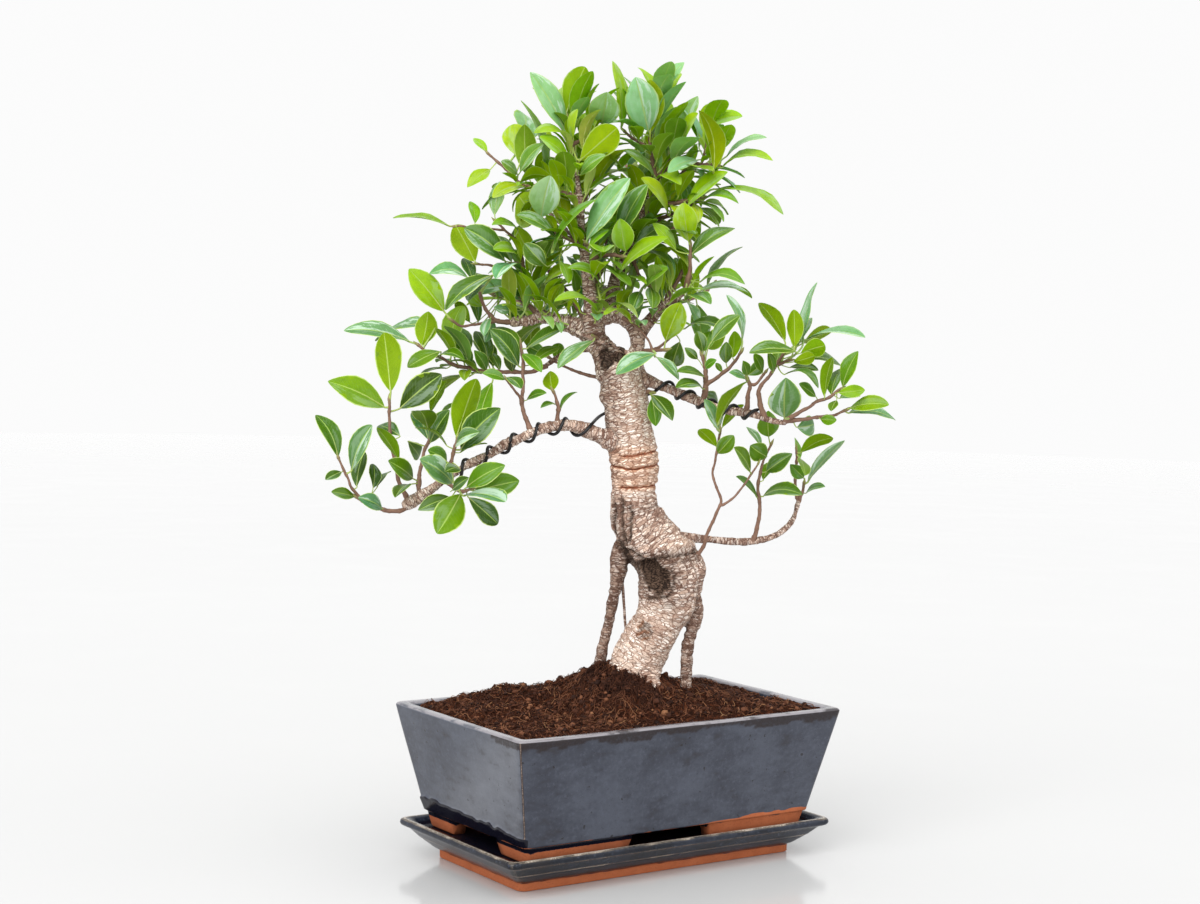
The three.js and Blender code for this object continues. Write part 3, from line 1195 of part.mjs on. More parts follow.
// Leaves in a spiral along each twig, each turned by the golden angle from the one before.
function placeRuledLeaves(spray, seed) {
  const draw = draws(seed);
  const between = ([low, high]) => mix(low, high, draw());
  let turn = 0;
  for (const twig of spray.twigs) {
    const rings = ringsAlong(twig);
    let from = ruled.first;
    for (let i = 0; i + 1 < rings.length; i++) {
      const reach = rings[i].centre.distanceTo(rings[i + 1].centre);
      for (; from < reach; from += ruled.pitch) {
        const root = rings[i].centre.clone().lerp(rings[i + 1].centre, from / reach);
        turn += THREE.MathUtils.degToRad(ruled.goldenTurn);
        for (let attempt = 0; attempt < ruled.tries; attempt++) {
          const cone = THREE.MathUtils.degToRad(between(ruled.cone));
          const length = between(ruled.length);
          const arch = between(ruled.arch);
          const tone = 'DMDMPB'[Math.floor(draw() * 6)];
          const round = turn + between([-0.5, 0.5]);
          const way = rings[i].along.clone().multiplyScalar(Math.cos(cone));
          way.addScaledVector(rings[i].across, Math.sin(cone) * Math.cos(round));
          way.addScaledVector(rings[i].over, Math.sin(cone) * Math.sin(round));
          const leaf = ruledLeaf(root, way, length, arch, tone);
          leaf.root = root;
          if (isClear(leaf, spray)) {
            keep(leaf, spray);
            break;
          }
        }
      }
      from -= reach;
    }
  }
}

// One leaf with its stalk: a cone of three sides and four steps, bent so that its rings are the stalk's
// root, the blade's foot and two places along the blade, and its point is the leaf's tip. One corner of
// its section runs along the midrib, under the blade, and the other two along the margins.
function leafBody(leaf) {
  const shape = new THREE.ConeGeometry(1, 1, 3, 4);
  const at = shape.attributes.position;
  const along = leaf.tip.clone().sub(leaf.foot).normalize();
  const stalkWay = leaf.foot.clone().sub(leaf.root).normalize();
  const bend = along.clone().add(stalkWay).normalize();
  const rings = [
    { centre: leaf.root, way: stalkWay, half: leafShape.root, lift: 0, rib: leafShape.root },
    { centre: leaf.foot, way: bend, half: leafShape.stalk, lift: 0, rib: leafShape.stalk },
    ...leafShape.stations.map((t) => {
      const half = leafShape.corner * leaf.width / 2 * outline(t);
      return { centre: midline(leaf, t), way: along, half, lift: leafShape.fold * half, rib: leafShape.rib };
    }),
    { centre: leaf.tip, way: along, half: 0, lift: 0, rib: 0 },
  ];
  for (const ring of rings) {
    const turn = new THREE.Quaternion().setFromUnitVectors(along, ring.way);
    ring.normal = leaf.normal.clone().applyQuaternion(turn);
    ring.side = along.clone().cross(leaf.normal).applyQuaternion(turn);
  }
  const place = new THREE.Vector3();
  for (let i = 0; i < at.count; i++) {
    const ring = rings[Math.round((at.getY(i) + 0.5) * 4)];
    const across = Math.abs(at.getX(i)) < 1e-6 ? 0 : Math.sign(at.getX(i));
    const isRib = across === 0 && at.getZ(i) > 1e-6;
    const lift = isRib ? -ring.rib : ring.lift * Math.abs(across);
    place.copy(ring.centre).addScaledVector(ring.side, across * ring.half).addScaledVector(ring.normal, lift);
    at.setXYZ(i, place.x, place.y, place.z);
  }
  return solid(shape);
}

function sprayBody(spray, fatTrunk) {
  const parts = spray.twigs.map((twig) => stem(twig, 3));
  for (const { leaf, spray: owner } of placed) {
    if (owner === spray) parts.push(leafBody(leaf));
  }
  return join(parts).subtract(fatTrunk);
}

// ---- the object --------------------------------------------------------------------------------------

const inTreeFrame = (body) => body.rotate([0, 0, THREE.MathUtils.radToDeg(treeTurn)]);

for (const limb of [...limbs, { path: trunkPath }]) {
  const margin = limb.wired ? clearance.wiredLimb : clearance.limb;
  limbPoints.push(...pointsAlong(limb.path, 5).map((entry) => ({ ...entry, margin })));
}
for (const spray of sprays) {
  for (const twig of spray.twigs) {
    twigPoints.push(...pointsAlong(twig, 3).map((entry) => ({ ...entry, owner: spray })));
  }
}
sprays.forEach((spray) => placeSeenLeaves(spray));
sprays.forEach((spray, i) => {
  if (spray.around) placeRuledLeaves(spray, 101 + i);
});

const fatTrunk = trunkBody(gap + 0.1);

const tree = new THREE.Group();
tree.add(piece('trunk', inTreeFrame(withWounds(trunkBody(0))), looks.bark));
for (const spray of sprays) {
  const own = placed.filter((entry) => entry.spray === spray);
  const young = own.filter(({ leaf }) => 'BY'.includes(leaf.tone)).length > own.length / 2;
  const look = young ? looks.youngLeaf : looks.leaf;
  tree.add(piece(`spray_${spray.name}`, inTreeFrame(sprayBody(spray, fatTrunk)), look));
}
tree.add(piece('training_wire', inTreeFrame(wireBody()), looks.wire));

const holder = new THREE.Group();
holder.add(piece('pot', potBody(), looks.glaze));
holder.add(piece('drip_tray', trayBody(), looks.glaze));
holder.add(piece('soil', soilBody(inTreeFrame(fatTrunk)), looks.soil));
drainPlaces.forEach((x, i) => holder.add(piece(`drain_screen_${i + 1}`, screenBody(x), looks.screen)));

const bonsai = new THREE.Group();
bonsai.add(tree, holder);

export default bonsai;
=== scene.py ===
"""A bonsai fig in a glazed rectangular pot on its drip tray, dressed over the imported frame.

Sizes are in millimetres until a mesh is made. The pot stands square to X and Y. The tree is laid out in
a frame of its own, (across, depth, height), with depth growing away from the tree's front, and the
whole tree is then turned about Z to face the pot's corner.
"""
import math

import bpy
import numpy as np
from mathutils import Matrix, Vector


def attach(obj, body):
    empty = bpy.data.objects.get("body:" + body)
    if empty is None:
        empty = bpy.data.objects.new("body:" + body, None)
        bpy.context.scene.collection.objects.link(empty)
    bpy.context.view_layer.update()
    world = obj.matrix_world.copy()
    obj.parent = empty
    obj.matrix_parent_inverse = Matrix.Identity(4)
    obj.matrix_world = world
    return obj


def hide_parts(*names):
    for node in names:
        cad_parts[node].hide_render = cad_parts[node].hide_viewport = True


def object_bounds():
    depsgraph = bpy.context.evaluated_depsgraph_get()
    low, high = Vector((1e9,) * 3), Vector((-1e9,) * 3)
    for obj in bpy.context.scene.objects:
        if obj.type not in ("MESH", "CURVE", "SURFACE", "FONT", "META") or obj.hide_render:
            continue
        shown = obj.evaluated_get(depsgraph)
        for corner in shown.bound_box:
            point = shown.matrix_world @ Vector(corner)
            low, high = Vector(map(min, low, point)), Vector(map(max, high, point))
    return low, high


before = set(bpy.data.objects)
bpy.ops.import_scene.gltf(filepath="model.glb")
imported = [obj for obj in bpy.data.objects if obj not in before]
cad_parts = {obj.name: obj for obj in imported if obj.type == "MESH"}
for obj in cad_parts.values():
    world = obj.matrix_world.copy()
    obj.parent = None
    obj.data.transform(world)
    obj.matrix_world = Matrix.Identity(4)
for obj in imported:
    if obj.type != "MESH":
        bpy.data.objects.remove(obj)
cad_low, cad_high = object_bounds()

MM = 0.001
GAP = 0.3  # clearance between the pot, the tray and the soil
TREE_TURN = math.radians(-34.5)  # the tree's front against the pot's long side

POT = dict(length=350, width=214, top=138, underside=41.4, bottom_length=310, rim=11.5, floor=49.5,
           foot_length=307, foot_taper=3.5, foot_wall=14, long_gap=(80, 92), short_gap=(70, 82), corner=5)
TRAY = dict(length=350, width=195, rim_top=34, floor=26, foot_length=296, foot_height=8, corner=7)
SOIL = dict(edge=134, mound=33, centre=(-8, 14), spread=(75, 38), heap=21, heap_centre=(6, -22),
            heap_spread=(28, 20))
WIRE = dict(radius=1.5, clear=0.1, sides=8, steps_per_turn=20)
LEAF = dict(ratio=0.48, fold=0.1, forward=0.5, inner=0.15)
BLADE = dict(fold=0.15, puff=0.10, wave=0.09, groove=0.32, thick=0.36, midrib=0.75, bow=0.03, hook=0.03,
             twist=0.22)
CLEAR = dict(blade=5.5, sibling=3.5, root=1.8, twig=3.5, stalk=1.5, limb=3, wired_limb=6.5, slack=12)
RULED = dict(first=12, pitch=14, golden_turn=137.5, cone=(38, 72), length=(34, 52), stalk=8, droop=0.28,
             arch=(0.05, 0.14), tries=4)
CAMERA = dict(place=(-1106.5, -1566.4, 481.4), azimuth=-34.54, pitch=3.37, roll=1.41, lens=63.6)

# Glazes: colours where thick, thin, at an edge and worn off it, then how rough and how glossy.
POT_GLAZE = dict(thick=(0.034, 0.038, 0.054), thin=(0.062, 0.070, 0.094), edge=(0.012, 0.006, 0.006),
                 worn=(0.17, 0.115, 0.085), roughness=0.17, gloss=0.22)
TRAY_GLAZE = dict(thick=(0.004, 0.006, 0.011), thin=(0.022, 0.027, 0.042), edge=(0.10, 0.08, 0.062),
                  worn=(0.34, 0.28, 0.22), roughness=0.2, gloss=0.18)

# ---- the tree's own points: [across, depth, height, radius], chosen along each stem -----------------

TRUNK = [[8, 0, 112, 31], [9, 0, 140, 29], [11, 0, 160, 26], [14, 0, 172, 24.5], [18, 0, 184, 23.5],
         [26, 0, 200, 23], [34, 0, 217, 22.5], [40, 0, 233, 26], [42, 0, 250, 28], [39, 0, 268, 28],
         [28, 0, 284, 27], [17, 0, 299, 25.5], [9, 0, 314, 22.5], [8, 0, 337, 20], [8, 0, 356, 22],
         [6, 0, 371, 22], [3, 0, 390, 21], [0, 0, 411, 20.5], [-4, 0, 433, 20.5], [-8, 0, 446, 21.5],
         [-10, 0, 456, 17]]

LIMBS = [
    dict(name="heel", path=[[30, 0, 300, 9], [45, 0, 285, 14], [57, 0, 268, 17], [60, 0, 250, 13],
      [62, 0, 234, 9]]),
    dict(name="left_root", path=[[6, 0, 292, 9], [-2, 0, 278, 9.5], [-4, 0, 262, 8], [-6, 3, 244, 5.6],
      [-10, 6, 224, 4.8], [-13, 8, 205, 5], [-17, 10, 186, 5.5], [-19, 12, 169, 5.8], [-20, 13, 140, 5]]),
    dict(name="thread_root", path=[[-4, 0, 258, 2], [0, 4, 247, 1.6], [2, 8, 229, 1.3], [5, 10, 204, 1.3],
      [14, 9, 188, 1.4]]),
    dict(name="right_root", path=[[58, 0, 250, 10], [65, 0, 234, 8.5], [68, 0, 222, 6.8], [64, 0, 208, 6],
      [61, 0, 194, 5.8], [60, 0, 176, 5.6], [60, 0, 150, 5], [60, 0, 126, 4.5]]),
    dict(name="front_toe", path=[[13, -4, 186, 15], [20, -15, 167, 11], [28, -22, 152, 8],
      [31, -27, 138, 6]]),
    dict(name="back_toe", path=[[10, 6, 182, 15], [0, 20, 165, 11], [-8, 32, 150, 8], [-12, 40, 136, 6]]),
    dict(name="left_limb", wired=True, path=[[2, -2, 380, 15], [-13, -7, 381, 11], [-24, -12, 384, 7.6],
      [-33, -15, 388, 6.4], [-51, -21, 393, 5.5], [-69, -27, 391, 5.3], [-86, -33, 385, 5],
      [-103, -37, 377, 4.8], [-121, -42, 367, 4.6], [-138, -48, 358, 4.4], [-159, -52, 344, 4],
      [-171, -54, 335, 4.2], [-181, -55, 328, 6], [-188, -56, 324, 6.2], [-195, -58, 320, 3.6]]),
    dict(name="right_limb", wired=True, path=[[3, 0, 438, 9], [13, -5, 436, 7], [25, -8, 432, 5.2],
      [47, -14, 424, 4.4], [65, -20, 417, 4.4], [83, -26, 411, 4], [109, -34, 408, 3.9], [130, -40, 402, 3],
      [141, -42, 401, 2.6]]),
    dict(name="low_right_limb", path=[[38, 8, 290, 10], [52, 10, 291, 6.4], [64, 13, 291, 4.4],
      [89, 18, 289, 3.4], [107, 20, 288, 3.8], [126, 22, 290, 3.2], [139, 24, 294, 3], [148, 25, 300, 3.2],
      [156, 27, 310, 2.8], [161, 30, 328, 2.1]]),
    dict(name="left_fork", path=[[-12, 0, 442, 18], [-22, 0, 459, 12.5], [-32, 0, 472, 11],
      [-44, 2, 480, 9.2], [-60, 4, 485, 7.2], [-76, 4, 489, 6], [-92, 3, 486, 5.1], [-107, 0, 484, 4]]),
    dict(name="right_arch", path=[[4, 0, 440, 14], [7, 0, 457, 7.6], [8, 1, 471, 7], [6, 3, 481, 7],
      [-3, 4, 490, 7.2], [-15, 3, 493, 8], [-30, -1, 488, 9]]),
    dict(name="leader", path=[[-31, -2, 476, 11], [-33, -4, 491, 8.6], [-35, -6, 506, 6.4],
      [-38, -8, 528, 5.4], [-42, -10, 552, 4.6], [-46, -11, 578, 4], [-48, -12, 602, 3.4],
      [-51, -12, 622, 2.6], [-53, -12, 637, 2.1]]),
    dict(name="back_leader", path=[[-16, 5, 494, 8.5], [-15, 12, 514, 6.4], [-9, 16, 539, 5.6],
      [0, 18, 558, 5], [8, 20, 577, 4.4], [15, 21, 600, 3.6], [21, 20, 618, 2.3]]),
    dict(name="right_fork", path=[[8, 4, 474, 7.5], [17, 2, 486, 6], [29, -2, 501, 4.8], [41, -6, 509, 4],
      [52, -10, 518, 2.5]]),
    dict(name="low_back_limb", path=[[-14, 6, 460, 7], [-28, 5, 463, 4.6], [-49, 8, 460, 3.6],
      [-62, 10, 454, 2.8], [-75, 10, 445, 2.3]]),
    dict(name="left_riser", path=[[-76, 4, 487, 4.4], [-83, 4, 500, 3.4], [-90, 3, 514, 2.8],
      [-97, 2, 530, 2.1]]),
]

SPRAYS = [
    dict(name="left_tip",
      twigs=[[[-188, -56, 320, 2.2], [-198, -60, 316, 2], [-206, -62, 316, 1.8], [-217, -64, 318, 1.5],
         [-229, -66, 323, 1.3], [-235, -67, 327, 1.1]],
        [[-229, -66, 323, 1.3], [-239, -72, 336, 1.1], [-245, -76, 350, 1], [-250, -78, 361, 0.9]]],
      leaves=[[-237, -67, 328, -256, -79, 333, 9, 0.1, "M"], [-213, -66, 318, -232, -88, 329, 12, 0.1, "P"],
        [-235, -72, 337, -230, -58, 367, 13, 0.05, "D"], [-248, -76, 350, -260, -90, 344, 8, 0.1, "D"],
        [-221, -68, 336, -223, -50, 356, 9, 0.05, "D"], [-219, -60, 336, -209, -48, 348, 6, 0.1, "D"],
        [-239, -76, 352, -220, -86, 392, 17, 0.08, "P"], [-251, -78, 363, -272, -68, 399, 13, 0.1, "M"]]),
    dict(name="left_fan",
      twigs=[[[-192, -52, 325, 2.4], [-199, -50, 339, 1.8], [-205, -46, 360, 1.6], [-210, -42, 382, 1.4],
         [-211, -40, 402, 1.2], [-211, -40, 412, 1]]],
      leaves=[[-215, -42, 406, -264, -56, 428, 23, 0.08, "B"],
        [-210, -40, 420, -218, -30, 472, 24, 0.05, "Y"], [-202, -36, 405, -166, -30, 436, 25, 0.1, "D"],
        [-201, -42, 381, -222, -20, 388, 11, 0.1, "D"], [-200, -58, 361, -218, -72, 389, 12, 0.05, "Y"]]),
    dict(name="left_rise",
      twigs=[[[-181, -50, 327, 2.2], [-183, -44, 341, 1.8], [-182, -36, 355, 1.6], [-180, -30, 368, 1.4],
         [-176, -26, 379, 1.2], [-175, -24, 395, 1]]],
      leaves=[[-188, -50, 344, -207, -68, 361, 14, 0.1, "M"], [-190, -56, 339, -200, -78, 330, 9, 0.1, "D"],
        [-195, -26, 375, -187, -2, 360, 11, 0.1, "M"], [-176, -22, 402, -163, -10, 429, 9, 0.08, "Y"],
        [-175, -28, 375, -157, -44, 405, 16, 0.08, "D"], [-177, -24, 377, -194, -2, 400, 14, 0.1, "P"]]),
    dict(name="left_bunch",
      twigs=[[[-155, -50, 347, 2.2], [-155, -53, 356, 1.6], [-152, -55, 369, 1.3], [-149, -56, 379, 1.1]]],
      leaves=[[-150, -56, 382, -133, -66, 434, 21, 0.05, "Y"],
        [-146, -55, 371, -111, -71, 409, 25, 0.08, "D"], [-150, -58, 374, -128, -84, 388, 11, 0.15, "P"],
        [-158, -55, 360, -173, -79, 371, 12, 0.1, "M"], [-152, -60, 342, -179, -80, 364, 18, 0.1, "P"],
        [-146, -58, 355, -157, -82, 353, 9, 0.1, "D"]]),
    dict(name="left_skirt",
      twigs=[[[-159, -52, 343, 2], [-150, -60, 337, 1.6], [-143, -62, 335, 1.3], [-137, -60, 336, 1]]],
      leaves=[[-154, -62, 329, -181, -74, 318, 14, 0.12, "D"],
        [-145, -62, 332, -163, -88, 299, 26, 0.08, "B"], [-138, -58, 329, -112, -46, 305, 16, 0.1, "D"],
        [-140, -60, 338, -106, -68, 359, 18, 0.1, "M"], [-133, -58, 335, -94, -46, 344, 21, 0.08, "M"],
        [-141, -62, 332, -103, -84, 331, 7, 0.08, "P"], [-150, -62, 338, -135, -86, 350, 9, 0.1, "D"]]),
    dict(name="left_twig",
      twigs=[[[-85, -33, 387, 2.6], [-89, -30, 397, 2], [-94, -28, 410, 1.7], [-94, -24, 426, 1.5],
         [-94, -18, 449, 1.3], [-96, -14, 464, 1]],
        [[-94, -28, 410, 1.7], [-97, -32, 418, 1.2], [-103, -36, 426, 1], [-107, -38, 432, 0.9]]],
      leaves=[[-109, -38, 433, -129, -50, 438, 9, 0.1, "M"], [-108, -38, 435, -94, -58, 426, 8, 0.1, "D"],
        [-98, -20, 445, -124, -36, 477, 18, 0.1, "D"], [-96, -14, 457, -122, -2, 479, 13, 0.1, "D"],
        [-95, -16, 456, -77, -36, 440, 11, 0.1, "M"], [-91, -12, 461, -55, -20, 480, 11, 0.1, "D"],
        [-86, -14, 447, -62, -4, 462, 9, 0.1, "M"], [-90, -28, 415, -72, -40, 422, 7, 0.12, "M"]]),
    dict(name="left_twiglet",
      twigs=[[[-62, -24, 394, 2.2], [-62, -26, 405, 1.6], [-63, -28, 416, 1.3], [-66, -30, 423, 1]]],
      leaves=[[-67, -30, 424, -70, -13, 441, 14, 0.05, "Y"], [-64, -28, 412, -77, -38, 409, 4, 0.15, "D"],
        [-60, -26, 407, -45, -18, 423, 4, 0.15, "M"]]),
    dict(name="mid_left",
      twigs=[[[-73, 10, 445, 2.2], [-89, 8, 440, 1.8], [-107, 6, 439, 1.7], [-131, 2, 439, 1.5],
         [-156, -4, 444, 1.3], [-170, -6, 450, 1.2], [-179, -8, 454, 1.1], [-188, -8, 461, 1]]],
      leaves=[[-197, -8, 464, -257, -20, 473, 13, 0.08, "P"], [-177, -4, 480, -233, 12, 463, 8, 0.1, "P"],
        [-186, -8, 461, -182, 8, 492, 20, 0.05, "Y"], [-169, -8, 456, -197, -24, 441, 13, 0.1, "M"],
        [-171, -10, 451, -146, -28, 449, 7, 0.2, "M"], [-116, 4, 440, -126, 18, 456, 9, 0.1, "D"],
        [-128, 2, 440, -139, -12, 458, 11, 0.1, "M"], [-143, 0, 442, -151, 14, 462, 11, 0.1, "D"],
        [-104, 6, 439, -111, -6, 459, 11, 0.1, "D"]]),
    dict(name="mid_left_top",
      twigs=[[[-106, 0, 484, 2.4], [-119, -4, 485, 2], [-129, -8, 494, 1.6], [-135, -10, 508, 1.3],
         [-137, -12, 516, 1.1]],
        [[-119, -4, 485, 2], [-136, -8, 482, 1.2], [-150, -12, 479, 1.1], [-158, -14, 483, 1]]],
      leaves=[[-166, -16, 492, -197, -26, 529, 23, 0.08, "B"],
        [-145, -12, 522, -179, -26, 525, 11, 0.2, "P"], [-141, -10, 520, -151, 6, 541, 11, 0.1, "D"],
        [-124, -18, 525, -163, -40, 494, 16, 0.12, "D"], [-130, -14, 517, -143, -38, 501, 9, 0.1, "P"],
        [-125, -10, 487, -129, -26, 471, 9, 0.1, "P"]]),
    dict(name="mid_back",
      twigs=[[[-23, 10, 435, 1.8], [-43, 14, 440, 1.4], [-60, 18, 446, 1.1], [-71, 20, 452, 1]]],
      leaves=[[-72, 20, 453, -93, 32, 463, 13, 0.1, "D"], [-66, 20, 450, -63, 34, 466, 11, 0.08, "M"]]),
    dict(name="fork_left",
      twigs=[[[-26, -8, 468, 2], [-29, -18, 472, 1.2], [-31, -22, 473, 1]]],
      leaves=[[-32, -22, 469, -62, -36, 443, 12, 0.1, "P"]]),
    dict(name="fork_right",
      twigs=[[[-7, 0, 491, 2.2], [6, -14, 483, 1], [16, -20, 473, 0.9], [21, -22, 462, 0.9]]],
      leaves=[[24, -26, 459, -11, -40, 440, 14, 0.1, "P"], [25, -24, 456, 45, -30, 436, 9, 0.08, "P"]]),
    dict(name="crown_left",
      twigs=[[[-97, 2, 529, 2], [-99, 0, 545, 1.6], [-104, -4, 558, 1.3], [-113, -8, 566, 1.1],
         [-121, -10, 573, 1]],
        [[-99, 1, 537, 1.6], [-117, -8, 534, 1.2], [-130, -14, 534, 1], [-137, -18, 535, 0.9]],
        [[-113, -8, 566, 1.1], [-135, -16, 567, 0.9], [-156, -22, 568, 0.8]]],
      leaves=[[-113, -12, 539, -149, -30, 566, 20, 0.1, "D"],
        [-139, -20, 537, -158, -8, 570, 22, 0.05, "Y"], [-140, -16, 571, -145, -4, 591, 9, 0.1, "M"],
        [-162, -22, 568, -212, -32, 573, 6, 0.08, "M"], [-102, -6, 567, -124, -28, 570, 7, 0.15, "M"],
        [-107, -4, 538, -124, 12, 562, 14, 0.1, "D"], [-100, -4, 538, -123, -32, 547, 7, 0.2, "M"],
        [-98, 0, 531, -119, -26, 521, 8, 0.2, "P"], [-123, -10, 579, -119, -2, 610, 14, 0.08, "P"]]),
    dict(name="crown_left_mid",
      twigs=[[[-43, -9, 555, 2], [-57, -12, 560, 1.7], [-68, -14, 565, 1.5], [-79, -16, 571, 1.2],
         [-87, -17, 574, 1]]],
      leaves=[[-76, -20, 535, -95, -34, 554, 16, 0.1, "D"], [-70, -26, 547, -31, -36, 593, 8, 0.12, "M"],
        [-67, -22, 560, -102, -40, 578, 11, 0.1, "D"], [-90, -18, 572, -104, 17, 601, 27, 0.05, "Y"],
        [-81, -20, 578, -73, -49, 613, 27, 0.06, "P"], [-63, -22, 539, -55, -38, 519, 9, 0.12, "M"]]),
    dict(name="crown_upper_left",
      twigs=[[[-48, -12, 597, 2], [-65, -10, 601, 1.7], [-83, -8, 605, 1.5], [-99, -6, 608, 1.3],
         [-108, -6, 615, 1.2], [-119, -6, 625, 1.1], [-129, -6, 633, 0.9]]],
      leaves=[[-131, -6, 635, -144, 2, 648, 7, 0.05, "M"], [-128, -8, 620, -147, -24, 602, 13, 0.12, "M"],
        [-103, -10, 616, -118, -26, 626, 9, 0.1, "D"], [-101, -6, 631, -109, 19, 663, 23, 0.05, "B"],
        [-99, 8, 648, -100, 39, 677, 23, 0.05, "P"], [-101, -10, 618, -80, -22, 643, 13, 0.1, "D"],
        [-94, -14, 604, -124, -32, 593, 11, 0.15, "M"], [-79, -2, 619, -104, 8, 683, 8, 0.1, "M"],
        [-72, -20, 613, -99, -40, 607, 9, 0.2, "Y"]]),
    dict(name="crown_top",
      twigs=[[[-53, -12, 634, 2], [-55, -12, 643, 1.6], [-57, -12, 655, 1.3], [-59, -12, 665, 1]],
        [[-55, -12, 643, 1.6], [-44, -10, 650, 1], [-34, -6, 658, 0.9]]],
      leaves=[[-61, -16, 654, -93, -28, 705, 20, 0.06, "P"], [-62, -4, 657, -93, 12, 695, 8, 0.1, "M"],
        [-61, -12, 671, -45, -2, 714, 21, 0.05, "Y"], [-58, -8, 667, -35, 12, 696, 11, 0.1, "M"],
        [-29, -6, 663, -25, -44, 688, 27, 0.06, "P"], [-47, -24, 629, -15, -36, 657, 25, 0.06, "Y"],
        [-54, -24, 647, -51, -40, 672, 8, 0.1, "M"], [-61, -22, 651, -89, -40, 651, 8, 0.2, "M"],
        [-58, -22, 629, -83, -36, 648, 12, 0.1, "M"], [-47, -24, 616, -24, -42, 632, 12, 0.1, "D"]]),
    dict(name="crown_top_right",
      twigs=[[[21, 20, 616, 2.2], [18, 18, 629, 1.7], [17, 16, 643, 1.3], [15, 14, 653, 1.1],
         [19, 12, 674, 0.9], [21, 12, 686, 0.8]],
        [[21, 20, 616, 2.2], [30, 20, 627, 1.5], [34, 20, 639, 1.3], [36, 20, 648, 1]],
        [[30, 20, 627, 1.5], [47, 16, 630, 1.2], [62, 12, 631, 1.1], [75, 10, 630, 1]],
        [[17, 16, 643, 1.3], [2, 14, 651, 1], [-7, 12, 658, 0.9]],
        [[62, 12, 631, 1.1], [66, 10, 648, 0.9], [66, 8, 659, 0.8]]],
      leaves=[[-11, 10, 661, -20, 0, 720, 13, 0.06, "M"], [13, 8, 659, 0, -15, 704, 30, 0.06, "P"],
        [18, 14, 692, 3, 28, 718, 8, 0.1, "M"], [23, 12, 690, 43, 4, 721, 13, 0.1, "P"],
        [32, 26, 656, 19, 42, 700, 18, 0.08, "M"], [32, 28, 637, 21, 50, 681, 15, 0.1, "D"],
        [42, 20, 651, 58, 34, 693, 15, 0.1, "P"], [46, 16, 651, 57, -2, 674, 9, 0.1, "M"],
        [70, 12, 635, 49, 0, 673, 14, 0.1, "M"], [67, 8, 663, 96, -10, 673, 11, 0.15, "M"],
        [84, 8, 638, 119, -4, 655, 6, 0.12, "P"], [80, 8, 628, 125, -10, 633, 8, 0.2, "M"],
        [20, 8, 617, -10, -14, 640, 9, 0.1, "D"], [22, 10, 617, 43, -14, 610, 9, 0.2, "M"],
        [58, 6, 634, 31, -18, 621, 13, 0.1, "P"], [76, 18, 625, 81, 36, 646, 9, 0.1, "D"]]),
    dict(name="crown_right_top",
      twigs=[[[15, 20, 593, 2.4], [35, 14, 595, 1.9], [51, 8, 598, 1.5], [61, 4, 600, 1.2]]],
      leaves=[[50, 0, 592, 85, -16, 622, 14, 0.1, "B"], [75, 2, 608, 136, -6, 586, 9, 0.14, "M"],
        [64, 0, 598, 95, -22, 595, 8, 0.22, "M"], [63, 2, 595, 82, -12, 578, 5, 0.12, "M"],
        [66, 8, 597, 88, 20, 587, 5, 0.12, "M"], [33, 4, 584, 8, -12, 615, 11, 0.1, "M"]]),
    dict(name="crown_right",
      twigs=[[[50, -10, 516, 2.4], [53, -12, 533, 1.8], [53, -14, 545, 1.4], [53, -14, 556, 1.1]]],
      leaves=[[51, -16, 560, 45, -29, 593, 21, 0.06, "B"], [53, -14, 547, 93, 0, 574, 13, 0.1, "D"],
        [40, -20, 552, 18, -36, 575, 12, 0.1, "M"], [62, -14, 524, 102, -26, 522, 9, 0.22, "M"],
        [62, -10, 516, 107, 2, 516, 7, 0.12, "P"], [50, -14, 507, 71, -34, 503, 7, 0.2, "D"],
        [53, -8, 505, 65, 6, 485, 9, 0.05, "P"]]),
    dict(name="crown_centre",
      twigs=[[[-40, -9, 539, 2.2], [-29, -16, 545, 1.8], [-19, -22, 546, 1.5], [-8, -26, 545, 1.2]],
        [[-29, -16, 545, 1.8], [-35, -22, 552, 1.2], [-39, -25, 555, 1]]],
      leaves=[[-40, -28, 558, -3, -42, 613, 21, 0.06, "P"], [-12, -22, 559, 12, -28, 609, 18, 0.06, "D"],
        [-5, -30, 549, -11, -49, 577, 20, 0.06, "M"], [-11, -28, 529, 33, -44, 561, 12, 0.1, "B"],
        [-37, -22, 540, -21, -42, 550, 7, 0.15, "M"], [-38, -28, 550, -20, -50, 567, 8, 0.12, "M"],
        [-27, -18, 519, -56, -38, 533, 8, 0.2, "M"]]),
    dict(name="crown_centre_right",
      twigs=[[[-1, 18, 557, 2.2], [3, 6, 541, 1.7], [9, -4, 528, 1.4], [16, -10, 521, 1.1]]],
      leaves=[[13, -16, 517, 33, -36, 535, 9, 0.12, "M"], [4, -8, 555, 27, -26, 574, 14, 0.08, "D"],
        [9, -12, 514, 2, -32, 497, 13, 0.1, "D"], [18, -12, 518, 20, -26, 499, 13, 0.08, "D"]]),
    dict(name="under_crown",
      twigs=[[[11, -2, 460, 2], [22, -10, 462, 1.6], [32, -14, 463, 1.2]],
        [[22, -10, 462, 1.6], [32, -6, 468, 1.1], [39, -4, 475, 1], [44, -4, 480, 0.9]]],
      leaves=[[33, -18, 471, 45, -35, 505, 22, 0.06, "B"], [46, -6, 470, 40, 15, 447, 18, 0.06, "D"],
        [50, -6, 482, 88, -24, 480, 8, 0.2, "D"]]),
    dict(name="trunk_side",
      twigs=[[[16, -6, 424, 2], [21, -12, 424, 1.2]]],
      leaves=[[22, -14, 422, 40, -26, 400, 14, 0.08, "D"], [22, -13, 419, 26, -3, 394, 13, 0.08, "M"]]),
    dict(name="right_first",
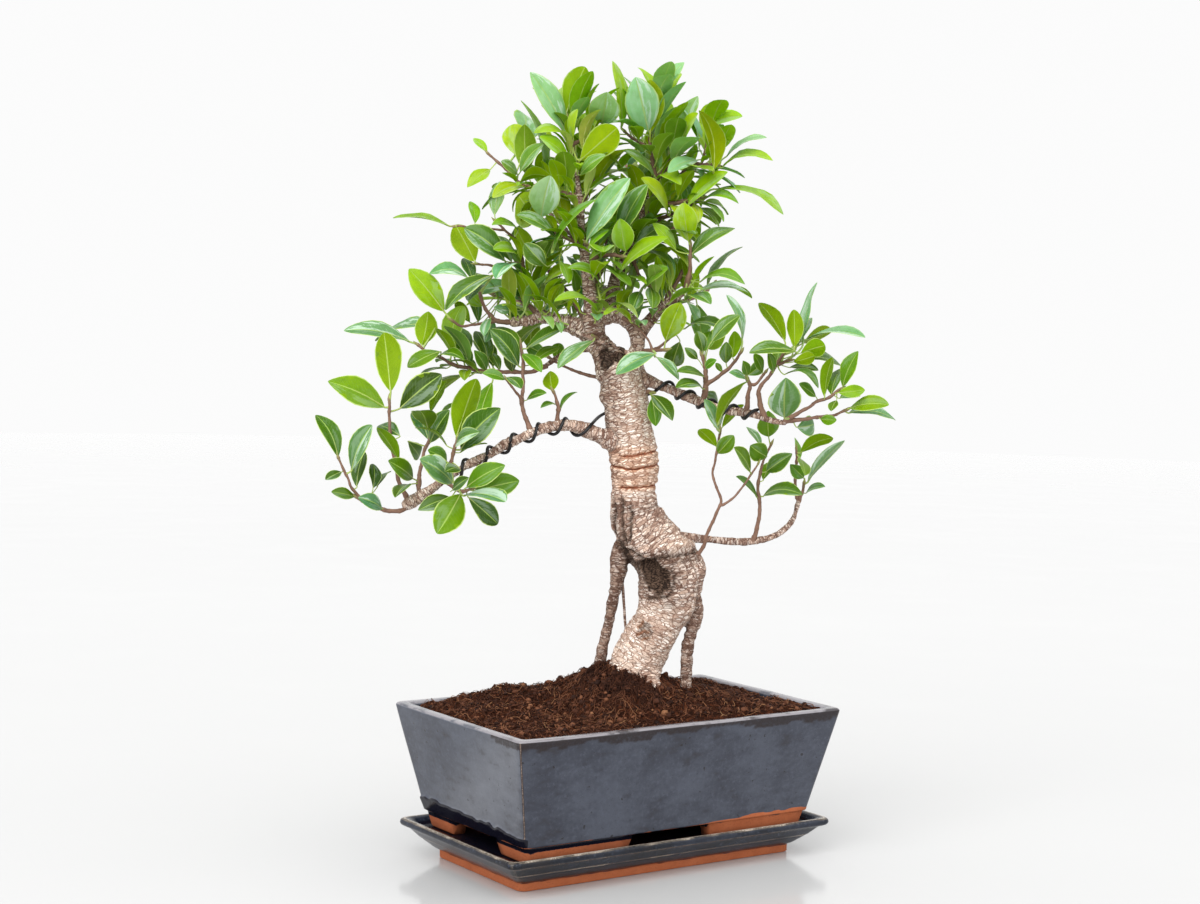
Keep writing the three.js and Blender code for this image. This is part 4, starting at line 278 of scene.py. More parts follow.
      twigs=[[[68, -20, 419, 2.6], [70, -20, 432, 2], [69, -21, 446, 1.6], [66, -22, 458, 1.2]],
        [[70, -20, 432, 2], [82, -23, 441, 1.5], [95, -26, 454, 1.2], [99, -28, 461, 1]]],
      leaves=[[66, -24, 462, 60, -36, 480, 11, 0.06, "D"], [67, -20, 462, 73, -10, 480, 13, 0.06, "M"],
        [70, -18, 465, 89, -5, 482, 16, 0.06, "Y"], [73, -16, 471, 97, -2, 495, 14, 0.06, "D"],
        [69, -22, 439, 43, -40, 444, 7, 0.1, "D"], [62, -24, 455, 50, -40, 465, 8, 0.1, "D"],
        [69, -23, 447, 78, -35, 455, 7, 0.12, "M"], [67, -26, 429, 42, -44, 429, 8, 0.2, "D"],
        [69, -24, 425, 82, -12, 411, 13, 0.06, "D"], [101, -28, 473, 86, -36, 513, 9, 0.1, "P"],
        [93, -25, 457, 94, -13, 481, 11, 0.1, "Y"], [87, -27, 452, 86, -41, 471, 12, 0.04, "D"],
        [84, -23, 444, 78, -33, 452, 5, 0.1, "M"]]),
    dict(name="right_second",
      twigs=[[[106, -33, 410, 2.4], [107, -35, 425, 1.8], [108, -37, 433, 1.5], [106, -38, 438, 1.2]],
        [[108, -37, 433, 1.5], [115, -36, 436, 1.2], [121, -34, 444, 1]]],
      leaves=[[104, -40, 439, 88, -50, 444, 7, 0.1, "P"], [105, -40, 442, 100, -32, 455, 9, 0.05, "M"],
        [106, -36, 442, 120, -22, 453, 12, 0.08, "D"], [119, -35, 445, 110, -45, 461, 9, 0.06, "M"]]),
    dict(name="right_third",
      twigs=[[[122, -38, 405, 2.6], [116, -38, 424, 2], [117, -38, 431, 1.7], [124, -38, 440, 1.4],
         [130, -38, 451, 1.2], [137, -38, 462, 1]],
        [[130, -38, 451, 1.2], [138, -42, 455, 1], [142, -44, 456, 0.9]]],
      leaves=[[138, -38, 473, 114, -48, 507, 12, 0.08, "Y"], [146, -44, 468, 144, -56, 501, 14, 0.06, "Y"],
        [154, -34, 470, 167, -24, 526, 6, 0.06, "P"], [148, -36, 466, 162, -30, 495, 12, 0.06, "P"],
        [155, -32, 472, 183, -18, 482, 12, 0.06, "Y"], [157, -28, 475, 207, -38, 478, 5, 0.12, "P"],
        [147, -48, 464, 105, -64, 463, 11, 0.1, "D"], [152, -42, 463, 171, -61, 470, 16, 0.04, "Y"],
        [145, -48, 455, 162, -62, 461, 11, 0.06, "Y"], [143, -40, 450, 168, -58, 448, 7, 0.1, "D"],
        [152, -34, 457, 191, -22, 452, 8, 0.12, "D"], [128, -44, 446, 122, -56, 463, 9, 0.05, "M"],
        [131, -34, 449, 134, -20, 467, 11, 0.05, "D"], [137, -42, 444, 166, -54, 433, 5, 0.28, "D"]]),
    dict(name="right_end",
      twigs=[[[139, -42, 402, 2.2], [153, -44, 411, 1.6], [165, -46, 419, 1.3], [178, -48, 425, 1.1],
         [187, -48, 431, 0.9]],
        [[139, -42, 402, 2.2], [162, -40, 406, 1.4], [180, -40, 408, 1.2], [193, -42, 414, 1]]],
      leaves=[[189, -48, 434, 201, -62, 466, 12, 0.08, "M"], [173, -46, 425, 179, -36, 460, 11, 0.08, "Y"],
        [180, -46, 427, 191, -30, 449, 11, 0.08, "D"], [185, -52, 429, 208, -64, 432, 11, 0.12, "B"],
        [187, -46, 424, 207, -32, 426, 7, 0.1, "P"], [196, -44, 415, 228, -56, 420, 12, 0.1, "B"],
        [196, -40, 411, 240, -28, 406, 9, 0.1, "P"], [184, -48, 422, 178, -62, 413, 7, 0.05, "M"],
        [151, -38, 397, 169, -12, 399, 18, 0.04, "P"], [171, -42, 405, 184, -54, 405, 9, 0.1, "M"],
        [166, -46, 425, 149, -60, 436, 9, 0.05, "M"], [138, -54, 406, 135, -90, 442, 29, 0.05, "P"]]),
    dict(name="low_right_end",
      twigs=[[[161, 30, 325, 2], [158, 30, 336, 1.5], [157, 28, 347, 1.3], [157, 26, 362, 1.1],
         [157, 24, 373, 0.9]],
        [[161, 30, 325, 2], [164, 28, 335, 1.2], [165, 26, 342, 1]]],
      leaves=[[160, 22, 371, 188, 6, 386, 13, 0.1, "Y"], [168, 26, 344, 203, 38, 382, 6, 0.06, "P"],
        [167, 26, 334, 183, 10, 341, 5, 0.15, "P"], [164, 22, 348, 150, 4, 361, 13, 0.05, "M"],
        [158, 26, 362, 157, 40, 384, 7, 0.05, "B"], [160, 20, 366, 162, 2, 353, 11, 0.05, "B"]]),
    dict(name="low_right_mid",
      twigs=[[[119, 20, 289, 2.4], [122, 18, 302, 1.9], [124, 14, 320, 1.6], [122, 10, 337, 1.4],
         [123, 6, 355, 1.2], [127, 4, 368, 1], [131, 2, 378, 0.9]]],
      leaves=[[126, 10, 331, 161, -8, 334, 11, 0.2, "D"], [121, 10, 330, 101, -4, 350, 6, 0.08, "M"],
        [128, 4, 354, 150, -12, 372, 15, 0.1, "D"], [128, 0, 368, 111, -25, 379, 18, 0.05, "M"],
        [129, 0, 386, 126, -25, 410, 20, 0.04, "B"], [123, 8, 377, 110, 20, 394, 7, 0.06, "P"],
        [126, 10, 346, 135, 26, 362, 9, 0.08, "M"]]),
    dict(name="low_right_thin",
      twigs=[[[59, -2, 270, 2.2], [70, -4, 281, 1.8], [75, -8, 294, 1.5], [80, -12, 309, 1.4],
         [85, -16, 323, 1.3], [86, -17, 331, 1.2], [80, -18, 345, 1.1], [78, -18, 355, 1],
         [81, -20, 367, 1], [82, -22, 380, 0.9], [83, -24, 391, 0.8]],
        [[85, -16, 323, 1.3], [98, -15, 332, 1], [109, -14, 346, 0.9], [118, -12, 361, 0.8]]],
      leaves=[[80, -28, 398, 103, -38, 438, 11, 0.08, "Y"], [81, -26, 394, 67, -14, 420, 11, 0.08, "P"],
        [86, -24, 394, 105, -38, 415, 9, 0.06, "Y"], [84, -22, 392, 89, -6, 411, 7, 0.05, "P"],
        [81, -22, 377, 64, -36, 393, 11, 0.08, "Y"], [82, -20, 371, 95, -35, 388, 14, 0.08, "M"],
        [112, -14, 355, 95, -26, 378, 11, 0.08, "M"]]),
    dict(name="inner_top",
      twigs=[[[-46, -11, 580, 2.2], [-42, 4, 598, 1.8], [-36, 14, 616, 1.5], [-31, 20, 634, 1.1]]],
      leaves=[[-46, 10, 630, -18, 2, 661, 19, 0.1, "Y"], [-44, 24, 649, -42, 30, 676, 14, 0.05, "Y"],
        [-47, 4, 606, -25, 14, 637, 11, 0.1, "P"], [-29, 22, 615, -9, 32, 644, 11, 0.1, "D"],
        [-83, 14, 613, -79, 20, 641, 13, 0.08, "Y"], [-79, 16, 631, -89, 24, 667, 11, 0.08, "Y"],
        [-63, 10, 604, -70, 18, 634, 11, 0.08, "M"]]),
    dict(name="inner_top_right",
      twigs=[[[9, 20, 580, 2.2], [24, 26, 598, 1.8], [38, 30, 616, 1.5], [50, 30, 630, 1.1]]],
      leaves=[[51, 16, 644, 54, 26, 692, 21, 0.1, "B"], [72, 8, 624, 57, -2, 673, 14, 0.12, "Y"],
        [53, 26, 619, 58, 32, 650, 9, 0.08, "B"], [72, 24, 620, 81, 34, 645, 11, 0.06, "Y"],
        [52, 12, 624, 26, 24, 628, 7, 0.12, "P"], [32, 4, 614, 46, -6, 619, 8, 0.1, "M"],
        [7, 30, 618, 20, 40, 638, 11, 0.08, "D"], [61, 34, 665, 71, 42, 688, 11, 0.05, "Y"]]),
    dict(name="inner_right_top",
      twigs=[[[6, 19, 572, 2], [28, 22, 582, 1.7], [50, 18, 592, 1.4], [62, 14, 598, 1.1]]],
      leaves=[[55, 14, 594, 85, 4, 626, 12, 0.06, "B"], [53, 20, 588, 47, 28, 615, 13, 0.08, "D"],
        [37, 28, 594, 50, 40, 613, 11, 0.08, "M"]]),
    dict(name="inner_left",
      twigs=[[[-38, 0, 482, 2.4], [-48, 10, 500, 2], [-62, 16, 518, 1.7], [-76, 18, 534, 1.4],
         [-88, 18, 550, 1.1]]],
      leaves=[[-74, 6, 534, -94, -2, 555, 15, 0.12, "Y"], [-91, 22, 539, -106, 30, 571, 15, 0.08, "Y"],
        [-64, 14, 545, -78, 22, 580, 10, 0.08, "B"], [-62, 18, 533, -71, 26, 550, 9, 0.06, "P"],
        [-77, 0, 519, -52, -10, 535, 9, 0.14, "B"], [-70, 12, 498, -73, 18, 516, 11, 0.06, "D"],
        [-66, 8, 501, -60, 2, 520, 8, 0.08, "B"], [-97, 10, 535, -106, 18, 550, 10, 0.08, "M"]]),
    dict(name="inner_left_low",
      twigs=[[[-80, 4, 487, 2.2], [-92, 12, 500, 1.9], [-106, 18, 506, 1.6], [-122, 20, 508, 1.2]]],
      leaves=[[-100, 6, 526, -129, -4, 528, 7, 0.2, "P"], [-103, -4, 517, -140, -16, 509, 12, 0.12, "P"],
        [-133, 8, 498, -145, -8, 510, 14, 0.08, "B"], [-139, 24, 524, -170, 34, 494, 9, 0.08, "D"],
        [-94, 16, 504, -127, 24, 512, 12, 0.08, "D"], [-90, 14, 486, -111, 20, 494, 11, 0.08, "D"],
        [-106, 2, 494, -122, -8, 497, 9, 0.08, "P"], [-124, 6, 486, -130, -4, 465, 12, 0.08, "P"],
        [-145, 22, 483, -160, 30, 501, 10, 0.06, "Y"], [-137, 16, 483, -148, 26, 513, 10, 0.06, "D"]]),
    dict(name="inner_right",
      twigs=[[[24, 0, 496, 2.4], [36, 8, 512, 2], [46, 14, 530, 1.7], [54, 16, 546, 1.3]]],
      leaves=[[35, 22, 511, 34, 30, 548, 16, 0.06, "Y"], [26, 26, 502, 24, 32, 533, 14, 0.06, "D"],
        [55, 18, 508, 62, 26, 534, 12, 0.06, "Y"], [50, 12, 515, 45, 20, 546, 11, 0.08, "Y"],
        [56, 4, 530, 33, -6, 555, 7, 0.15, "B"], [9, 20, 536, 38, 28, 555, 8, 0.06, "Y"]]),
    dict(name="inner_centre_right",
      twigs=[[[4, 19, 567, 2.2], [18, 16, 564, 1.9], [32, 14, 568, 1.6], [44, 12, 577, 1.3]]],
      leaves=[[8, 14, 556, 27, 6, 573, 14, 0.08, "P"], [44, 8, 547, 21, 2, 580, 9, 0.14, "Y"],
        [5, 4, 514, 34, -4, 536, 9, 0.08, "Y"], [-13, 26, 541, -23, 34, 578, 12, 0.06, "D"],
        [2, 18, 520, 6, 24, 544, 7, 0.05, "D"]]),
    dict(name="inner_middle",
      twigs=[[[-36, -7, 512, 2.2], [-28, 4, 528, 1.8], [-24, 12, 546, 1.5], [-22, 18, 562, 1.1]]],
      leaves=[[-23, -14, 506, 5, -22, 506, 5, 0.2, "B"], [-17, -10, 531, 1, -20, 518, 6, 0.12, "B"],
        [-29, -12, 495, -67, -20, 502, 5, 0.2, "B"], [-48, 10, 506, -52, 16, 533, 8, 0.06, "M"],
        [-43, 20, 555, -32, 28, 583, 11, 0.06, "D"]]),
    dict(name="back_low", around=True,
      twigs=[[[-16, 12, 511, 2.4], [-25, 45, 519, 1.9], [-37, 75, 528, 1.5], [-49, 104, 540, 1.1]]],
      leaves=[]),
    dict(name="back_middle", around=True,
      twigs=[[[1, 18, 560, 2.4], [6, 52, 566, 1.9], [14, 84, 573, 1.5], [22, 112, 582, 1.1]]],
      leaves=[]),
    dict(name="back_left", around=True,
      twigs=[[[-42, -10, 554, 2.2], [-56, 22, 567, 1.8], [-70, 54, 580, 1.4], [-82, 84, 592, 1.1]]],
      leaves=[]),
    dict(name="back_high", around=True,
      twigs=[[[12, 20, 590, 2.2], [8, 54, 608, 1.8], [0, 84, 624, 1.4], [-8, 108, 640, 1]]],
      leaves=[]),
    dict(name="back_far_left", around=True,
      twigs=[[[-66, 4, 486, 2.4], [-80, 40, 492, 1.9], [-98, 74, 500, 1.5], [-114, 100, 508, 1.1]]],
      leaves=[]),
    dict(name="back_right", around=True,
      twigs=[[[30, -2, 502, 2.4], [54, 28, 508, 1.8], [70, 56, 516, 1.4], [80, 82, 526, 1.1]]],
      leaves=[]),
]

# ---- shader sums ------------------------------------------------------------------------------------


class Link:
    """A socket that takes part in sums: each operator adds one Math node."""

    def __init__(self, look, socket):
        self.look = look
        self.socket = socket

    def _sum(self, operation, first, second):
        return self.look.add("ShaderNodeMath", {"operation": operation}, {0: first, 1: second})

    def __add__(self, other):
        return self._sum("ADD", self, other)

    def __sub__(self, other):
        return self._sum("SUBTRACT", self, other)

    def __rsub__(self, other):
        return self._sum("SUBTRACT", other, self)

    def __mul__(self, other):
        return self._sum("MULTIPLY", self, other)

    __radd__ = __add__
    __rmul__ = __mul__


class Look:
    """A material of its own nodes."""

    def __init__(self, name):
        self.material = bpy.data.materials.new(name)
        self.material.use_nodes = True
        self.tree = self.material.node_tree
        self.surface = self.tree.nodes["Principled BSDF"]

    def feed(self, socket, value):
        """Links a socket, or sets its value."""
        if isinstance(value, Link):
            self.tree.links.new(value.socket, socket)
        elif hasattr(value, "__len__") and len(value) == 3 and socket.type == "RGBA":
            socket.default_value = (*value, 1)
        else:
            socket.default_value = value

    def add(self, kind, settings, inputs, out=0):
        """A node of that kind: its settings, then the values or links of its sockets, and one output."""
        node = self.tree.nodes.new(kind)
        for key, value in settings.items():
            if key == "stops":
                for stop, (place, colour) in zip(self._stops(node, len(value)), value):
                    stop.position, stop.color = place, (*colour, 1)
            else:
                setattr(node, key, value)
        for key, value in inputs.items():
            self.feed(node.inputs[key], value)
        return Link(self, node.outputs[out])

    @staticmethod
    def _stops(node, count):
        """A colour ramp's stops, made up to that count."""
        while len(node.color_ramp.elements) < count:
            node.color_ramp.elements.new(0.5)
        return node.color_ramp.elements

    def place(self):
        """The point on the piece, in metres."""
        return self.add("ShaderNodeTexCoord", {}, {}, "Object")

    def parts(self, value, kind="ShaderNodeSeparateColor"):
        """The three numbers of a colour, or of a vector with ShaderNodeSeparateXYZ."""
        node = self.add(kind, {}, {0: value}).socket.node
        return [Link(self, output) for output in node.outputs[:3]]

    def value(self, attribute, out="Fac"):
        """A value that the mesh carries on its points."""
        return self.add("ShaderNodeAttribute", {"attribute_name": attribute}, {}, out)

    def stretched(self, vector, factors):
        """A vector times a factor each way."""
        return self.add("ShaderNodeVectorMath", {"operation": "MULTIPLY"}, {0: vector, 1: factors})

    def noise(self, vector, scale, detail=3.0, roughness=0.55):
        """Soft noise around 0.5."""
        sockets = {"Vector": vector, "Scale": scale, "Detail": detail, "Roughness": roughness}
        return self.add("ShaderNodeTexNoise", {}, sockets)

    def cell_gap(self, vector, scale, loose=1.0):
        """The distance to the nearest edge between cells."""
        sockets = {"Vector": vector, "Scale": scale, "Randomness": loose}
        return self.add("ShaderNodeTexVoronoi", {"feature": "DISTANCE_TO_EDGE"}, sockets, "Distance")

    def cell_number(self, vector, scale, loose=1.0):
        """Each cell's own number, in the same cells as `cell_gap` has."""
        sockets = {"Vector": vector, "Scale": scale, "Randomness": loose}
        return self.parts(self.add("ShaderNodeTexVoronoi", {}, sockets, "Color"))[0]

    def step(self, value, low, high):
        """0 below low and 1 above high, smooth between; the other way round where low is above high."""
        settings = {"interpolation_type": "SMOOTHSTEP"}
        return self.add("ShaderNodeMapRange", settings, {0: value, 1: low, 2: high})

    def mix(self, share, first, second):
        """The first colour at 0 and the second at 1."""
        return self.add("ShaderNodeMix", {"data_type": "RGBA"}, {0: share, 6: first, 7: second}, 2)

    def tinted(self, first, second):
        """One colour times another."""
        settings = {"data_type": "RGBA", "blend_type": "MULTIPLY"}
        return self.add("ShaderNodeMix", settings, {0: 1.0, 6: first, 7: second}, 2)

    def ramp(self, value, stops):
        """A colour by value, between stops of a place and a colour."""
        return self.add("ShaderNodeValToRGB", {"stops": stops}, {0: value})

    def bump(self, height, strength, distance):
        """Relief of `distance` mm at full height."""
        sockets = {"Height": height, "Strength": strength, "Distance": distance * MM}
        return self.add("ShaderNodeBump", {}, sockets)

    def finish(self, **sockets):
        """Feeds the surface's sockets, where underscores stand for spaces, and gives the material."""
        for name, value in sockets.items():
            self.feed(self.surface.inputs[name.replace("_", " ")], value)
        return self.material


# ---- mesh tools -------------------------------------------------------------------------------------


class Shape:
    """Points in mm, faces (three corners end in -1), a finish number a face, and values a point."""

    def __init__(self, points, faces, finish=0, **values):
        self.points = np.asarray(points, float).reshape(-1, 3)
        self.faces = np.asarray(faces, int).reshape(-1, 4)
        self.finish = np.broadcast_to(finish, len(self.faces)).copy()
        self.values = values


def joined(shapes):
    """One shape of several, with their values end to end."""
    starts = np.cumsum([0] + [len(s.points) for s in shapes[:-1]])
    faces = [np.where(s.faces < 0, -1, s.faces + start) for s, start in zip(shapes, starts)]
    values = {key: np.concatenate([s.values[key] for s in shapes]) for key in shapes[0].values}
    points = np.concatenate([s.points for s in shapes])
    return Shape(points, np.concatenate(faces), np.concatenate([s.finish for s in shapes]), **values)


def mesh_of(name, shape):
    """The shape as a mesh in metres. A two-column value is the UV map, three a vector, four a colour."""
    mesh = bpy.data.meshes.new(name)
    used = shape.faces >= 0
    counts = used.sum(1)
    mesh.vertices.add(len(shape.points))
    mesh.vertices.foreach_set("co", (shape.points * MM).astype(np.float32).ravel())
    mesh.loops.add(int(counts.sum()))
    mesh.loops.foreach_set("vertex_index", shape.faces[used].astype(np.int32))
    mesh.polygons.add(len(shape.faces))
    mesh.polygons.foreach_set("loop_start", (np.cumsum(counts) - counts).astype(np.int32))
    mesh.polygons.foreach_set("material_index", shape.finish.astype(np.int32))
    mesh.update(calc_edges=True)
    for key, value in shape.values.items():
        value = np.asarray(value, np.float32)
        if value.ndim == 2 and value.shape[1] == 2:
            mesh.uv_layers.new(name=key).data.foreach_set("uv", value[shape.faces[used]].ravel())
            continue
        kind, field = {1: ("FLOAT", "value"), 3: ("FLOAT_VECTOR", "vector"), 4: ("FLOAT_COLOR", "color")}[
            value.shape[1] if value.ndim == 2 else 1]
        mesh.attributes.new(key, kind, "POINT").data.foreach_set(field, value.ravel())
    return mesh


def linked(name, data):
    """An object of that mesh, light or camera, in the scene."""
    thing = bpy.data.objects.new(name, data)
    bpy.context.scene.collection.objects.link(thing)
    return thing


def put(name, shape, looks, nodes=(), crisp=0):
    """A finished piece in the place of its nodes; edges sharper than `crisp` degrees stay crisp."""
    mesh = mesh_of(name, shape)
    for look in looks:
        mesh.materials.append(look)
    mesh.shade_smooth()
    if crisp:
        mesh.set_sharp_from_angle(angle=math.radians(crisp))
    piece = linked(name, mesh)
    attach(piece, "root")
    if nodes:
        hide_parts(*nodes)


def unit(vectors):
    """The vectors, each made 1 long."""
    vectors = np.asarray(vectors, float)
    return vectors / np.maximum(np.linalg.norm(vectors, axis=-1, keepdims=True), 1e-12)


def smooth_step(value, low, high):
    """0 below low and 1 above high, with 3t^2 - 2t^3 between; the other way round where low is above high."""
    t = np.clip((value - low) / (high - low), 0, 1)
    return t * t * (3 - 2 * t)


def noise(places, size, seed):
    """Smooth noise from -1 to 1: random numbers on a cubic lattice `size` mm wide, 3t^2 - 2t^3 between."""
    at = np.asarray(places, float) / size
    cell = np.floor(at).astype(np.int64)
    part = at - cell
    part = part * part * (3 - 2 * part)
    total = np.zeros(at.shape[:-1])
    for corner in np.ndindex(2, 2, 2):
        key = ((cell + corner) * (374761393, 668265263, 1442695041)).sum(-1) + seed * 2654435761
        key = (key ^ (key >> 13)) * 1274126177 & 0xFFFFFFFF
        number = ((key ^ (key >> 16)) & 0xFFFF) / 0x7FFF - 1
        total += number * np.where(corner, part, 1 - part).prod(-1)
    return total


def distances_along(rows):
    """How far along the path each of its points lies."""
    return np.concatenate([[0], np.cumsum(np.linalg.norm(np.diff(rows, axis=0), axis=1))])


def smooth(rows, steps):
    """Rows with `steps` for each stretch, on a cubic curve through them: each point's slope is half the way
    from its neighbour before to its neighbour after."""
    rows = np.asarray(rows, float)
    padded = np.vstack([2 * rows[0] - rows[1], rows, 2 * rows[-1] - rows[-2]])
    a, b, c, d = (padded[i:len(rows) - 1 + i, None] for i in range(4))
    t = (np.arange(steps) / steps)[None, :, None]
    curve = b + (c - a) * t / 2 + (a - 2.5 * b + 2 * c - d / 2) * t**2
    curve = curve + (1.5 * (b - c) + (d - a) / 2) * t**3
    return np.vstack([curve.reshape(-1, rows.shape[1]), rows[-1:]])


def tube_faces(rings, around, copies=1):
    """Faces of closed tubes: in each, points run ring by ring and the last two are the end poles."""
    ring, k = np.meshgrid(np.arange(rings - 1), np.arange(around), indexing="ij")
    here = ring * around + k
    beside = ring * around + (k + 1) % around
    sides = np.stack([here, beside, beside + around, here + around], -1).reshape(-1, 4)
    k = np.arange(around)
    beside = (k + 1) % around
    last = (rings - 1) * around
    none = np.full(around, -1)
    start = np.stack([none * 0 + rings * around, beside, k, none], -1)
    end = np.stack([none * 0 + rings * around + 1, last + k, last + beside, none], -1)
    one = np.vstack([sides, start, end])
    size = rings * around + 2
    return np.where(one < 0, -1, one + size * np.arange(copies)[:, None, None]).reshape(-1, 4)


def ways_along(centres):
    """The way along a row of centres, at each of them."""
    return unit(np.gradient(centres, axis=-2))


def tubes(centres, radii, sides, reference=None, **ring_values):
    """Round tubes, a row of centres each: centre + radius (cos a, sin a) across the way along, closed by a
    pole at each end. Values a ring go to all its points."""
    centres = np.asarray(centres, float)
    centres = centres[None] if centres.ndim == 2 else centres
    count, rings = centres.shape[:2]
    radii = np.broadcast_to(radii, (count, rings))
    along = ways_along(centres)
    if reference is None:
        chord = np.abs(unit(centres[:, -1] - centres[:, 0]))
        reference = np.eye(3)[np.argmin(chord, axis=1)]
    reference = np.broadcast_to(np.asarray(reference, float), (count, 3))[:, None]
    across = unit(reference - along * (reference * along).sum(-1, keepdims=True))
    over = np.cross(along, across)
    angle = 2 * np.pi * np.arange(sides) / sides
    round_way = across[:, :, None] * np.cos(angle)[:, None] + over[:, :, None] * np.sin(angle)[:, None]
    skin = centres[:, :, None] + radii[:, :, None, None] * round_way
    ends = centres[:, [0, -1]] + along[:, [0, -1]] * radii[:, [0, -1], None] * ((-0.4,), (0.4,))
    points = np.concatenate([skin.reshape(count, -1, 3), ends], 1)
    values = {}
    for key, value in ring_values.items():
        value = np.asarray(value, float)
        value = np.broadcast_to(value, (count, rings, *value.shape[2:]))
        spread = np.repeat(value, sides, axis=1)
        values[key] = np.concatenate([spread, value[:, [0, -1]]], 1).reshape(-1, *value.shape[2:])
    return Shape(points, tube_faces(rings, sides, count), **values)


def in_pot_frame(points):
    """Points of the tree's frame turned about Z into the pot's."""
    c, s = math.cos(TREE_TURN), math.sin(TREE_TURN)
    return points @ np.array([[c, s, 0], [-s, c, 0], [0, 0, 1]])


def rounded(half_x, half_y, corner, steps=(22, 14, 6)):
    """A rectangle with rounded corners, counter-clockwise from its front right: four straight sides and
    four quarter arcs. Gives its points and how near each is to the middle of an arc, from 0 to 1."""
    along_x, along_y, arc = steps
    centres = np.array([(1, -1), (1, 1), (-1, 1), (-1, -1)]) * (half_x - corner, half_y - corner)
    points, near = [], []
    for i, centre in enumerate(centres):
        angle = np.pi / 2 * (i - 1 + np.linspace(0, 1, arc + 1))
        turn = centre + corner * np.stack([np.cos(angle), np.sin(angle)], -1)
        follow = centres[(i + 1) % 4] + corner * np.array([np.cos(angle[-1]), np.sin(angle[-1])])
        count = along_y if i % 2 == 0 else along_x
        share = np.arange(1, count)[:, None] / count
        points += [turn, turn[-1] * (1 - share) + follow * share]
        near += [np.maximum(1 - abs(np.linspace(-1, 1, arc + 1)) * arc / 3.2, 0), 0 * share[:, 0]]
    return np.vstack(points), np.concatenate(near)


def loft(rings, **values):
    """A closed surface through rings of equal size, shut by a pole in the middle of the first and last."""
    rings = np.asarray(rings, float)
    poles = rings[[0, -1]].mean(1)
    points = np.vstack([rings.reshape(-1, 3), poles])
    full = {}
    for key, value in values.items():
        ends = value[[0, -1]].mean(1)
        full[key] = np.concatenate([value.reshape(-1, *value.shape[2:]), ends])
    return Shape(points, tube_faces(len(rings), rings.shape[1]), **full)

# ---- camera, floor and light ------------------------------------------------------------------------


def camera_at(place, azimuth, pitch, roll, lens):
    """A camera at a place in mm: it faces `azimuth` round from +Y, looks down by `pitch`, leans by `roll`."""
    a, e, r = (math.radians(value) for value in (azimuth, pitch, roll))
    back = Vector((math.sin(a) * math.cos(e), -math.cos(a) * math.cos(e), math.sin(e)))
    level = Vector((math.cos(a), math.sin(a), 0))
    upright = back.cross(level)
    right = level * math.cos(r) + upright * math.sin(r)
    up = upright * math.cos(r) - level * math.sin(r)
    data = bpy.data.cameras.new("camera")
    data.lens = lens
    data.sensor_width = 36
    data.clip_start, data.clip_end = 0.1, 50
    camera = linked("camera", data)
    turn = Matrix((right, up, back)).transposed().to_4x4()
    camera.matrix_world = Matrix.Translation(Vector(place) * MM) @ turn
    bpy.context.scene.camera = camera


def soft_light(name, way, spread, power):
    """Even light that falls along `way`, from a patch of sky `spread` degrees wide."""
    data = bpy.data.lights.new(name, "SUN")
    data.angle, data.energy = math.radians(spread), power
    linked(name, data).rotation_euler = Vector(way).to_track_quat("-Z", "Y").to_euler()


def white_table():
    """A level disc, 14 m across: rings whose radius grows as the square of their number."""
    rings, around = 10, 48
    r = 7000 * (np.arange(1, rings + 1)[:, None] / rings) ** 2
    angle = 2 * np.pi * np.arange(around) / around
    shape = loft(np.stack([r * np.cos(angle), r * np.sin(angle), np.zeros((rings, around))], -1))
    last_pole = rings * around + 1
    shape = Shape(shape.points, shape.faces[shape.faces[:, 0] != last_pole])
    look = Look("white_table")
    sheen = look.noise(look.place(), 3, 2)
    look.finish(Base_Color=look.mix(sheen, (0.56, 0.56, 0.56), (0.575, 0.575, 0.573)),
                Roughness=look.step(sheen, 0.0, 1.0) * 0.06 + 0.10, Specular_IOR_Level=0.5)
    top = linked("table_top", mesh_of("table_top", shape))
    top.data.materials.append(look.material)
    return top


def studio():
    """The camera at the photograph's angle, the table, two soft lights and an even pale room."""
    camera_at(**CAMERA)
    white_table()
    soft_light("window", (0.90, 0.42, -0.75), 50, 2.2)
    soft_light("room", (-0.10, 0.75, -0.80), 90, 1.2)
    world = bpy.data.worlds.new("room")
    world.use_nodes = True
    world.node_tree.nodes["Background"].inputs["Color"].default_value = (0.97, 0.97, 0.97, 1)
    bpy.context.scene.world = world
    bpy.context.scene.view_settings.view_transform = "Standard"


# ---- glazed clay ------------------------------------------------------------------------------------


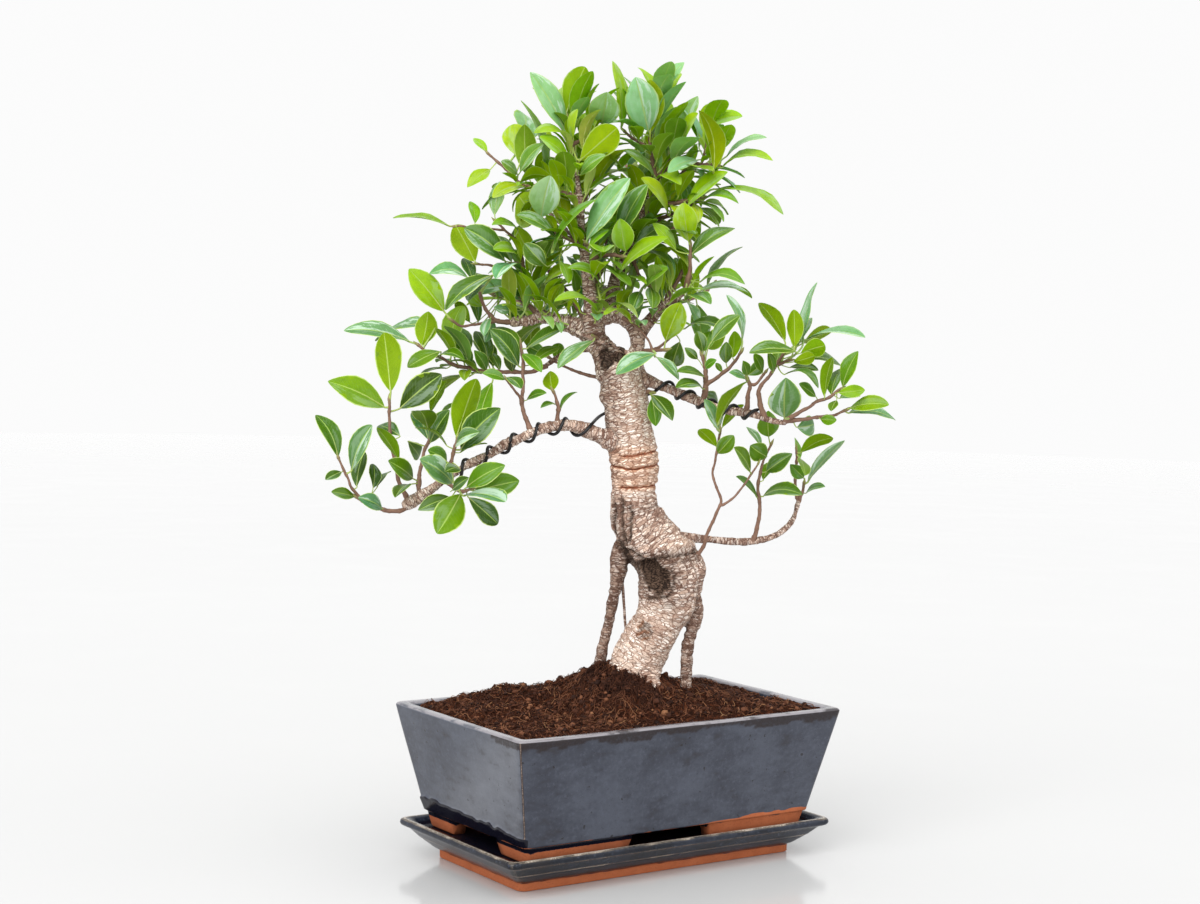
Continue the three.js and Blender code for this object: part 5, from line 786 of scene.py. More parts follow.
def glaze_look(name, thick, thin, edge, worn, roughness, gloss):
    """A cloudy glaze from `thick` to `thin`, which breaks to `edge` and then `worn` where it runs thin over
    an edge, with bare clay where it ends.

    The `glaze` values of a point are: how covered it is, how thin over an edge, how black it pooled, and
    how much painted reflection it carries: 1 on the rim's top, less on the left face, where the table's
    reflection is painted.
    """
    look = Look(name)
    place = look.place()
    wear, thinness, pooled = look.parts(look.value("glaze", "Color"))
    pale = look.value("glaze", "Alpha")
    cloud = look.noise(place, 19, 4)
    drift = look.noise(look.stretched(place, (1, 1, 2.2)), 55, 4)
    fine = look.noise(place, 300, 3)
    speck = look.noise(place, 850, 2)
    body = look.mix(look.step(cloud * 0.65 + drift * 0.35 + fine * 0.22, 0.47, 0.78), thick, thin)
    body = look.mix(look.step(fine, 0.56, 0.70) * 0.30, body, (0.075, 0.085, 0.120))
    body = look.mix(look.step(speck, 0.68, 0.76) * 0.35, body, (0.16, 0.17, 0.20))
    body = look.mix(look.step(speck, 0.36, 0.28) * 0.6, body, (0.012, 0.012, 0.016))
    broken = look.step(thinness + (fine - 0.5) * 0.5, 0.40, 0.7)
    # Painted reflection of the table: lighter grey where the pale value is below 0.9, on the left face.
    body = look.mix(look.step(pale, 0.9, 0.0) * pale * (0.8 + drift * 0.6), body, (0.30, 0.31, 0.34))
    brown = look.mix(look.step(thinness + (speck - 0.5) * 0.4, 0.80, 0.95), edge, worn)
    brown = look.mix(look.step(speck, 0.52, 0.62) * 0.6, brown, look.tinted(brown, (2.0, 2.2, 2.4)))
    body = look.mix(broken * 0.9, body, brown)
    stain = look.step(drift * 0.5 + cloud * 0.5, 0.51, 0.60) * 0.75
    # Painted reflection of the pale room: light grey on the rim's top, less where the glaze is stained.
    rim = look.step(pale + (drift - 0.5) * 0.3, 0.62, 0.8)
    body = look.mix(rim * (0.9 - stain), body, (0.27, 0.255, 0.275))
    pin = look.step(look.noise(place, 190, 2), 0.70, 0.74)
    body = look.mix(pin * 0.8, body, (0.015, 0.012, 0.012))
    black = look.step(pooled + (cloud - 0.5) * 0.3, 0.42, 0.58)
    body = look.mix(black, body, (0.006, 0.006, 0.012))
    body = look.mix(look.step(drift * 0.6 + cloud * 0.4, 0.46, 0.32) * 0.45, body, (0.022, 0.016, 0.015))
    covered = look.step(wear + (fine - 0.5) * 0.25, 0.46, 0.54)
    clay = look.mix(look.noise(place, 90, 4), (0.36, 0.095, 0.035), (0.50, 0.155, 0.065))
    clay = look.mix(look.step(speck, 0.58, 0.7) * 0.6, clay, (0.17, 0.05, 0.022))
    clay = look.mix(look.step(cloud, 0.52, 0.66) * 0.35, clay, (0.22, 0.06, 0.03))
    pits = look.step(look.cell_gap(place, 260), 0.0, 0.25)
    relief = cloud * 0.8 + drift * 0.35 + fine * 0.10 + pits * 0.05 - pin * 0.1
    dull = look.add("ShaderNodeMix", {}, {0: covered, 2: 0.85, 3: roughness})
    return look.finish(Base_Color=look.mix(covered, clay, body),
                       Roughness=dull + (fine - 0.5) * 0.12 - black * 0.08,
                       Coat_Weight=covered * (1 - black) * gloss, Coat_Roughness=0.07,
                       Specular_IOR_Level=gloss, Normal=look.bump(relief, 0.45, 1.1))


def wobble(points, amount, seed):
    """Points pushed level by up to `amount`, as hand-pressed clay is: slow noise of 60 mm along each axis."""
    moved = points.copy()
    moved[..., 0] += amount * noise(points, 60, seed)
    moved[..., 1] += amount * noise(points, 60, seed + 1)
    return moved


def squared_rings(profile, slim, corner, steps):
    """One ring a profile point: a rounded rectangle `reach` to the side and `reach - slim` to the front."""
    rings, near = [], []
    for reach, height in profile:
        outline, by_corner = rounded(reach, reach - slim, min(corner, 0.6 * (reach - slim)), steps)
        rings.append(np.column_stack([outline, np.full(len(outline), height)]))
        near.append(by_corner)
    return np.array(rings), np.array(near)


def filled(corners, length):
    """A profile with extra points, so that no stretch is over `length`; straight between its corners."""
    rows = [corners[0]]
    for start, end in zip(corners, corners[1:]):
        count = max(1, math.ceil(math.dist(start, end) / length))
        for k in range(1, count + 1):
            rows.append(tuple(start[i] + (end[i] - start[i]) * k / count for i in (0, 1)))
    return rows


def pot_body():
    """The pot's walls and floor: a closed loft up the outside, over the rim and down the inside. Where the
    black glaze pooled, at the foot of the left wall, it stands out up to 2 mm."""
    top = POT["length"] / 2
    inside = top - POT["rim"]
    low = POT["bottom_length"] / 2
    under, high = POT["underside"], POT["top"]
    slim = (POT["length"] - POT["width"]) / 2
    profile = filled([(12 + slim, under), (low - 1.6, under)], 18)
    profile += [(low - 0.7, under + 0.15), (low - 0.15, under + 0.6)]
    start, end = (low, under + 1.3), (top - 0.5, high - 3.4)
    part_way = tuple(start[i] + 0.27 * (end[i] - start[i]) for i in (0, 1))
    profile += filled([start, part_way], 1.3) + filled([part_way, end], 3)[1:]
    profile += [(top - 0.35, high - 2.4), (top - 0.7, high - 1.3), (top - 1.5, high - 0.4)]
    profile += [(top - 2.6, high - 0.05)]
    profile += filled([(top - 4.2, high), (inside + 3, high - 0.1)], 3)
    profile += [(inside + 1.7, high - 0.5), (inside + 0.8, high - 1.5), (inside + 0.3, high - 2.8)]
    profile += filled([(inside + 0.25, high - 4), (low - 5, POT["floor"] + 5)], 12)
    profile += [(low - 8, POT["floor"])]
    profile += filled([(low - 12, POT["floor"]), (12 + slim, POT["floor"])], 30)[1:]
    rings, near = squared_rings(profile, slim, POT["corner"], (90, 70, 6))
    height = rings[..., 2]
    rings = wobble(rings, 0.45, 3)
    rings[..., 2] += 0.35 * noise(rings, 45, 9) * (height > high - 8)
    outer = np.arange(len(profile))[:, None] < np.argmax([p[1] for p in profile]) + 2
    bare = 3.6 * smooth_step(rings[..., 0], -20, 130) * (rings[..., 1] < 0)
    level = height - under - bare + 1.1 * noise(rings, 9, 5)
    covered = smooth_step(level, -0.4, 0.9)
    run = 6 + 4 * noise(rings * (1, 1, 0.2), 26, 11) + 2 * noise(rings * (1, 1, 0), 7, 12)
    under_rim = smooth_step(run - (high - 2 - height), -2.2, 1.6) * outer * (rings[..., 1] < -60)
    thin = np.maximum(1.0 * near * outer, 0.68 * under_rim)
    thin = np.maximum(thin, 0.33 * smooth_step(height, high - 42, high - 8) * outer)
    across = -rings[..., 1] / (top - slim) - 1.1 * (height - under) / (high - under)
    reach = np.array([point[0] for point in profile])[:, None]
    left_face = smooth_step(-rings[..., 0] - reach, -2.2, -0.8)
    # Painted reflection of the table on the left face, lighter towards its front and foot.
    painted_table_reflection = 0.62 * smooth_step(across, -1.0, 0.6) * left_face * outer
    # The rim's top carries the full painted reflection of the pale room.
    rim = np.where(height > high - 1.6, 1.0, painted_table_reflection)
    left = smooth_step(-rings[..., 0] - low + 6, 0, 5)
    flat = rings * (1, 1, 0)
    band = 12.5 + 0.02 * rings[..., 1] + 3.5 * noise(flat, 21, 21) + 2.5 * noise(flat, 7, 22)
    pooled = smooth_step(band - (height - under), -1.2, 1.2) * left * outer
    rings[..., 0] -= pooled * (0.3 + 1.7 * np.clip((height - under) / band, 0, 1))
    glaze = np.stack([covered, thin, pooled, rim], -1)
    return loft(rings, glaze=glaze)


def pot_foot(side_x, side_y):
    """One L-shaped foot: a section (inset from the outside, height) swept along the corner's two sides, its
    ends slanting back as the foot goes down."""
    top, bottom = POT["underside"] + 3, TRAY["floor"] + GAP
    wall = POT["foot_wall"]
    section = [(0, top), (0.3, top - 5), (0.6, top - 10), (0.9, bottom + 1.6), (1.5, bottom + 0.5),
               (2.6, bottom), (wall / 2, bottom), (wall - 2, bottom), (wall - 0.6, bottom + 0.7),
               (wall, bottom + 3), (wall, top), (wall / 2, top)]
    slim = (POT["length"] - POT["width"]) / 2
    columns = []
    for inset, height in section:
        down = (top - height) / (top - bottom)
        reach = POT["foot_length"] / 2 - POT["foot_taper"] * down - inset
        start, end = (np.interp(down, [0, 1], POT[key]) / 2 for key in ("long_gap", "short_gap"))
        corner = max(POT["corner"] - inset, 1.2)
        long_way = np.linspace(start, reach - corner, 9)
        arc = np.pi / 2 * np.arange(1, 6) / 6
        short_way = np.linspace(reach - slim - corner, end, 7)
        xs = np.concatenate([long_way, reach - corner + corner * np.sin(arc), np.full(7, reach)])
        ys = np.concatenate([np.full(9, reach - slim), reach - slim - corner * (1 - np.cos(arc)), short_way])
        columns.append(np.column_stack([side_x * xs, side_y * ys, np.full(len(xs), height)]))
    rings = wobble(np.array(columns).transpose(1, 0, 2), 0.4, 31)
    if side_x * side_y > 0:
        rings = rings[:, ::-1]
    run = np.where(side_x < 0, 5.0, 1.0) + 2.4 * noise(rings * (1, 1, 0), 13, 33)
    splash = smooth_step(rings[..., 2] - POT["underside"] + run, -0.8, 0.8)
    glaze = np.stack([splash, 0 * splash, splash, 0 * splash], -1)
    return loft(rings, glaze=glaze)


def make_pot():
    """The pot: its body and four L-shaped feet."""
    shape = joined([pot_body()] + [pot_foot(sx, sy) for sx in (1, -1) for sy in (1, -1)])
    put("glazed_pot", shape, [glaze_look("grey_blue_glaze", **POT_GLAZE)], ["pot"])


def tray_shape():
    """The tray: a closed loft from under its foot, up the stepped outside, over the rim and down inside."""
    top = TRAY["length"] / 2
    foot = TRAY["foot_length"] / 2
    slim = (TRAY["length"] - TRAY["width"]) / 2
    step = TRAY["foot_height"]
    rim, floor = TRAY["rim_top"], TRAY["floor"]
    profile = filled([(10 + slim, 0), (foot - 2, 0)], 20)
    profile += [(foot - 0.6, 0.3), (foot, 1.2), (foot, step - 1.4), (foot + 0.5, step - 0.4)]
    profile += [(foot + 1.5, step + 0.3), (foot + 3, step + 1)]
    profile += filled([(foot + 4, step + 1.7), (foot + 11.4, 16.2)], 3)
    profile += [(foot + 12.2, 17.2), (foot + 13.2, 17.7), (foot + 14.2, 18.6)]
    profile += filled([(foot + 15, 19.5), (top - 6.5, 25.6)], 3) + [(top - 5.4, 26.4), (top - 3.4, 26.9)]
    profile += [(top - 1.4, 27.9), (top - 0.5, 29), (top - 0.15, 30.4), (top - 0.4, 32)]
    profile += [(top - 1, rim - 0.9), (top - 2, rim - 0.25), (top - 3.4, rim), (top - 5, rim - 0.15)]
    profile += [(top - 7.6, rim - 1), (top - 9, rim - 2.4), (top - 11.2, floor + 2.2)]
    profile += [(top - 13, floor + 0.7), (top - 15.6, floor + 0.05)]
    profile += filled([(top - 17, floor), (10 + slim, floor)], 25)[1:]
    rings, near = squared_rings(profile, slim, TRAY["corner"], (34, 20, 7))
    height = rings[..., 2]
    rings = wobble(rings, 0.4, 41)
    index = np.arange(len(profile))[:, None] + 0 * near
    peak = int(np.argmax([p[1] for p in profile]))
    outer = index <= peak
    ragged = height + 1.6 * noise(rings, 13, 43) + 0.7 * noise(rings, 5, 44)
    covered = np.where(outer, smooth_step(ragged, step - 0.9, step + 0.5), 1)
    edges = ((17.7, 1.2), (27.2, 1.2), (33.6, 1.1))
    lines = sum(np.exp(-((height - z) / width) ** 2) for z, width in edges) * outer
    worn_off = 0.85 + 0.5 * noise(rings, 8, 45)
    thin = np.maximum(np.clip(lines * worn_off, 0, 1), 0.8 * near * outer)
    thin = np.maximum(thin, np.exp(-((index - peak) / 1.3) ** 2))
    pooled = np.where(~outer & (height < rim - 3), 0.8, 0.0)
    glaze = np.stack([covered, thin, pooled, 0 * thin], -1)
    return loft(rings, glaze=glaze)


def make_tray():
    """The drip tray."""
    look = glaze_look("dark_tray_glaze", **TRAY_GLAZE)
    put("drip_tray_glazed", tray_shape(), [look], ["drip_tray"])


def dress_drain_screens():
    """The drain screens' black plastic net: fine rough grain."""
    look = Look("drain_net_plastic")
    grain = look.noise(look.place(), 700, 3)
    look.finish(Base_Color=look.mix(grain, (0.012, 0.013, 0.011), (0.03, 0.032, 0.028)), Roughness=0.5,
                Normal=look.bump(grain, 0.3, 0.2))
    for name in ("drain_screen_1", "drain_screen_2"):
        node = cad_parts[name]
        node.data.materials.clear()
        node.data.materials.append(look.material)

# ---- soil -------------------------------------------------------------------------------------------


# What the loose soil adds to the mound, in the tree's frame: height, centre and spread of each bell.
HEAPED = [(-6, (-6, -30), (13, 11)), (-2, (28, -30), (12, 11)), (-8, (-60, 8), (24, 44)),
          (5, (-20, 6), (9, 13))]
BACK_HEAP = (5, (118, 50), (38, 32))  # the same for the pot's back corner, in the pot's frame


def bell(across, depth, centre, spread):
    """1 at a centre, falling to 0 as a bell with its own spread each way."""
    return np.exp(-0.5 * (((across - centre[0]) / spread[0]) ** 2 + ((depth - centre[1]) / spread[1]) ** 2))


def in_tree_frame(x, y):
    """How far places of the pot's frame lie across and into the tree's."""
    c, s = math.cos(TREE_TURN), math.sin(TREE_TURN)
    return x * c + y * s, y * c - x * s


def soil_height(x, y):
    """A bell-shaped mound, a smaller heap against the trunk's foot, and low sine ripples."""
    across, depth = in_tree_frame(x, y)
    mound = SOIL["mound"] * bell(across, depth, SOIL["centre"], SOIL["spread"])
    heap = SOIL["heap"] * bell(across, depth, SOIL["heap_centre"], SOIL["heap_spread"])
    return SOIL["edge"] + mound + heap + 1.5 * np.sin(x / 17) * np.cos(y / 13)


def soil_top(x, y):
    """The soil as it lies: the mound, bells scooped out and heaped up, and three sizes of noise."""
    places = np.stack([x, y, 0 * x], -1)
    lumps = 2.2 * noise(places, 13, 51) + 1.7 * noise(places, 5.5, 52) + 1.2 * noise(places, 2.3, 53)
    across, depth = in_tree_frame(x, y)
    heaped = sum(height * bell(across, depth, centre, spread) for height, centre, spread in HEAPED)
    height, centre, spread = BACK_HEAP
    heaped = heaped + height * bell(x, y, centre, spread)
    return soil_height(x, y) + lumps - 0.6 + heaped


def wetness(x, y):
    """Up to 1 where the soil is wet and dark, against the front of the trunk's foot: two bells."""
    across, depth = in_tree_frame(x, y)
    front, left = bell(across, depth, (6, -32), (19, 11)), bell(across, depth, (-22, -12), (10, 16))
    return np.maximum(front, 0.8 * left)


def soil_shape():
    """A closed loft: up inside the pot's wall, then in over the mound ring by ring."""
    slim = (POT["length"] - POT["width"]) / 2
    low = POT["bottom_length"] / 2 - 8 - 2 * GAP
    high = POT["length"] / 2 - POT["rim"] - 2 * GAP
    outline, _ = rounded(high, high - slim, POT["corner"], (140, 86, 8))
    lower, _ = rounded(low, low - slim, POT["corner"], (140, 86, 8))
    floor = POT["floor"] + 1.8
    levels = [(lower * 0.2, floor), (lower, floor), ((lower + outline) / 2, (floor + SOIL["edge"]) / 2)]
    rings = [np.column_stack([spots, np.full(len(spots), height)]) for spots, height in levels]
    for inward in np.linspace(1, 0.005, 108):
        spots = outline * inward
        rings.append(np.column_stack([spots, soil_top(spots[:, 0], spots[:, 1])]))
    rings = np.array(rings)
    return loft(rings, wet=wetness(rings[..., 0], rings[..., 1]))


def soil_look():
    """Damp peat: red-brown lumps, darker in the low parts of their bump and lighter on the high ones as
    painted shade and light, with painted shade in the gaps between the chips, nearly black where it is wet.
    """
    look = Look("peat_soil")
    place = look.place()
    lump = look.noise(place, 95, 5, 0.65)
    fine = look.noise(place, 420, 4, 0.7)
    chip = look.cell_gap(look.stretched(place, (1, 1.7, 1)), 170)
    wet = look.value("wet")
    # The peat's browns by the same noise as its bump: painted shade in the low parts, painted light on the
    # high ones.
    colour = look.ramp(lump * 0.6 + fine * 0.4, [
        (0.32, (0.007, 0.002, 0.001)), (0.45, (0.026, 0.008, 0.004)), (0.56, (0.070, 0.022, 0.010)),
        (0.68, (0.145, 0.052, 0.022)), (0.80, (0.25, 0.105, 0.048))])
    # Painted shade in the gaps between the chips.
    colour = look.mix(look.step(chip, 0.0, 0.12), (0.012, 0.005, 0.003), colour)
    colour = look.mix(look.step(wet + (lump - 0.5) * 0.6, 0.25, 0.7) * 0.8, colour, (0.009, 0.004, 0.003))
    return look.finish(Base_Color=colour, Roughness=0.95, Specular_IOR_Level=0.05,
                       Normal=look.bump(lump * 0.8 + fine * 0.7, 1.0, 1.6))


def fibre_look():
    """Coir fibres and bark crumbs: each from dark brown to straw by its own number."""
    look = Look("coir_fibre")
    colour = look.ramp(look.value("kind"), [
        (0.0, (0.014, 0.004, 0.002)), (0.30, (0.075, 0.024, 0.011)), (0.6, (0.21, 0.082, 0.040)),
        (0.85, (0.31, 0.145, 0.068)), (1.0, (0.50, 0.28, 0.13))])
    streak = look.noise(look.place(), 600, 2)
    colour = look.tinted(colour, look.mix(streak, (0.6, 0.6, 0.6), (1, 1, 1)))
    return look.finish(Base_Color=colour, Roughness=0.7, Specular_IOR_Level=0.15)


def soil_spots(draw, count, clear_of):
    """`count` places on the soil inside the rim, none in the trunk's foot, for loose bits: x and y in mm. A
    fifth of them lie on the heap."""
    slim = (POT["length"] - POT["width"]) / 2
    reach = POT["length"] / 2 - POT["rim"] - 5
    spots = draw.uniform(-1, 1, (3 * count, 2)) * (reach, reach - slim)
    heap = draw.normal(SOIL["heap_centre"], SOIL["heap_spread"], (3 * count, 2))
    heap = in_pot_frame(np.column_stack([heap, np.zeros(3 * count)]))[:, :2]
    spots = np.where(draw.uniform(0, 1, (3 * count, 1)) < 0.2, heap, spots)
    across, depth = in_tree_frame(spots[:, 0], spots[:, 1])
    inside = (np.abs(across - 22) < clear_of) & (np.abs(depth + 2) < clear_of * 0.7)
    inside |= (np.abs(spots[:, 0]) > reach) | (np.abs(spots[:, 1]) > reach - slim)
    return spots[~inside][:count]


def fibres(draw, count, lengths, steps, width, shades):
    """Thin curved hairs on the soil: arcs whose heading wanders by a sine, lifted midway by a parabola."""
    spots = soil_spots(draw, count, 24)
    count = len(spots)
    t = np.linspace(-0.5, 0.5, steps)
    length = draw.uniform(*lengths, count)
    heading = draw.uniform(0, np.pi, count)
    bend = draw.normal(0, 1.1, count)
    angle = heading[:, None] + bend[:, None] * t + 0.5 * np.sin(6 * t + draw.uniform(0, 6, (count, 1)))
    step = length[:, None] / (steps - 1)
    back_x, back_y = np.cos(heading) * length / 2, np.sin(heading) * length / 2
    x = spots[:, :1] + np.cumsum(np.cos(angle) * step, 1) - back_x[:, None]
    y = spots[:, 1:] + np.cumsum(np.sin(angle) * step, 1) - back_y[:, None]
    slim = (POT["length"] - POT["width"]) / 2
    reach = POT["length"] / 2 - POT["rim"] - 2.5
    x, y = np.clip(x, -reach, reach), np.clip(y, slim - reach, reach - slim)
    lift = draw.uniform(0.0, 0.8, count)[:, None] + draw.uniform(0, 2.4, (count, 1)) * (1 - 4 * t**2)
    z = soil_top(x, y) + lift
    radius = width * draw.uniform(0.6, 1.4, (count, 1)) * np.linspace(1, 0.6, steps)
    kind = draw.beta(*shades, count)[:, None] * (1 - 0.6 * wetness(x, y))
    return tubes(np.stack([x, y, z], -1), radius, 4, kind=kind)


def crumbs(draw, count):
    """Crumbs and bark chips: squashed lumps of four rings, each corner pushed at random."""
    spots = soil_spots(draw, count, 22)
    count = len(spots)
    size = np.minimum(draw.gamma(2.3, 0.46, count), 3.4)[:, None] + 0.4
    way = unit(draw.normal(0, 1, (count, 3)) * (1, 1, 0.35))
    centre = np.column_stack([spots, soil_top(spots[:, 0], spots[:, 1]) + 0.35 * size[:, 0]])
    station = np.array([-0.8, -0.35, 0.25, 0.75])
    centres = centre[:, None] + way[:, None] * (station * size)[..., None]
    radius = size * np.array([0.35, 0.8, 0.85, 0.4]) * draw.uniform(0.6, 1, (count, 1))
    dry = 1 - 0.4 * wetness(spots[:, 0], spots[:, 1])
    shape = tubes(centres, radius, 6, kind=(draw.beta(1.4, 4.2, count) * dry)[:, None] * np.ones(4))
    shape.points += draw.normal(0, 0.2, shape.points.shape)
    return shape


def make_soil():
    """The soil bed and what lies loose on it, from one run of random numbers."""
    draw = np.random.default_rng(7)
    put("peat_soil_bed", soil_shape(), [soil_look()], ["soil"])
    fibre = fibre_look()
    put("coir_fibres_short", fibres(draw, 4120, (4, 14), 6, 0.33, (1.25, 2.6)), [fibre])
    put("coir_fibres_long", fibres(draw, 130, (18, 40), 10, 0.24, (2.4, 2.0)), [fibre])
    put("soil_crumbs", crumbs(draw, 2600), [fibre])

# ---- trunk ------------------------------------------------------------------------------------------

STEMS = [dict(name="trunk", path=TRUNK)] + LIMBS
# A thin stem grown fast across the front of the trunk's fork.
CROSSING_STEM = [[-52, -8, 479, 1.6], [-38, -14, 473, 2.1], [-24, -17.5, 468, 2.4], [-10, -19, 462, 2.4],
                 [4, -16, 456.5, 2.3], [14, -8, 452, 1.9]]
ROD_START = 137  # mm from one rod's start to the next one's, so that no two stems have the same bark
BATCH = 20000  # points measured against the stems at a time, to save memory


def fleshed(rows):
    """A stem's rows with more between them, nowhere thinner than 0.8 mm."""
    curve = smooth(rows, 6)
    curve[:, 3] = np.maximum(curve[:, 3], 0.8)
    return curve


def merged_stems():
    """The trunk, its limbs and roots as one skin: closed tubes, joined by a fine voxel net and relaxed. Gives
    its points in mm, its normals and its faces."""
    parts = [tubes(curve[:, :3], curve[:, 3], 28)
             for curve in (fleshed(stem["path"]) for stem in STEMS if stem["name"] != "thread_root")]
    crossing = smooth(CROSSING_STEM, 6)
    parts.append(tubes(crossing[:, :3], crossing[:, 3], 14))
    mesh = mesh_of("stems", joined(parts))
    block = linked("stems", mesh)
    net = block.modifiers.new("net", "REMESH")
    net.mode, net.voxel_size = "VOXEL", 1.23 * MM
    relax = block.modifiers.new("relax", "SMOOTH")
    relax.factor, relax.iterations = 0.5, 6
    skin = block.evaluated_get(bpy.context.evaluated_depsgraph_get()).to_mesh()
    points = np.empty(3 * len(skin.vertices), np.float32)
    normals = np.empty(3 * len(skin.vertices), np.float32)
    corners = np.empty(len(skin.loops), np.int32)
    starts = np.empty(len(skin.polygons), np.int32)
    counts = np.empty(len(skin.polygons), np.int32)
    skin.vertices.foreach_get("co", points)
    skin.vertices.foreach_get("normal", normals)
    skin.loops.foreach_get("vertex_index", corners)
    skin.polygons.foreach_get("loop_start", starts)
    skin.polygons.foreach_get("loop_total", counts)
    faces = np.full((len(starts), 4), -1)
    for k in (0, 1, 2, 3):
        has = counts > k
        faces[has, k] = corners[starts[has] + k]
    bpy.data.objects.remove(block)
    bpy.data.meshes.remove(mesh)
    return points.reshape(-1, 3) / MM, normals.reshape(-1, 3), faces


def straightened(points):
    """Bark coordinates of points, in mm: each stem laid straight as a rod, and which stem is nearest.

    The nearest axis point is the one whose radius the point stands least out of.
    """
    axis, radius, run, across, over, owner, start = [], [], [], [], [], [], 0
    for number, stem in enumerate(STEMS):
        curve = fleshed(stem["path"])
        way = ways_along(curve[:, :3])
        side = unit(np.array([0, -1, 0]) - way * (way @ [0, -1, 0])[:, None] + 1e-4)
        axis.append(curve[:, :3])
        radius.append(curve[:, 3])
        run.append(start + distances_along(curve[:, :3]))
        across.append(side)
        over.append(np.cross(way, side))
        owner.append(np.full(len(curve), number))
        start += ROD_START
    axis, radius, run, across, over, owner = map(np.concatenate, (axis, radius, run, across, over, owner))
    best = np.empty(len(points), int)
    for at in range(0, len(points), BATCH):
        gap = np.linalg.norm(points[at:at + BATCH, None] - axis[None], axis=2) - radius
        best[at:at + BATCH] = np.argmin(gap, axis=1)
    arm = points - axis[best]
    along = np.cross(across[best], over[best])
    x = (arm * across[best]).sum(1)
    y = (arm * over[best]).sum(1)
    s = run[best] + (arm * along).sum(1)
    return np.stack([x, y, s], -1), owner[best]


def dent(points, centre, half):
    """1 at a centre, falling to 0 as a bell, `half` wide each way."""
    return np.exp(-1.6 * (((points - centre) / half) ** 2).sum(1))


def bowl(points, centre, half, seed):
    """A ragged ellipsoid: 1 less the square of the reach from its middle, and 1 inside its sharp edge."""
    reach = np.sqrt((((points - centre) / half) ** 2).sum(1))
    reach = reach + 0.26 * noise(points, 8, seed) + 0.16 * noise(points, 3.4, seed + 20)
    return np.clip(1 - reach**2, 0, 1), smooth_step(reach, 1.14, 0.88)


def near_line(points, places, width):
    """1 on the stretches between places (x, z), falling to 0 as a bell beside them, as seen from the front.
    Noise bends the line and makes it now wider, now narrower than `width`."""
    seen = points[:, [0, 2]] + 1.5 * np.stack([noise(points, 7, 91), noise(points, 7, 92)], -1)
    width = width * (1 + 0.55 * noise(points, 5, 93))
    least = np.full(len(points), 1e9)
    for start, end in zip(places, places[1:]):
        start, way = np.array(start, float), np.subtract(end, start)
        t = np.clip(((seen - start) @ way) / (way @ way), 0, 1)
        least = np.minimum(least, ((seen - start - t[:, None] * way) ** 2).sum(1))
    return np.exp(-least / width**2) * smooth_step(points[:, 1], 6, -4)


# Rings round the trunk where old wire bit in: heights at its left, middle and right, and where they start.
RING_SCARS = [((365, 367, 371.5), -5), ((357.5, 354.2, 359), -40), ((338.5, 338.3, 340.2), -6)]
# Furrows down the trunk's left, and creases under the overhang above the heel: pressed into the relief and
# darkened with painted shade.
FURROWS = [[(-10, 323), (-9, 305), (-5, 288)], [(-2, 327), (-3, 308), (2, 286)],
           [(5, 320), (7, 303), (5, 290)], [(-7, 287), (3, 276), (11, 267)]]
CREASES = [[(4, 281), (18, 274), (34, 275), (50, 278), (62, 281), (74, 284)],
           [(-3, 287), (6, 273), (12, 262)], [(44, 265), (46, 251), (39, 240), (24, 238)]]
# The painted shadow under the overhang, which is also pressed into the relief, the swelling over it, and
# painted shade at the hollow's left edge.
OVERHANG_SHADE = [(14, 268), (34, 270), (54, 274), (70, 278)]
OVERHANG_LIP = [(18, 282), (34, 283), (52, 287), (72, 291)]
HOLLOW_EDGE = [(-4, 286), (6, 272), (10, 258), (9, 246)]
# Swellings of the trunk: height, centre, and half width each way.
KNOBS = [(5.2, (-24.6, -4, 418), (9, 12, 9)), (5, (36, -22, 167), (10, 13, 13)),
         (2.6, (72, -10, 262), (8, 10, 9)), (1.6, (60, -14, 231), (9, 9, 9))]
# Bowls in it: centre, half width each way, and the seed of the ragged edge. The wound and the hollow are
# darkened inside with painted shade.
WOUND = [((-20, -16, 454), (8, 11, 12), 66), ((-11, -18, 457), (8, 9, 6), 73)]
HOLLOW = [((31, -28, 254), (15, 15, 12.5), 67), ((20, -27, 265), (15, 14, 11), 70)]
RED_SCAR = ((19, -24, 209), (9, 9, 9), 68)
GREY_PATCH = ((-4, -17, 303), (12, 13, 27), 69)
# Red cracks in the scar low on the trunk.
RED_LINES = [[(13, 206), (19, 210), (24, 208)], [(14, 213), (20, 216)], [(19, 202), (24, 203)]]


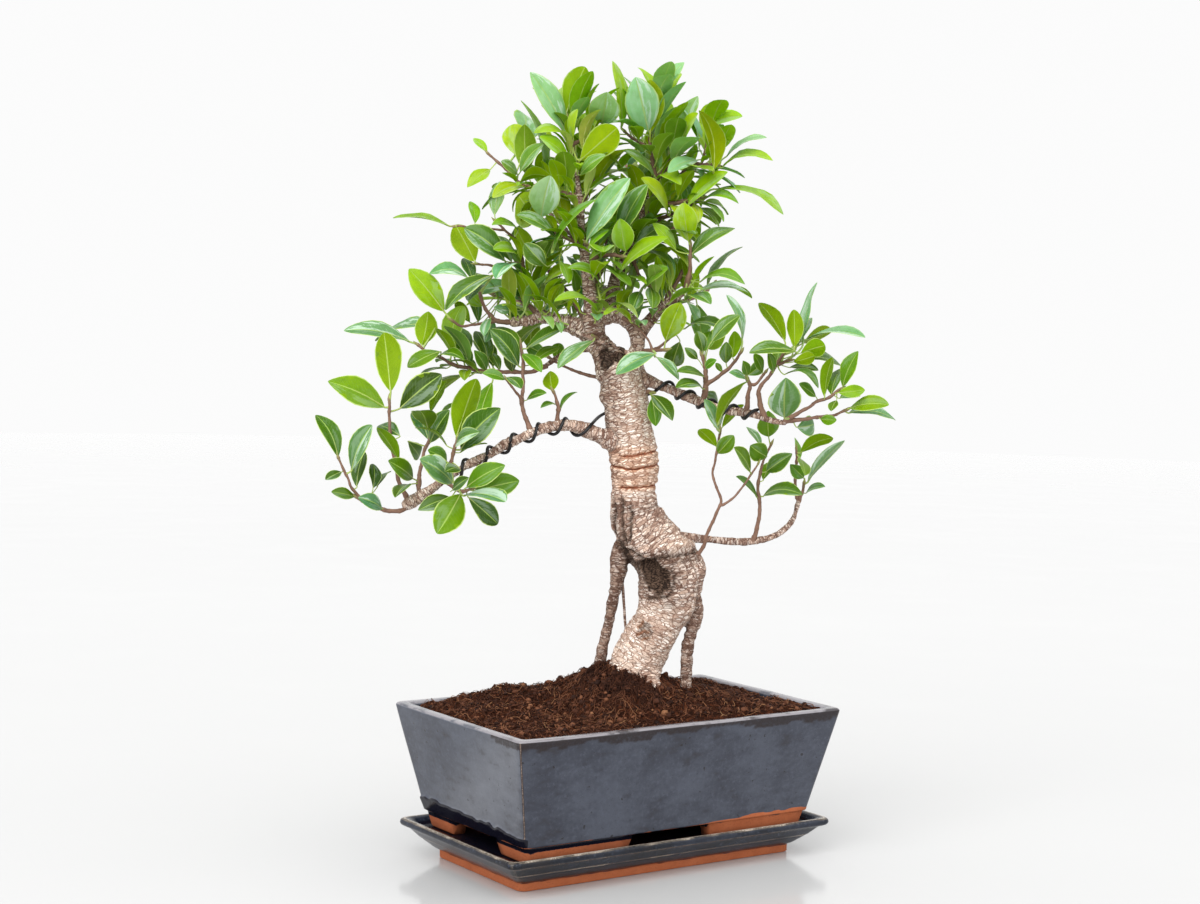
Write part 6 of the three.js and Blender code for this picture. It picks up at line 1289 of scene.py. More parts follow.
def bark_skin():
    """The trunk's skin with its relief, and the values its bark is coloured by: how dark, how pale, how
    scarred and how young.

    Relief is noise at three sizes, noise squashed along the rod for low ridges across the grain, and bowls,
    bells and lines for the wound, the hollow, the scars, the furrows and the knobs at their own places.
    """
    points, normals, faces = merged_stems()
    rod, owner = straightened(points)
    x, height = points[:, 0], points[:, 2]
    lumps = 1.1 * noise(points, 16, 61) + 0.7 * noise(points, 7, 62)
    across_grain = noise(rod * (1, 1, 3.0), 9, 63) * 0.45 + noise(rod * (1, 1, 3.0), 4.6, 64) * 0.4
    fine = 0.15 * noise(points, 2.2, 65)
    thick = smooth_step(np.array([max(row[3] for row in stem["path"]) for stem in STEMS])[owner], 4, 16)
    relief = (lumps + across_grain) * (0.25 + 0.75 * thick) + fine
    is_trunk = owner == 0
    roots = [k for k, stem in enumerate(STEMS) if stem["name"] in ("left_root", "right_root")]
    is_root = np.isin(owner, roots)
    wound, wound_dark = np.max([bowl(points, *place) for place in WOUND], axis=0)
    hollow, hollow_dark = np.max([bowl(points, *place) for place in HOLLOW], axis=0)
    red, red_dark = bowl(points, *RED_SCAR)
    patch = bowl(points, *GREY_PATCH)[1]
    red_lines, furrow, crease = (
        np.max([near_line(points, line, width) for line in lines], axis=0)
        for lines, width in ((RED_LINES, 1.1), (FURROWS, 1.7), (CREASES, 2.4)))
    shade = near_line(points, OVERHANG_SHADE, 5.5)
    relief -= 6.0 * wound + 8.0 * hollow + 1.4 * red + 2.8 * crease + 2.6 * furrow + 0.8 * red_lines
    relief += 2.8 * near_line(points, OVERHANG_LIP, 3.6) - 2.0 * shade
    relief += sum(height_out * dent(points, centre, half) for height_out, centre, half in KNOBS)
    relief += is_root * 0.6 * noise(rod * (0.2, 0.2, 1), 3.6, 72)
    rings = np.zeros(len(points))
    for heights, first in RING_SCARS:
        line_height = np.interp(x, (-14, 8, 30), heights) + 0.7 * noise(points, 7, 71)
        front = smooth_step(x, first - 2, first + 3) * smooth_step(-points[:, 1], -16, -4) * is_trunk
        off = height - line_height
        rings = np.maximum(rings, front * np.exp(-(off / 1.15) ** 2))
        relief -= 1.6 * front * np.exp(-(off / 1.3) ** 2)
        relief += front * (0.7 * np.exp(-((off - 3.2) / 2.0) ** 2) + 0.4 * np.exp(-((off + 3.2) / 2.0) ** 2))
    skin = points + normals * relief[:, None]
    # How dark: painted shade in the wound, the hollow and along its left edge, in the creases and furrows and
    # under the overhang; darker inside the red scar and at a dent below the hollow; and the own dark of the
    # red cracks and the grey patch.
    dark = np.maximum.reduce([0.95 * wound_dark, hollow_dark, 0.85 * crease, 0.9 * furrow, 0.30 * patch,
                              0.5 * shade, 0.75 * red_lines, 0.55 * red_dark,
                              0.85 * near_line(points, HOLLOW_EDGE, 5.5),
                              0.55 * dent(points, (43, -24, 235), (9, 9, 6))])
    # Painted shade on the trunk under the overhang.
    under = smooth_step(height, 240, 256) * smooth_step(height, 280, 274) * smooth_step(x, 2, 10)
    dark = np.maximum(dark, 0.40 * under * smooth_step(x, 62, 48) * is_trunk)
    upper_left = smooth_step(x, -14, -20) * smooth_step(height, 380, 400)
    dark = np.maximum(dark, 0.30 * is_root + 0.25 * is_trunk * upper_left)
    pale = smooth_step(height, 322, 336) * smooth_step(x, -14, 4) * is_trunk
    pale = np.maximum(pale, 0.9 * dent(points, (50, -14, 290), (20, 20, 15)))
    pale = np.maximum(pale, 0.85 * smooth_step(height, 240, 226) * is_trunk)
    amber = 0.20 * smooth_step(height, 330, 338) * smooth_step(height, 380, 372) * is_trunk
    scar = np.maximum.reduce([rings, 0.62 * red_lines, amber])
    values = np.stack([dark, pale * (1 - 0.8 * dark), scar, 1 - thick], -1)
    return Shape(in_pot_frame(skin), faces, bark=rod, skin=np.clip(values, 0, 1))


def bark_look():
    """Thin bark: cells squashed along the stem for its short plates, brown to pink, smaller cream dashes on
    them, and dark cracks between. Noise shifts the cells, and rust shows in the scars."""
    look = Look("fig_bark")
    rod = look.value("bark", "Vector")
    dark, pale, scar = look.parts(look.value("skin", "Color"))
    young = look.value("skin", "Alpha")
    shift = look.noise(rod, 0.11, 3)
    sway = look.add("ShaderNodeCombineXYZ", {}, {0: shift * 2.0, 1: shift * 1.5, 2: shift * 5.0})
    swayed = look.add("ShaderNodeVectorMath", {"operation": "ADD"}, {0: rod, 1: sway})
    plates = look.stretched(swayed, (0.10, 0.10, 0.36))
    plate_gap, plate = look.cell_gap(plates, 1.0, 0.75), look.cell_number(plates, 1.0, 0.75)
    dashes = look.stretched(swayed, (0.17, 0.17, 0.58))
    dash_gap, dash = look.cell_gap(dashes, 1.0, 0.75), look.cell_number(dashes, 1.0, 0.75)
    small = look.noise(look.stretched(swayed, (0.42, 0.42, 1.0)), 1.0, 3, 0.6)
    cloud = look.noise(rod, 0.045, 3)
    light = plate * 0.26 + cloud * 0.36 + small * 0.44 + pale * 0.14 - young * 0.15
    base = look.ramp(light, [(0.34, (0.19, 0.108, 0.080)), (0.48, (0.40, 0.262, 0.200)),
                             (0.62, (0.60, 0.435, 0.345)), (0.82, (0.80, 0.64, 0.53))])
    cream = look.step(dash + (small - 0.5) * 0.8, 0.50, 0.62) * look.step(dash_gap, 0.05, 0.13)
    base = look.mix(cream * (pale * 0.36 + 0.62 - young * 0.30), base, (0.94, 0.83, 0.74))
    crack = look.mix(pale, (0.13, 0.065, 0.046), (0.29, 0.155, 0.100))
    base = look.mix(look.step(dash_gap, 0.060, 0.025) * 0.5, base, crack)
    base = look.mix(look.step(plate_gap, 0.065, 0.03) * 0.85, base, crack)
    base = look.mix(look.step(small, 0.41, 0.31) * 0.6, base, (0.11, 0.056, 0.040))
    # The dark value's colour: painted shade in hollows, creases and under the overhang, and the bark's own
    # dark marks.
    gloom = look.mix(look.step(small, 0.3, 0.7), (0.026, 0.015, 0.010), (0.155, 0.096, 0.066))
    gloom = look.mix(look.step(dash_gap, 0.15, 0.04) * 0.9, gloom, (0.014, 0.008, 0.006))
    base = look.mix(dark, base, gloom)
    base = look.tinted(base, look.mix(look.step(scar, 0.0, 0.4), (1, 1, 1), (1.0, 0.77, 0.62)))
    rust = look.mix(look.step(small, 0.40, 0.60), (0.070, 0.018, 0.010), (0.29, 0.085, 0.042))
    base = look.mix(look.step(scar + (small - 0.5) * 0.6, 0.45, 0.75) * 0.95, base, rust)
    relief = look.step(plate_gap, 0.0, 0.12) * 0.5 + look.step(dash_gap, 0.0, 0.10) * 0.3 + small * 0.5
    return look.finish(Base_Color=base, Roughness=0.78 - pale * 0.12, Specular_IOR_Level=0.12,
                       Normal=look.bump(relief, 0.9, 1.0))


def thread_root():
    """The hair-thin root that hangs free beside the trunk, as a tube of its own with the same values."""
    rows = smooth(next(stem["path"] for stem in LIMBS if stem["name"] == "thread_root"), 8)
    shape = tubes(rows[:, :3], rows[:, 3], 10)
    rod, _ = straightened(shape.points)
    shape.points = in_pot_frame(shape.points)
    shape.values = dict(bark=rod, skin=np.tile([0.15, 0.1, 0.0, 0.8], (len(shape.points), 1)))
    return shape


def make_trunk():
    """The bark's skin and the one root that hangs free."""
    put("fig_trunk", joined([bark_skin(), thread_root()]), [bark_look()], ["trunk"])


# ---- training wire ----------------------------------------------------------------------------------


def limb_station(path, s):
    """At distances `s` along a limb: centre and radius, and the upward and forward ways across it."""
    path = np.array(path, float)
    run = distances_along(path[:, :3])
    centre = np.stack([np.interp(s, run, path[:, k]) for k in range(4)], -1)
    stretch = np.clip(np.searchsorted(run, s, "right") - 1, 0, len(path) - 2)
    way = unit(np.diff(path[:, :3], axis=0))[stretch]
    kernel = np.ones(9) / 9
    padded = np.pad(way, ((4, 4), (0, 0)), "edge")
    way = unit(np.stack([np.convolve(padded[:, k], kernel, "valid") for k in range(3)], -1))
    up = unit(np.array([0, 0, 1]) - way * way[:, 2:])
    front = np.array([0, -1, 0]) + way * way[:, 1:2]
    front = unit(front - up * (front * up).sum(1)[:, None])
    return centre, up, front


def coil(name, start, end, turns, start_turn):
    """Turns of wire round a limb: radius plus clearance out from its axis, the angle growing evenly."""
    path = next(limb["path"] for limb in LIMBS if limb["name"] == name)
    way = np.linspace(0, 1, round(abs(turns) * WIRE["steps_per_turn"]) + 1)
    centre, up, front = limb_station(path, start + (end - start) * way)
    angle = 2 * np.pi * (start_turn + turns * way)[:, None]
    reach = centre[:, 3:] * 1.04 + WIRE["radius"] + WIRE["clear"]
    return centre[:, :3] + up * reach * np.cos(angle) + front * reach * np.sin(angle)


def make_wire():
    """One length: coiled round the left limb, by listed points behind the trunk, and round the right limb,
    then evened three times with its neighbours' places."""
    behind = smooth([[-27, 4, 399], [-20, 16, 403], [-9, 25, 408], [4, 27, 414], [17, 22, 420],
                     [25, 11, 424]], 5)
    left = coil("left_limb", 38, 172, 5.5, 0)[::-1]
    right = coil("right_limb", 26, 122, -4.5, 0.5)
    route = np.vstack([left, behind, right])
    for _ in range(3):
        route[1:-1] = route[1:-1] * 0.5 + (route[:-2] + route[2:]) * 0.25
    shape = tubes(route, WIRE["radius"], WIRE["sides"], reference=(0.1, 0.2, 1))
    shape.points = in_pot_frame(shape.points)
    look = Look("training_wire_black")
    scuff = look.noise(look.place(), 350, 4)
    scuffed = look.step(scuff, 0.62, 0.72) * 0.4
    look.finish(Base_Color=look.mix(scuffed, (0.012, 0.011, 0.012), (0.10, 0.08, 0.07)),
                Roughness=scuff * 0.2 + 0.32, Metallic=0.35, Normal=look.bump(scuff, 0.3, 0.3))
    put("training_wire_coils", shape, [look.material], ["training_wire"])

# ---- where the leaves stand -------------------------------------------------------------------------


def half_outline(t):
    """Half the blade's width over its greatest half width, from its foot (0) to its tip (1)."""
    return np.maximum(np.sin(np.pi * np.asarray(t, float) ** 0.85), 0) ** 0.75


def length_of(vector):
    """A vector's length, by the same sums as the solids' rule."""
    return math.sqrt(vector[0] * vector[0] + vector[1] * vector[1] + vector[2] * vector[2])


def points_along(path, spacing):
    """Points no further apart than `spacing` on a path's straight stretches: places and radii."""
    rows = np.array(path, float)
    found = []
    for start, end in zip(rows, rows[1:]):
        steps = max(1, math.ceil(length_of(end[:3] - start[:3]) / spacing))
        found += [start + (end - start) * (k / steps) for k in range(steps)]
    return np.array(found + [rows[-1]])


def gaps(first, second):
    """The distance from each of the first points to each of the second."""
    return np.linalg.norm(first[:, None] - second[None], axis=2)


class Leaf:
    """A leaf's foot, tip, face normal, length, width, arch and tone, with the root of its stalk."""

    def __init__(self, foot, tip, normal, length, width, arch, tone):
        self.foot, self.tip, self.normal = foot, tip, normal
        self.length, self.width, self.arch, self.tone = length, width, arch, tone
        self.middle = (foot + tip) / 2
        self.along = unit(tip - foot)
        self.side = np.cross(self.along, normal)
        self.root = foot

    def measure(self, root):
        """Points that stand for the leaf: five across at ten places along the blade, four on the stalk."""
        self.root = root
        t = (np.arange(10) + 0.5) / 10
        half = self.width / 2 * half_outline(t)
        line = self.foot + np.outer(t, self.tip - self.foot)
        line += np.outer(self.arch * self.length * 4 * t * (1 - t), self.normal)
        s = np.array([-1, -0.5, 0, 0.5, 1])
        spread = half[:, None] * s
        points = line[:, None] + spread[..., None] * self.side
        points = points + (LEAF["fold"] * np.abs(spread))[..., None] * self.normal
        self.samples = points.reshape(-1, 3)
        self.outer = np.repeat(t > LEAF["inner"], 5)
        self.stalks = root + np.outer([0.35, 0.55, 0.75, 0.95], self.foot - root)


def seen_leaf(row):
    """A blade from the way it looks: its width as seen from the front turns it about its midline."""
    foot, tip = np.array(row[:3], float), np.array(row[3:6], float)
    seen, arch, tone = row[6:]
    length = length_of(tip - foot)
    along = (tip - foot) / length
    front = unit(np.array([0, -1, 0]) - along * -along[1])
    up = np.cross(along, front)
    if up[2] < 0 if abs(up[2]) > 0.05 else up[0] < 0:
        up = -up
    width = max(LEAF["ratio"] * length, seen)
    cosine = min(1, seen / width) * (-1 if tone == "Y" else 1)
    normal = front * cosine + up * math.sqrt(1 - cosine * cosine)
    return Leaf(foot, tip, normal, length, width, arch, tone)


def ruled_leaf(root, way, length, arch, tone):
    """A blade set by rule: `way` is its direction, and its face looks up."""
    along = unit(way - np.array([0, 0, RULED["droop"]]))
    foot = root + way * RULED["stalk"]
    normal = unit(np.array([0, 0, 1]) - along * along[2])
    return Leaf(foot, foot + along * length, normal, length, LEAF["ratio"] * length, arch, tone)


SHOOTS = len(SPRAYS)  # the leaves that stand on the limbs themselves, as one more spray
LIMB_POINTS = [(points_along(limb["path"], 5), CLEAR["wired_limb"] if limb.get("wired") else CLEAR["limb"])
               for limb in LIMBS + [dict(path=TRUNK)]]
LIMB_MARGIN = np.concatenate([np.full(len(rows), margin) for rows, margin in LIMB_POINTS])
LIMB_POINTS = np.vstack([rows for rows, _ in LIMB_POINTS])
TWIG_POINTS = [points_along(twig, 3) for spray in SPRAYS for twig in spray["twigs"]]
TWIG_OWNER = np.repeat([k for k, spray in enumerate(SPRAYS) for _ in spray["twigs"]],
                       [len(rows) for rows in TWIG_POINTS])
TWIG_POINTS = np.vstack(TWIG_POINTS)


def root_places(spray):
    """Places on the spray's twigs that aren't inside a limb."""
    places = np.vstack([points_along(twig, 2) for twig in spray["twigs"]])[:, :3]
    free = gaps(places, LIMB_POINTS[:, :3]) > LIMB_POINTS[:, 3] + CLEAR["stalk"]
    return places[free.all(1)]


def nearest_root(places, taken, leaf):
    """The free place on the twigs with the shortest stalk; places ahead of the foot count as further off."""
    if taken:
        places = places[(gaps(places, np.array(taken)) > CLEAR["root"]).all(1)]
    stalk = leaf.foot - places
    cost = np.linalg.norm(stalk, axis=1) - LEAF["forward"] * (stalk @ leaf.along)
    return places[np.argmin(cost)]


def clear_of_rounds(leaf, rounds, apart):
    """Whether the blade keeps `apart` from round points, and the stalk its own clearance."""
    reach = leaf.length / 2 + CLEAR["slack"]
    near = np.linalg.norm(rounds[:, :3] - leaf.middle, axis=1) < reach + rounds[:, 3]
    if near.any() and (gaps(rounds[near, :3], leaf.samples) < (rounds[:, 3] + apart)[near, None]).any():
        return False
    return not (gaps(rounds[:, :3], leaf.stalks) < rounds[:, 3:] + CLEAR["stalk"]).any()


def is_clear(leaf, owner, placed):
    """Whether a leaf keeps its clearances from the limbs, other sprays' twigs and every leaf placed."""
    others = TWIG_OWNER != owner
    if not clear_of_rounds(leaf, LIMB_POINTS, LIMB_MARGIN):
        return False
    if not clear_of_rounds(leaf, TWIG_POINTS[others], CLEAR["twig"]):
        return False
    reach = leaf.length / 2 + CLEAR["slack"]
    for their_owner, other in placed:
        if length_of(other.middle - leaf.middle) > reach + other.length / 2 + CLEAR["slack"]:
            continue
        if their_owner == owner:
            if (gaps(other.samples[other.outer], leaf.samples[leaf.outer]) < CLEAR["sibling"]).any():
                return False
        elif (gaps(other.samples, leaf.samples) < CLEAR["blade"]).any():
            return False
        elif min(gaps(leaf.stalks, other.samples).min(), gaps(other.stalks, leaf.samples).min(),
                 gaps(leaf.stalks, other.stalks).min()) < CLEAR["twig"]:
            return False
    return True


# How far a blade's foot and tip may move into the depth, in mm, to find room.
DEPTH_SHIFTS = [(0, 0), (0, 9), (0, -9), (5, 16), (-5, -16), (4, 26), (-4, -26), (12, 12), (-12, -12),
                (14, 32), (-14, -32), (22, 44), (-22, -44), (30, 20), (-30, -20)]


def place_seen_leaves(owner, spray, placed):
    """The spray's own rows, each at the first depth where it has room."""
    places = root_places(spray)
    for row in spray["leaves"]:
        for at_foot, at_tip in DEPTH_SHIFTS:
            shifted = list(row)
            shifted[1] += at_foot
            shifted[4] += at_tip
            leaf = seen_leaf(shifted)
            leaf.measure(nearest_root(places, [other.root for k, other in placed if k == owner], leaf))
            if is_clear(leaf, owner, placed):
                placed.append((owner, leaf))
                break


def draws(seed):
    """A repeatable run of numbers between 0 and 1."""
    state = seed
    while True:
        state = (state * 1664525 + 1013904223) % 4294967296
        yield state / 4294967296


def place_ruled_leaves(owner, spray, placed):
    """Leaves in a spiral along each twig, each turned by the golden angle from the one before."""
    draw = draws(101 + owner)

    def between(low, high):
        return low + (high - low) * next(draw)

    turn = 0
    for twig in spray["twigs"]:
        centres = np.array(twig, float)[:, :3]
        last = len(centres) - 1
        across, from_start = None, RULED["first"]
        for i in range(last):
            along = unit(centres[i + 1] - centres[max(i - 1, 0)])
            if across is None:
                across = np.array([1.0, 0, 0]) if abs(along[2]) > 0.7 else np.array([0, 0, 1.0])
            across = unit(across - along * (across @ along))
            over = np.cross(across, along)
            reach = length_of(centres[i + 1] - centres[i])
            while from_start < reach:
                root = centres[i] + (centres[i + 1] - centres[i]) * (from_start / reach)
                turn += math.radians(RULED["golden_turn"])
                for _ in range(RULED["tries"]):
                    cone = math.radians(between(*RULED["cone"]))
                    length = between(*RULED["length"])
                    arch = between(*RULED["arch"])
                    tone = "DMDMPB"[int(next(draw) * 6)]
                    angle = turn + between(-0.5, 0.5)
                    way = along * math.cos(cone)
                    way = way + (across * math.cos(angle) + over * math.sin(angle)) * math.sin(cone)
                    leaf = ruled_leaf(root, way, length, arch, tone)
                    leaf.measure(root)
                    if is_clear(leaf, owner, placed):
                        placed.append((owner, leaf))
                        break
                from_start += RULED["pitch"]
            from_start -= reach


def placed_leaves():
    """Every leaf with the number of its spray, set in the same order and by the same rules as the solids."""
    placed = []
    for owner, spray in enumerate(SPRAYS):
        place_seen_leaves(owner, spray, placed)
    for owner, spray in enumerate(SPRAYS):
        if spray.get("around"):
            place_ruled_leaves(owner, spray, placed)
    return placed


def has_room(leaf, placed, owner):
    """Whether a small leaf keeps 1.5 mm from the limbs and every other blade, apart from the feet of its own
    spray's leaves."""
    for their_owner, other in placed:
        if length_of(other.middle - leaf.middle) > (leaf.length + other.length) / 2 + 2:
            continue
        theirs = other.samples[other.outer] if their_owner == owner else other.samples
        ours = leaf.samples[leaf.outer] if their_owner == owner else leaf.samples
        if (gaps(theirs, ours) < 1.5).any():
            return False
    return not (gaps(LIMB_POINTS[:, :3], leaf.samples) < LIMB_POINTS[:, 3:] + 1.5).any()


def place_small_leaves(placed):
    """Small leaves along the twigs of the crown and the low left, in a golden-angle spiral, wherever one has
    room."""
    for owner, spray in enumerate(SPRAYS):
        draw = np.random.default_rng(55 + owner)
        if not spray["name"].startswith(("crown", "inner", "fork", "mid", "under", "left")):
            continue
        tones = [leaf.tone for k, leaf in placed if k == owner] + ["B", "M", "B"]
        turn = draw.uniform(0, 6)
        for twig in spray["twigs"]:
            rows = smooth(twig, 5)[:, :3]
            run = distances_along(rows)
            for at in np.arange(4, 0.9 * run[-1], 3.0):
                root = np.array([np.interp(at, run, rows[:, k]) for k in range(3)])
                widest = 0.87 if at > 0.6 * run[-1] else 1
                in_crown = math.hypot((root[0] + 12) / 135, (root[2] - 715) / 175) < widest
                if not in_crown and math.hypot((root[0] + 145) / 42, (root[2] - 408) / 42) > 1:
                    continue
                along = unit(rows[min(np.searchsorted(run, at) + 1, len(rows) - 1)] - root + 1e-6)
                across = unit(np.cross(along, (0.3, 0.2, 1)))
                over = np.cross(along, across)
                turn += math.radians(RULED["golden_turn"])
                for _ in range(6):
                    cone, size = math.radians(draw.uniform(25, 85)), draw.uniform(20, 50)
                    angle = turn + draw.uniform(-0.9, 0.9)
                    out = across * math.cos(angle) + over * math.sin(angle)
                    way = along * math.cos(cone) + out * math.sin(cone)
                    ahead = unit(way + np.array([0, 0, draw.uniform(-0.3, 0.35)]))
                    foot = root + way * size * 0.22
                    normal = unit(np.array([0, 0, 1]) - ahead * ahead[2])
                    tone = tones[draw.integers(len(tones))]
                    arch = draw.uniform(0.05, 0.16)
                    leaf = Leaf(foot, foot + ahead * size, normal, size, 0.46 * size, arch, tone)
                    leaf.measure(root)
                    if has_room(leaf, placed, owner):
                        placed.append((owner, leaf))
                        break


def place_shoot_leaves(placed):
    """Young slender leaves that stand up along the crown's limbs, wherever one has room."""
    draw = np.random.default_rng(77)
    for limb in LIMBS:
        rows = smooth(limb["path"], 5)
        run = distances_along(rows[:, :3])
        for at in np.arange(2, run[-1], 3.0):
            centre = np.array([np.interp(at, run, rows[:, k]) for k in range(3)])
            radius = np.interp(at, run, rows[:, 3])
            if centre[2] < 478 or radius > 10:
                continue
            for _ in range(8):
                out = unit(draw.uniform((-0.9, -0.9, -0.1), (0.9, 0.9, 1.1)))
                size = draw.uniform(24, 48)
                root = centre + out * radius
                foot = root + out * size * draw.uniform(0.15, 0.35)
                ahead = unit(out + np.array([0, 0, draw.uniform(-0.3, 0.6)]))
                normal = unit(np.array([0.02, -0.03, 1]) - ahead * (ahead @ (0.02, -0.03, 1)))
                tone = "BOPOB"[draw.integers(5)]
                leaf = Leaf(foot, foot + ahead * size, normal, size, draw.uniform(0.24, 0.36) * size,
                            draw.uniform(0.06, 0.24), tone)
                leaf.measure(root)
                if has_room(leaf, placed, SHOOTS):
                    placed.append((SHOOTS, leaf))
                    break


# ---- leaves and twigs -------------------------------------------------------------------------------

# A leaf's tone: dark, mid, bright, pale with painted sheen, yellow-green from beneath, and olive.
TONES = {"D": (0.050, 0.135, 0.010), "M": (0.135, 0.310, 0.004), "B": (0.29, 0.50, 0.002),
         "P": (0.15, 0.34, 0.095), "Y": (0.26, 0.42, 0.001), "O": (0.36, 0.47, 0.110)}
# How far each tone follows the crown's painted light.
PAINTED_LIGHT_SHARES = {"D": 0.95, "M": 0.9, "B": 0.55, "P": 0.8, "Y": 0.3, "O": 0.9}
LIGHT_THROUGH = (0.40, 0.70, 0.012)  # the colour of light that comes through a blade
THROUGH_SHARE = 0.6  # how much a blade lets through, for its green
STATIONS = np.array([0.03, 0.10, 0.21, 0.34, 0.48, 0.62, 0.75, 0.86, 0.94, 0.985])
ACROSS = np.array([-1, -0.55, 0, 0.55, 1, 0.5, 0, -0.5])  # five points over the blade, then three under it
TOP, UNDER, STALK, BARK = range(4)  # a leafy piece's materials


def stacked(leaves, name):
    """One value of every leaf, a row a leaf."""
    return np.array([getattr(leaf, name) for leaf in leaves], float)


def leaf_frame(leaves, seeds, t):
    """At stations `t` of each blade: the midline, an arch of 4t(1 - t) with a sideways bow as a sine and a
    tip hooked down by t^4, and side and normal turned slowly along it."""
    foot, tip, normal = (stacked(leaves, name)[:, None] for name in ("foot", "tip", "normal"))
    side = stacked(leaves, "side")[:, None]
    length = stacked(leaves, "length")[:, None, None]
    arch = stacked(leaves, "arch")[:, None, None]
    t = t[None, :, None]
    bow, twist, hook = (seeds[:, k][:, None, None] for k in range(3))
    line = foot + (tip - foot) * t + normal * arch * length * 4 * t * (1 - t)
    line = line + side * BLADE["bow"] * bow * length * np.sin(np.pi * t)
    line = line - normal * BLADE["hook"] * hook * length * t**4
    angle = BLADE["twist"] * twist * (t - 0.4)
    turned = normal * np.cos(angle) + side * np.sin(angle)
    return line, side * np.cos(angle) - normal * np.sin(angle), turned


def blades(leaves, seeds, colours):
    """Leaf blades: ring by ring of five points over and three under, from foot to tip.

    Half width is the sine of pi t^p to the power q: a blunt blade has a high p and a low q, so it is widest
    past the middle and round at the tip. Height across is the fold, a groove on the midrib, a puff between
    midrib and margin, and a wave along the margin.
    """
    t = STATIONS
    line, side, normal = leaf_frame(leaves, seeds, t)
    width = stacked(leaves, "width")[:, None]
    from_under = np.array([[leaf.tone == "Y"] for leaf in leaves])
    blunt = np.clip(0.38 + 0.38 * seeds[:, 5:6] + 0.40 * from_under, 0, 1)
    half = (0.50 + 0.05 * blunt) * width * np.sin(np.pi * t ** (1.02 + 0.36 * blunt)) ** (0.80 - 0.26 * blunt)
    s = ACROSS[None, None, :]
    over = np.arange(8) < 5
    spread = half[..., None] * s
    wave, phase = seeds[:, 3][:, None, None], seeds[:, 4][:, None, None] * np.pi
    along = t[None, :, None]
    lift = BLADE["fold"] * np.abs(spread) + BLADE["puff"] * half[..., None] * np.abs(np.sin(np.pi * s))
    ripple = np.abs(wave) * s**2 * np.sin(3.2 * np.pi * along + phase + s)
    lift = lift + BLADE["wave"] * half[..., None] * ripple
    lift = lift - np.where(s == 0, BLADE["groove"], 0.0) * (1 - 0.6 * along)
    sheet = np.where(over, 0.0, np.where(s == 0, BLADE["midrib"], BLADE["thick"]))
    sheet = sheet * (1 - 0.5 * along)
    points = line[:, :, None] + spread[..., None] * side[:, :, None]
    points = points + (lift - sheet)[..., None] * normal[:, :, None]
    count, rings = len(leaves), len(t)
    hook = BLADE["hook"] * seeds[:, 2:3] * stacked(leaves, "length")[:, None] * stacked(leaves, "normal")
    ends = [stacked(leaves, "foot")[:, None], (stacked(leaves, "tip") - hook)[:, None]]
    skin = np.concatenate([points.reshape(count, -1, 3), *ends], 1)
    u = np.broadcast_to(0.5 + 0.5 * s, (count, rings, 8))
    v = np.broadcast_to(along, (count, rings, 8))
    uv = np.concatenate([np.stack([u, v], -1).reshape(count, -1, 2),
                         np.tile([[[0.5, 0.0], [0.5, 1.0]]], (count, 1, 1))], 1)
    faces = tube_faces(rings, 8, count)
    per = len(faces) // count
    order = np.arange(per)
    around = np.where(order < (rings - 1) * 8, order % 8, (order - (rings - 1) * 8) % 8)
    finish = np.tile(np.where(around < 4, TOP, UNDER), count)
    hue = np.repeat(colours, rings * 8 + 2, axis=0)
    return Shape(skin.reshape(-1, 3), faces, finish, leaf=uv.reshape(-1, 2), hue=hue)


def stalks(leaves, seeds, colours):
    """Each leaf stalk from its twig, a quadratic curve into the blade, and on as the rib under it, thinning
    to the tip."""
    t = np.array([0.0, 0.12, 0.30, 0.50, 0.70, 0.88])
    line, _, normal = leaf_frame(leaves, seeds, t)
    line = line - normal * 0.3
    root, foot = stacked(leaves, "root")[:, None], stacked(leaves, "foot")[:, None]
    along = stacked(leaves, "along")[:, None]
    reach = np.linalg.norm(foot - root, axis=2, keepdims=True)
    k = np.array([0.0, 0.3, 0.58, 0.82])[None, :, None]
    foot = foot - stacked(leaves, "normal")[:, None] * 0.3
    sag = foot - along * reach * 0.25
    centres = np.concatenate([root * (1 - k) ** 2 + sag * 2 * k * (1 - k) + foot * k**2, line], 1)
    radius = np.array([1.15, 0.85, 0.8, 0.82, 0.84, 0.68, 0.52, 0.38, 0.26, 0.16])
    size = np.clip(stacked(leaves, "length")[:, None] / 46, 0.6, 1.15)
    shape = tubes(centres, radius * size, 5, hue=colours[:, None] * np.ones((1, len(radius), 1)))
    shape.finish[:] = STALK
    shape.values["leaf"] = np.full((len(shape.points), 2), 0.5)
    return shape


def twig_shape(twig, roots, age):
    """A twig: a tube on the smooth curve of its points, bent by noise, swollen as a bell where a leaf leaves
    it and at its old leaf scars, 8.5 mm apart, and ending in a bud."""
    rows = smooth(twig, 9)
    end = rows[-1, :3] - rows[-2, :3]
    end = end / length_of(end)
    bud = np.array([[0.8, 1.15], [2.2, 1.35], [4.0, 1.0], [5.8, 0.5], [7.0, 0.14]])
    tip = np.column_stack([rows[-1, :3] + end * bud[:, :1], rows[-1, 3] * bud[:, 1]])
    rows = np.vstack([rows, tip])
    run = distances_along(rows[:, :3])
    swell = np.zeros(len(rows))
    if len(roots):
        swell = np.exp(-(gaps(rows[:, :3], roots) / 2.0) ** 2).max(1)
    bend = np.stack([noise(rows[:, :3], 8, seed) for seed in (81, 82, 83)], -1)
    rows[:, :3] += 0.9 * bend * (run > 3)[:, None]
    scars = np.exp(-((run % 8.5 - 4) / 1.1) ** 2)
    radius = rows[:, 3] * (1 + 0.35 * swell + 0.22 * scars)
    old = np.clip((run[-1] - run) / 22 + age, 0, 1)
    colour = np.column_stack([old, swell, np.zeros(len(rows)), np.ones(len(rows))])
    shape = tubes(rows[:, :3], radius, 8, hue=colour[None])
    shape.finish[:] = BARK
    shape.values["leaf"] = np.full((len(shape.points), 2), 0.5)
    return shape


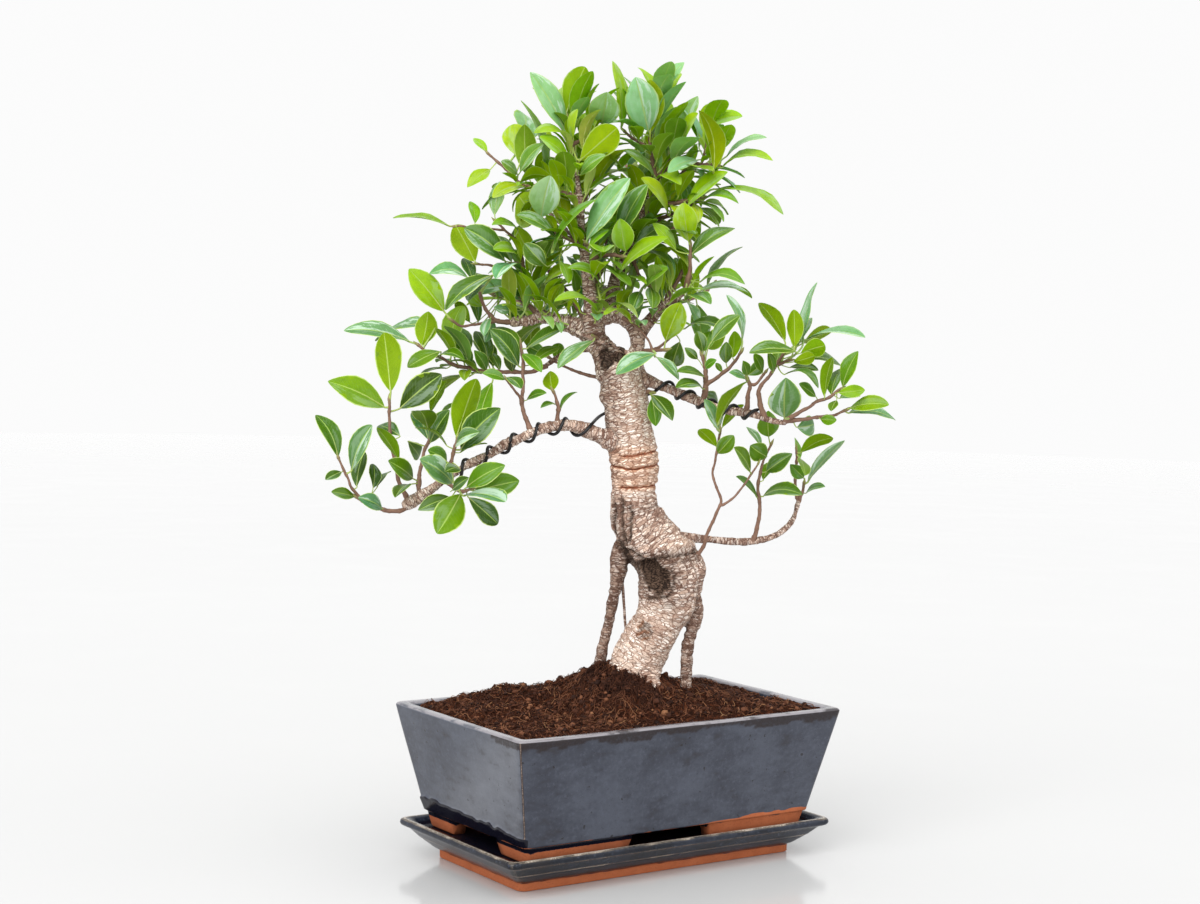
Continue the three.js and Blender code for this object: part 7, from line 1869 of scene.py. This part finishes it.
def leaf_colours(leaves, draw):
    """Each leaf's own green with painted light on it, and its painted sheen as the fourth value, with the
    sign of its painted lit half. The tone is pulled towards the mid one low down, lifted by painted light
    that grows with height and is less on the left, warmer in the crown and its own by a little."""
    base = np.array([TONES[leaf.tone] for leaf in leaves])
    middle = stacked(leaves, "middle")
    sheen_painted = np.array([leaf.tone == "P" for leaf in leaves])
    even = np.where(sheen_painted, 0, np.interp(middle[:, 2], [440, 560], [0.45, 0]))[:, None]
    base = base * (1 - even) + np.array(TONES["M"]) * even
    # Painted light: brighter with height in the crown, and less on the left.
    light = np.interp(middle[:, 2], [430, 560, 640], [0.72, 2.0, 4.4])
    light = light * np.interp(middle[:, 0], [-150, -70], [0.75, 1])
    light = light ** np.array([PAINTED_LIGHT_SHARES[leaf.tone] for leaf in leaves])
    light = (light * np.exp(draw.normal(0, 0.16, len(leaves))))[:, None]
    warm = draw.normal(0.04, 0.10, len(leaves))
    warm += np.where(sheen_painted, -0.12, np.interp(middle[:, 2], [520, 640], [0, 0.10]))
    painted_lit = base * light / (1 + base * (light - 1))
    colour = painted_lit * np.column_stack([1 + warm, np.ones(len(leaves)), 1 - warm])
    colour = colour * np.minimum(0.7 + THROUGH_SHARE * colour[:, 1:2], 1)
    # How much painted sheen each leaf gets, more higher in the crown; its sign picks the half painted lit.
    pale = np.array([{"P": 1.0, "D": 0.32, "O": 0.5}.get(leaf.tone, 0.18) for leaf in leaves])
    pale = np.minimum(pale * np.interp(middle[:, 2], [460, 620], [0.7, 1.5]), 1)
    return np.column_stack([colour, pale * np.sign(draw.uniform(-1, 1, len(leaves)))])


def veins(look, uv):
    """How near a point of a blade is to its midrib, its side veins and its margin, and how far across it
    lies. Side veins are thin lines that rise towards the tip: a sine of v less the slant times the distance
    from the midrib."""
    u, v, _ = look.parts(uv, "ShaderNodeSeparateXYZ")
    off = look.add("ShaderNodeMath", {"operation": "ABSOLUTE"}, {0: u - 0.5})
    midrib = look.step(off, 0.036, 0.010)
    wander = look.noise(uv, 5, 2)
    line = look.add("ShaderNodeMath", {"operation": "SINE"}, {0: (v - off * 0.42 + wander * 0.03) * 80})
    side = look.step(line, 0.80, 1.0) * look.step(off, 0.47, 0.30)
    margin = look.step(off, 0.452, 0.474)
    return midrib, side, margin, u - 0.5


def leaf_look(name, under):
    """A blade's upper or under side: its own green, mottled, with pale veins and margin. The upper side has
    painted sheen: one half painted lit, and streaks of painted sheen on it. Light comes through by the share
    of its green."""
    look = Look(name)
    uv = look.add("ShaderNodeUVMap", {"uv_map": "leaf"}, {})
    hue = look.value("hue", "Color")
    pale = look.value("hue", "Alpha")
    midrib, side, margin, across = veins(look, uv)
    mottle = look.noise(look.place(), 130, 4)
    cloud = look.noise(look.place(), 42, 3)
    tint = look.ramp(mottle, [(0.3, (0.80, 0.84, 0.75)), (0.5, (1, 1, 1)), (0.75, (1.2, 1.12, 1.2))])
    colour = look.tinted(hue, tint)
    if under:
        colour = look.mix(0.40, colour, (0.25, 0.40, 0.001))
        colour = look.mix(side * 0.18, colour, (0.34, 0.47, 0.05))
        colour = look.mix(midrib * 0.7, colour, (0.50, 0.64, 0.16))
        roughness, coat, relief = 0.5, 0.0, side * 0.5 + midrib
    else:
        # Painted light and sheen: one half of the blade painted lit, by the sign of the pale value, then
        # painted sheen streaks.
        lit = look.step(across * pale, -0.015, 0.03)
        gleam = look.add("ShaderNodeMath", {"operation": "ABSOLUTE"}, {0: pale})
        spread = look.add("ShaderNodeVectorMath", {"operation": "ADD"}, {
            0: look.stretched(uv, (5.0, 1.6, 0.0)), 1: look.stretched(look.place(), (26, 26, 26))})
        streak = look.noise(spread, 1.0, 3, 0.6)
        sheen = look.step(streak + side * 0.05 + (cloud - 0.5) * 0.3, 0.47, 0.60) * gleam
        colour = look.mix(lit * gleam * 0.30, colour, (0.30, 0.54, 0.26))
        colour = look.mix(sheen * (lit * 0.60 + 0.20), colour, (0.72, 0.88, 0.74))
        colour = look.mix(side * 0.12, colour, (0.28, 0.46, 0.08))
        colour = look.mix(midrib * 0.75, colour, (0.42, 0.62, 0.12))
        roughness, coat, relief = 0.32, 0.07, mottle * 0.25 - side * 0.3 - midrib * 0.6
    colour = look.mix(margin * 0.8, colour, (0.56, 0.70, 0.20))
    gloss = mottle * 0.14 + (roughness - 0.07)
    look.finish(Base_Color=colour, Roughness=gloss, Coat_Weight=coat, Coat_Roughness=0.2,
                Specular_IOR_Level=0.12, Normal=look.bump(relief, 0.4, 0.45))
    through = look.add("ShaderNodeBsdfTranslucent", {}, {"Color": LIGHT_THROUGH})
    share = look.parts(hue)[1] * THROUGH_SHARE
    shaders = {0: share, 1: Link(look, look.surface.outputs[0]), 2: through}
    both = look.add("ShaderNodeMixShader", {}, shaders)
    look.feed(look.tree.nodes["Material Output"].inputs["Surface"], both)
    return look.material


def stalk_look():
    """Leaf stalks: pale yellow-green, with a little of their own leaf's green."""
    look = Look("leaf_stalk")
    hue = look.value("hue", "Color")
    streak = look.noise(look.place(), 240, 3)
    colour = look.mix(0.75, hue, look.mix(streak, (0.34, 0.44, 0.09), (0.52, 0.60, 0.18)))
    return look.finish(Base_Color=colour, Roughness=0.45)


def twig_look():
    """Twig bark: red-brown where old, green where young, with pale dots."""
    look = Look("young_twig")
    age, swell, _ = look.parts(look.value("hue", "Color"))
    grain = look.noise(look.place(), 210, 4)
    dots = look.step(look.cell_gap(look.place(), 420), 0.55, 0.75)
    old = look.mix(grain, (0.10, 0.048, 0.030), (0.32, 0.175, 0.115))
    green = look.mix(grain, (0.20, 0.20, 0.05), (0.34, 0.36, 0.10))
    colour = look.mix(look.step(age + (grain - 0.5) * 0.5, 0.25, 0.75), green, old)
    colour = look.mix(dots * 0.5, colour, (0.36, 0.28, 0.2))
    colour = look.mix(swell * 0.3, colour, (0.16, 0.09, 0.05))
    return look.finish(Base_Color=colour, Roughness=0.65, Normal=look.bump(grain, 0.6, 0.4))


def kept_inside(shape):
    """The shape with no point outside the part's own box."""
    low, high = np.array(cad_low) / MM + 0.1, np.array(cad_high) / MM - 0.1
    shape.points = np.clip(shape.points, low, high)
    return shape


def make_sprays():
    """One piece a spray: its twigs, leaf stalks and blades. The shoots on the limbs are one piece more."""
    looks = [leaf_look("leaf_top", False), leaf_look("leaf_underside", True), stalk_look(), twig_look()]
    placed = placed_leaves()
    place_small_leaves(placed)
    place_shoot_leaves(placed)
    for owner, spray in enumerate(SPRAYS + [dict(name="limb_shoots", twigs=[])]):
        draw = np.random.default_rng(900 + owner)
        leaves = [leaf for k, leaf in placed if k == owner]
        roots = stacked(leaves, "root") if leaves else np.zeros((0, 3))
        parts = [twig_shape(twig, roots, 0.25) for twig in spray["twigs"]]
        if leaves:
            seeds = draw.uniform(-1, 1, (len(leaves), 6))
            colours = leaf_colours(leaves, draw)
            parts += [blades(leaves, seeds, colours), stalks(leaves, seeds, colours)]
        shape = joined(parts)
        shape.points = in_pot_frame(shape.points)
        replaced = [] if owner == SHOOTS else ["spray_" + spray["name"]]
        put("spray_" + spray["name"] + "_leaves", kept_inside(shape), looks, replaced, crisp=62)


studio()
make_pot()
make_tray()
dress_drain_screens()
make_soil()
make_trunk()
make_wire()
make_sprays()
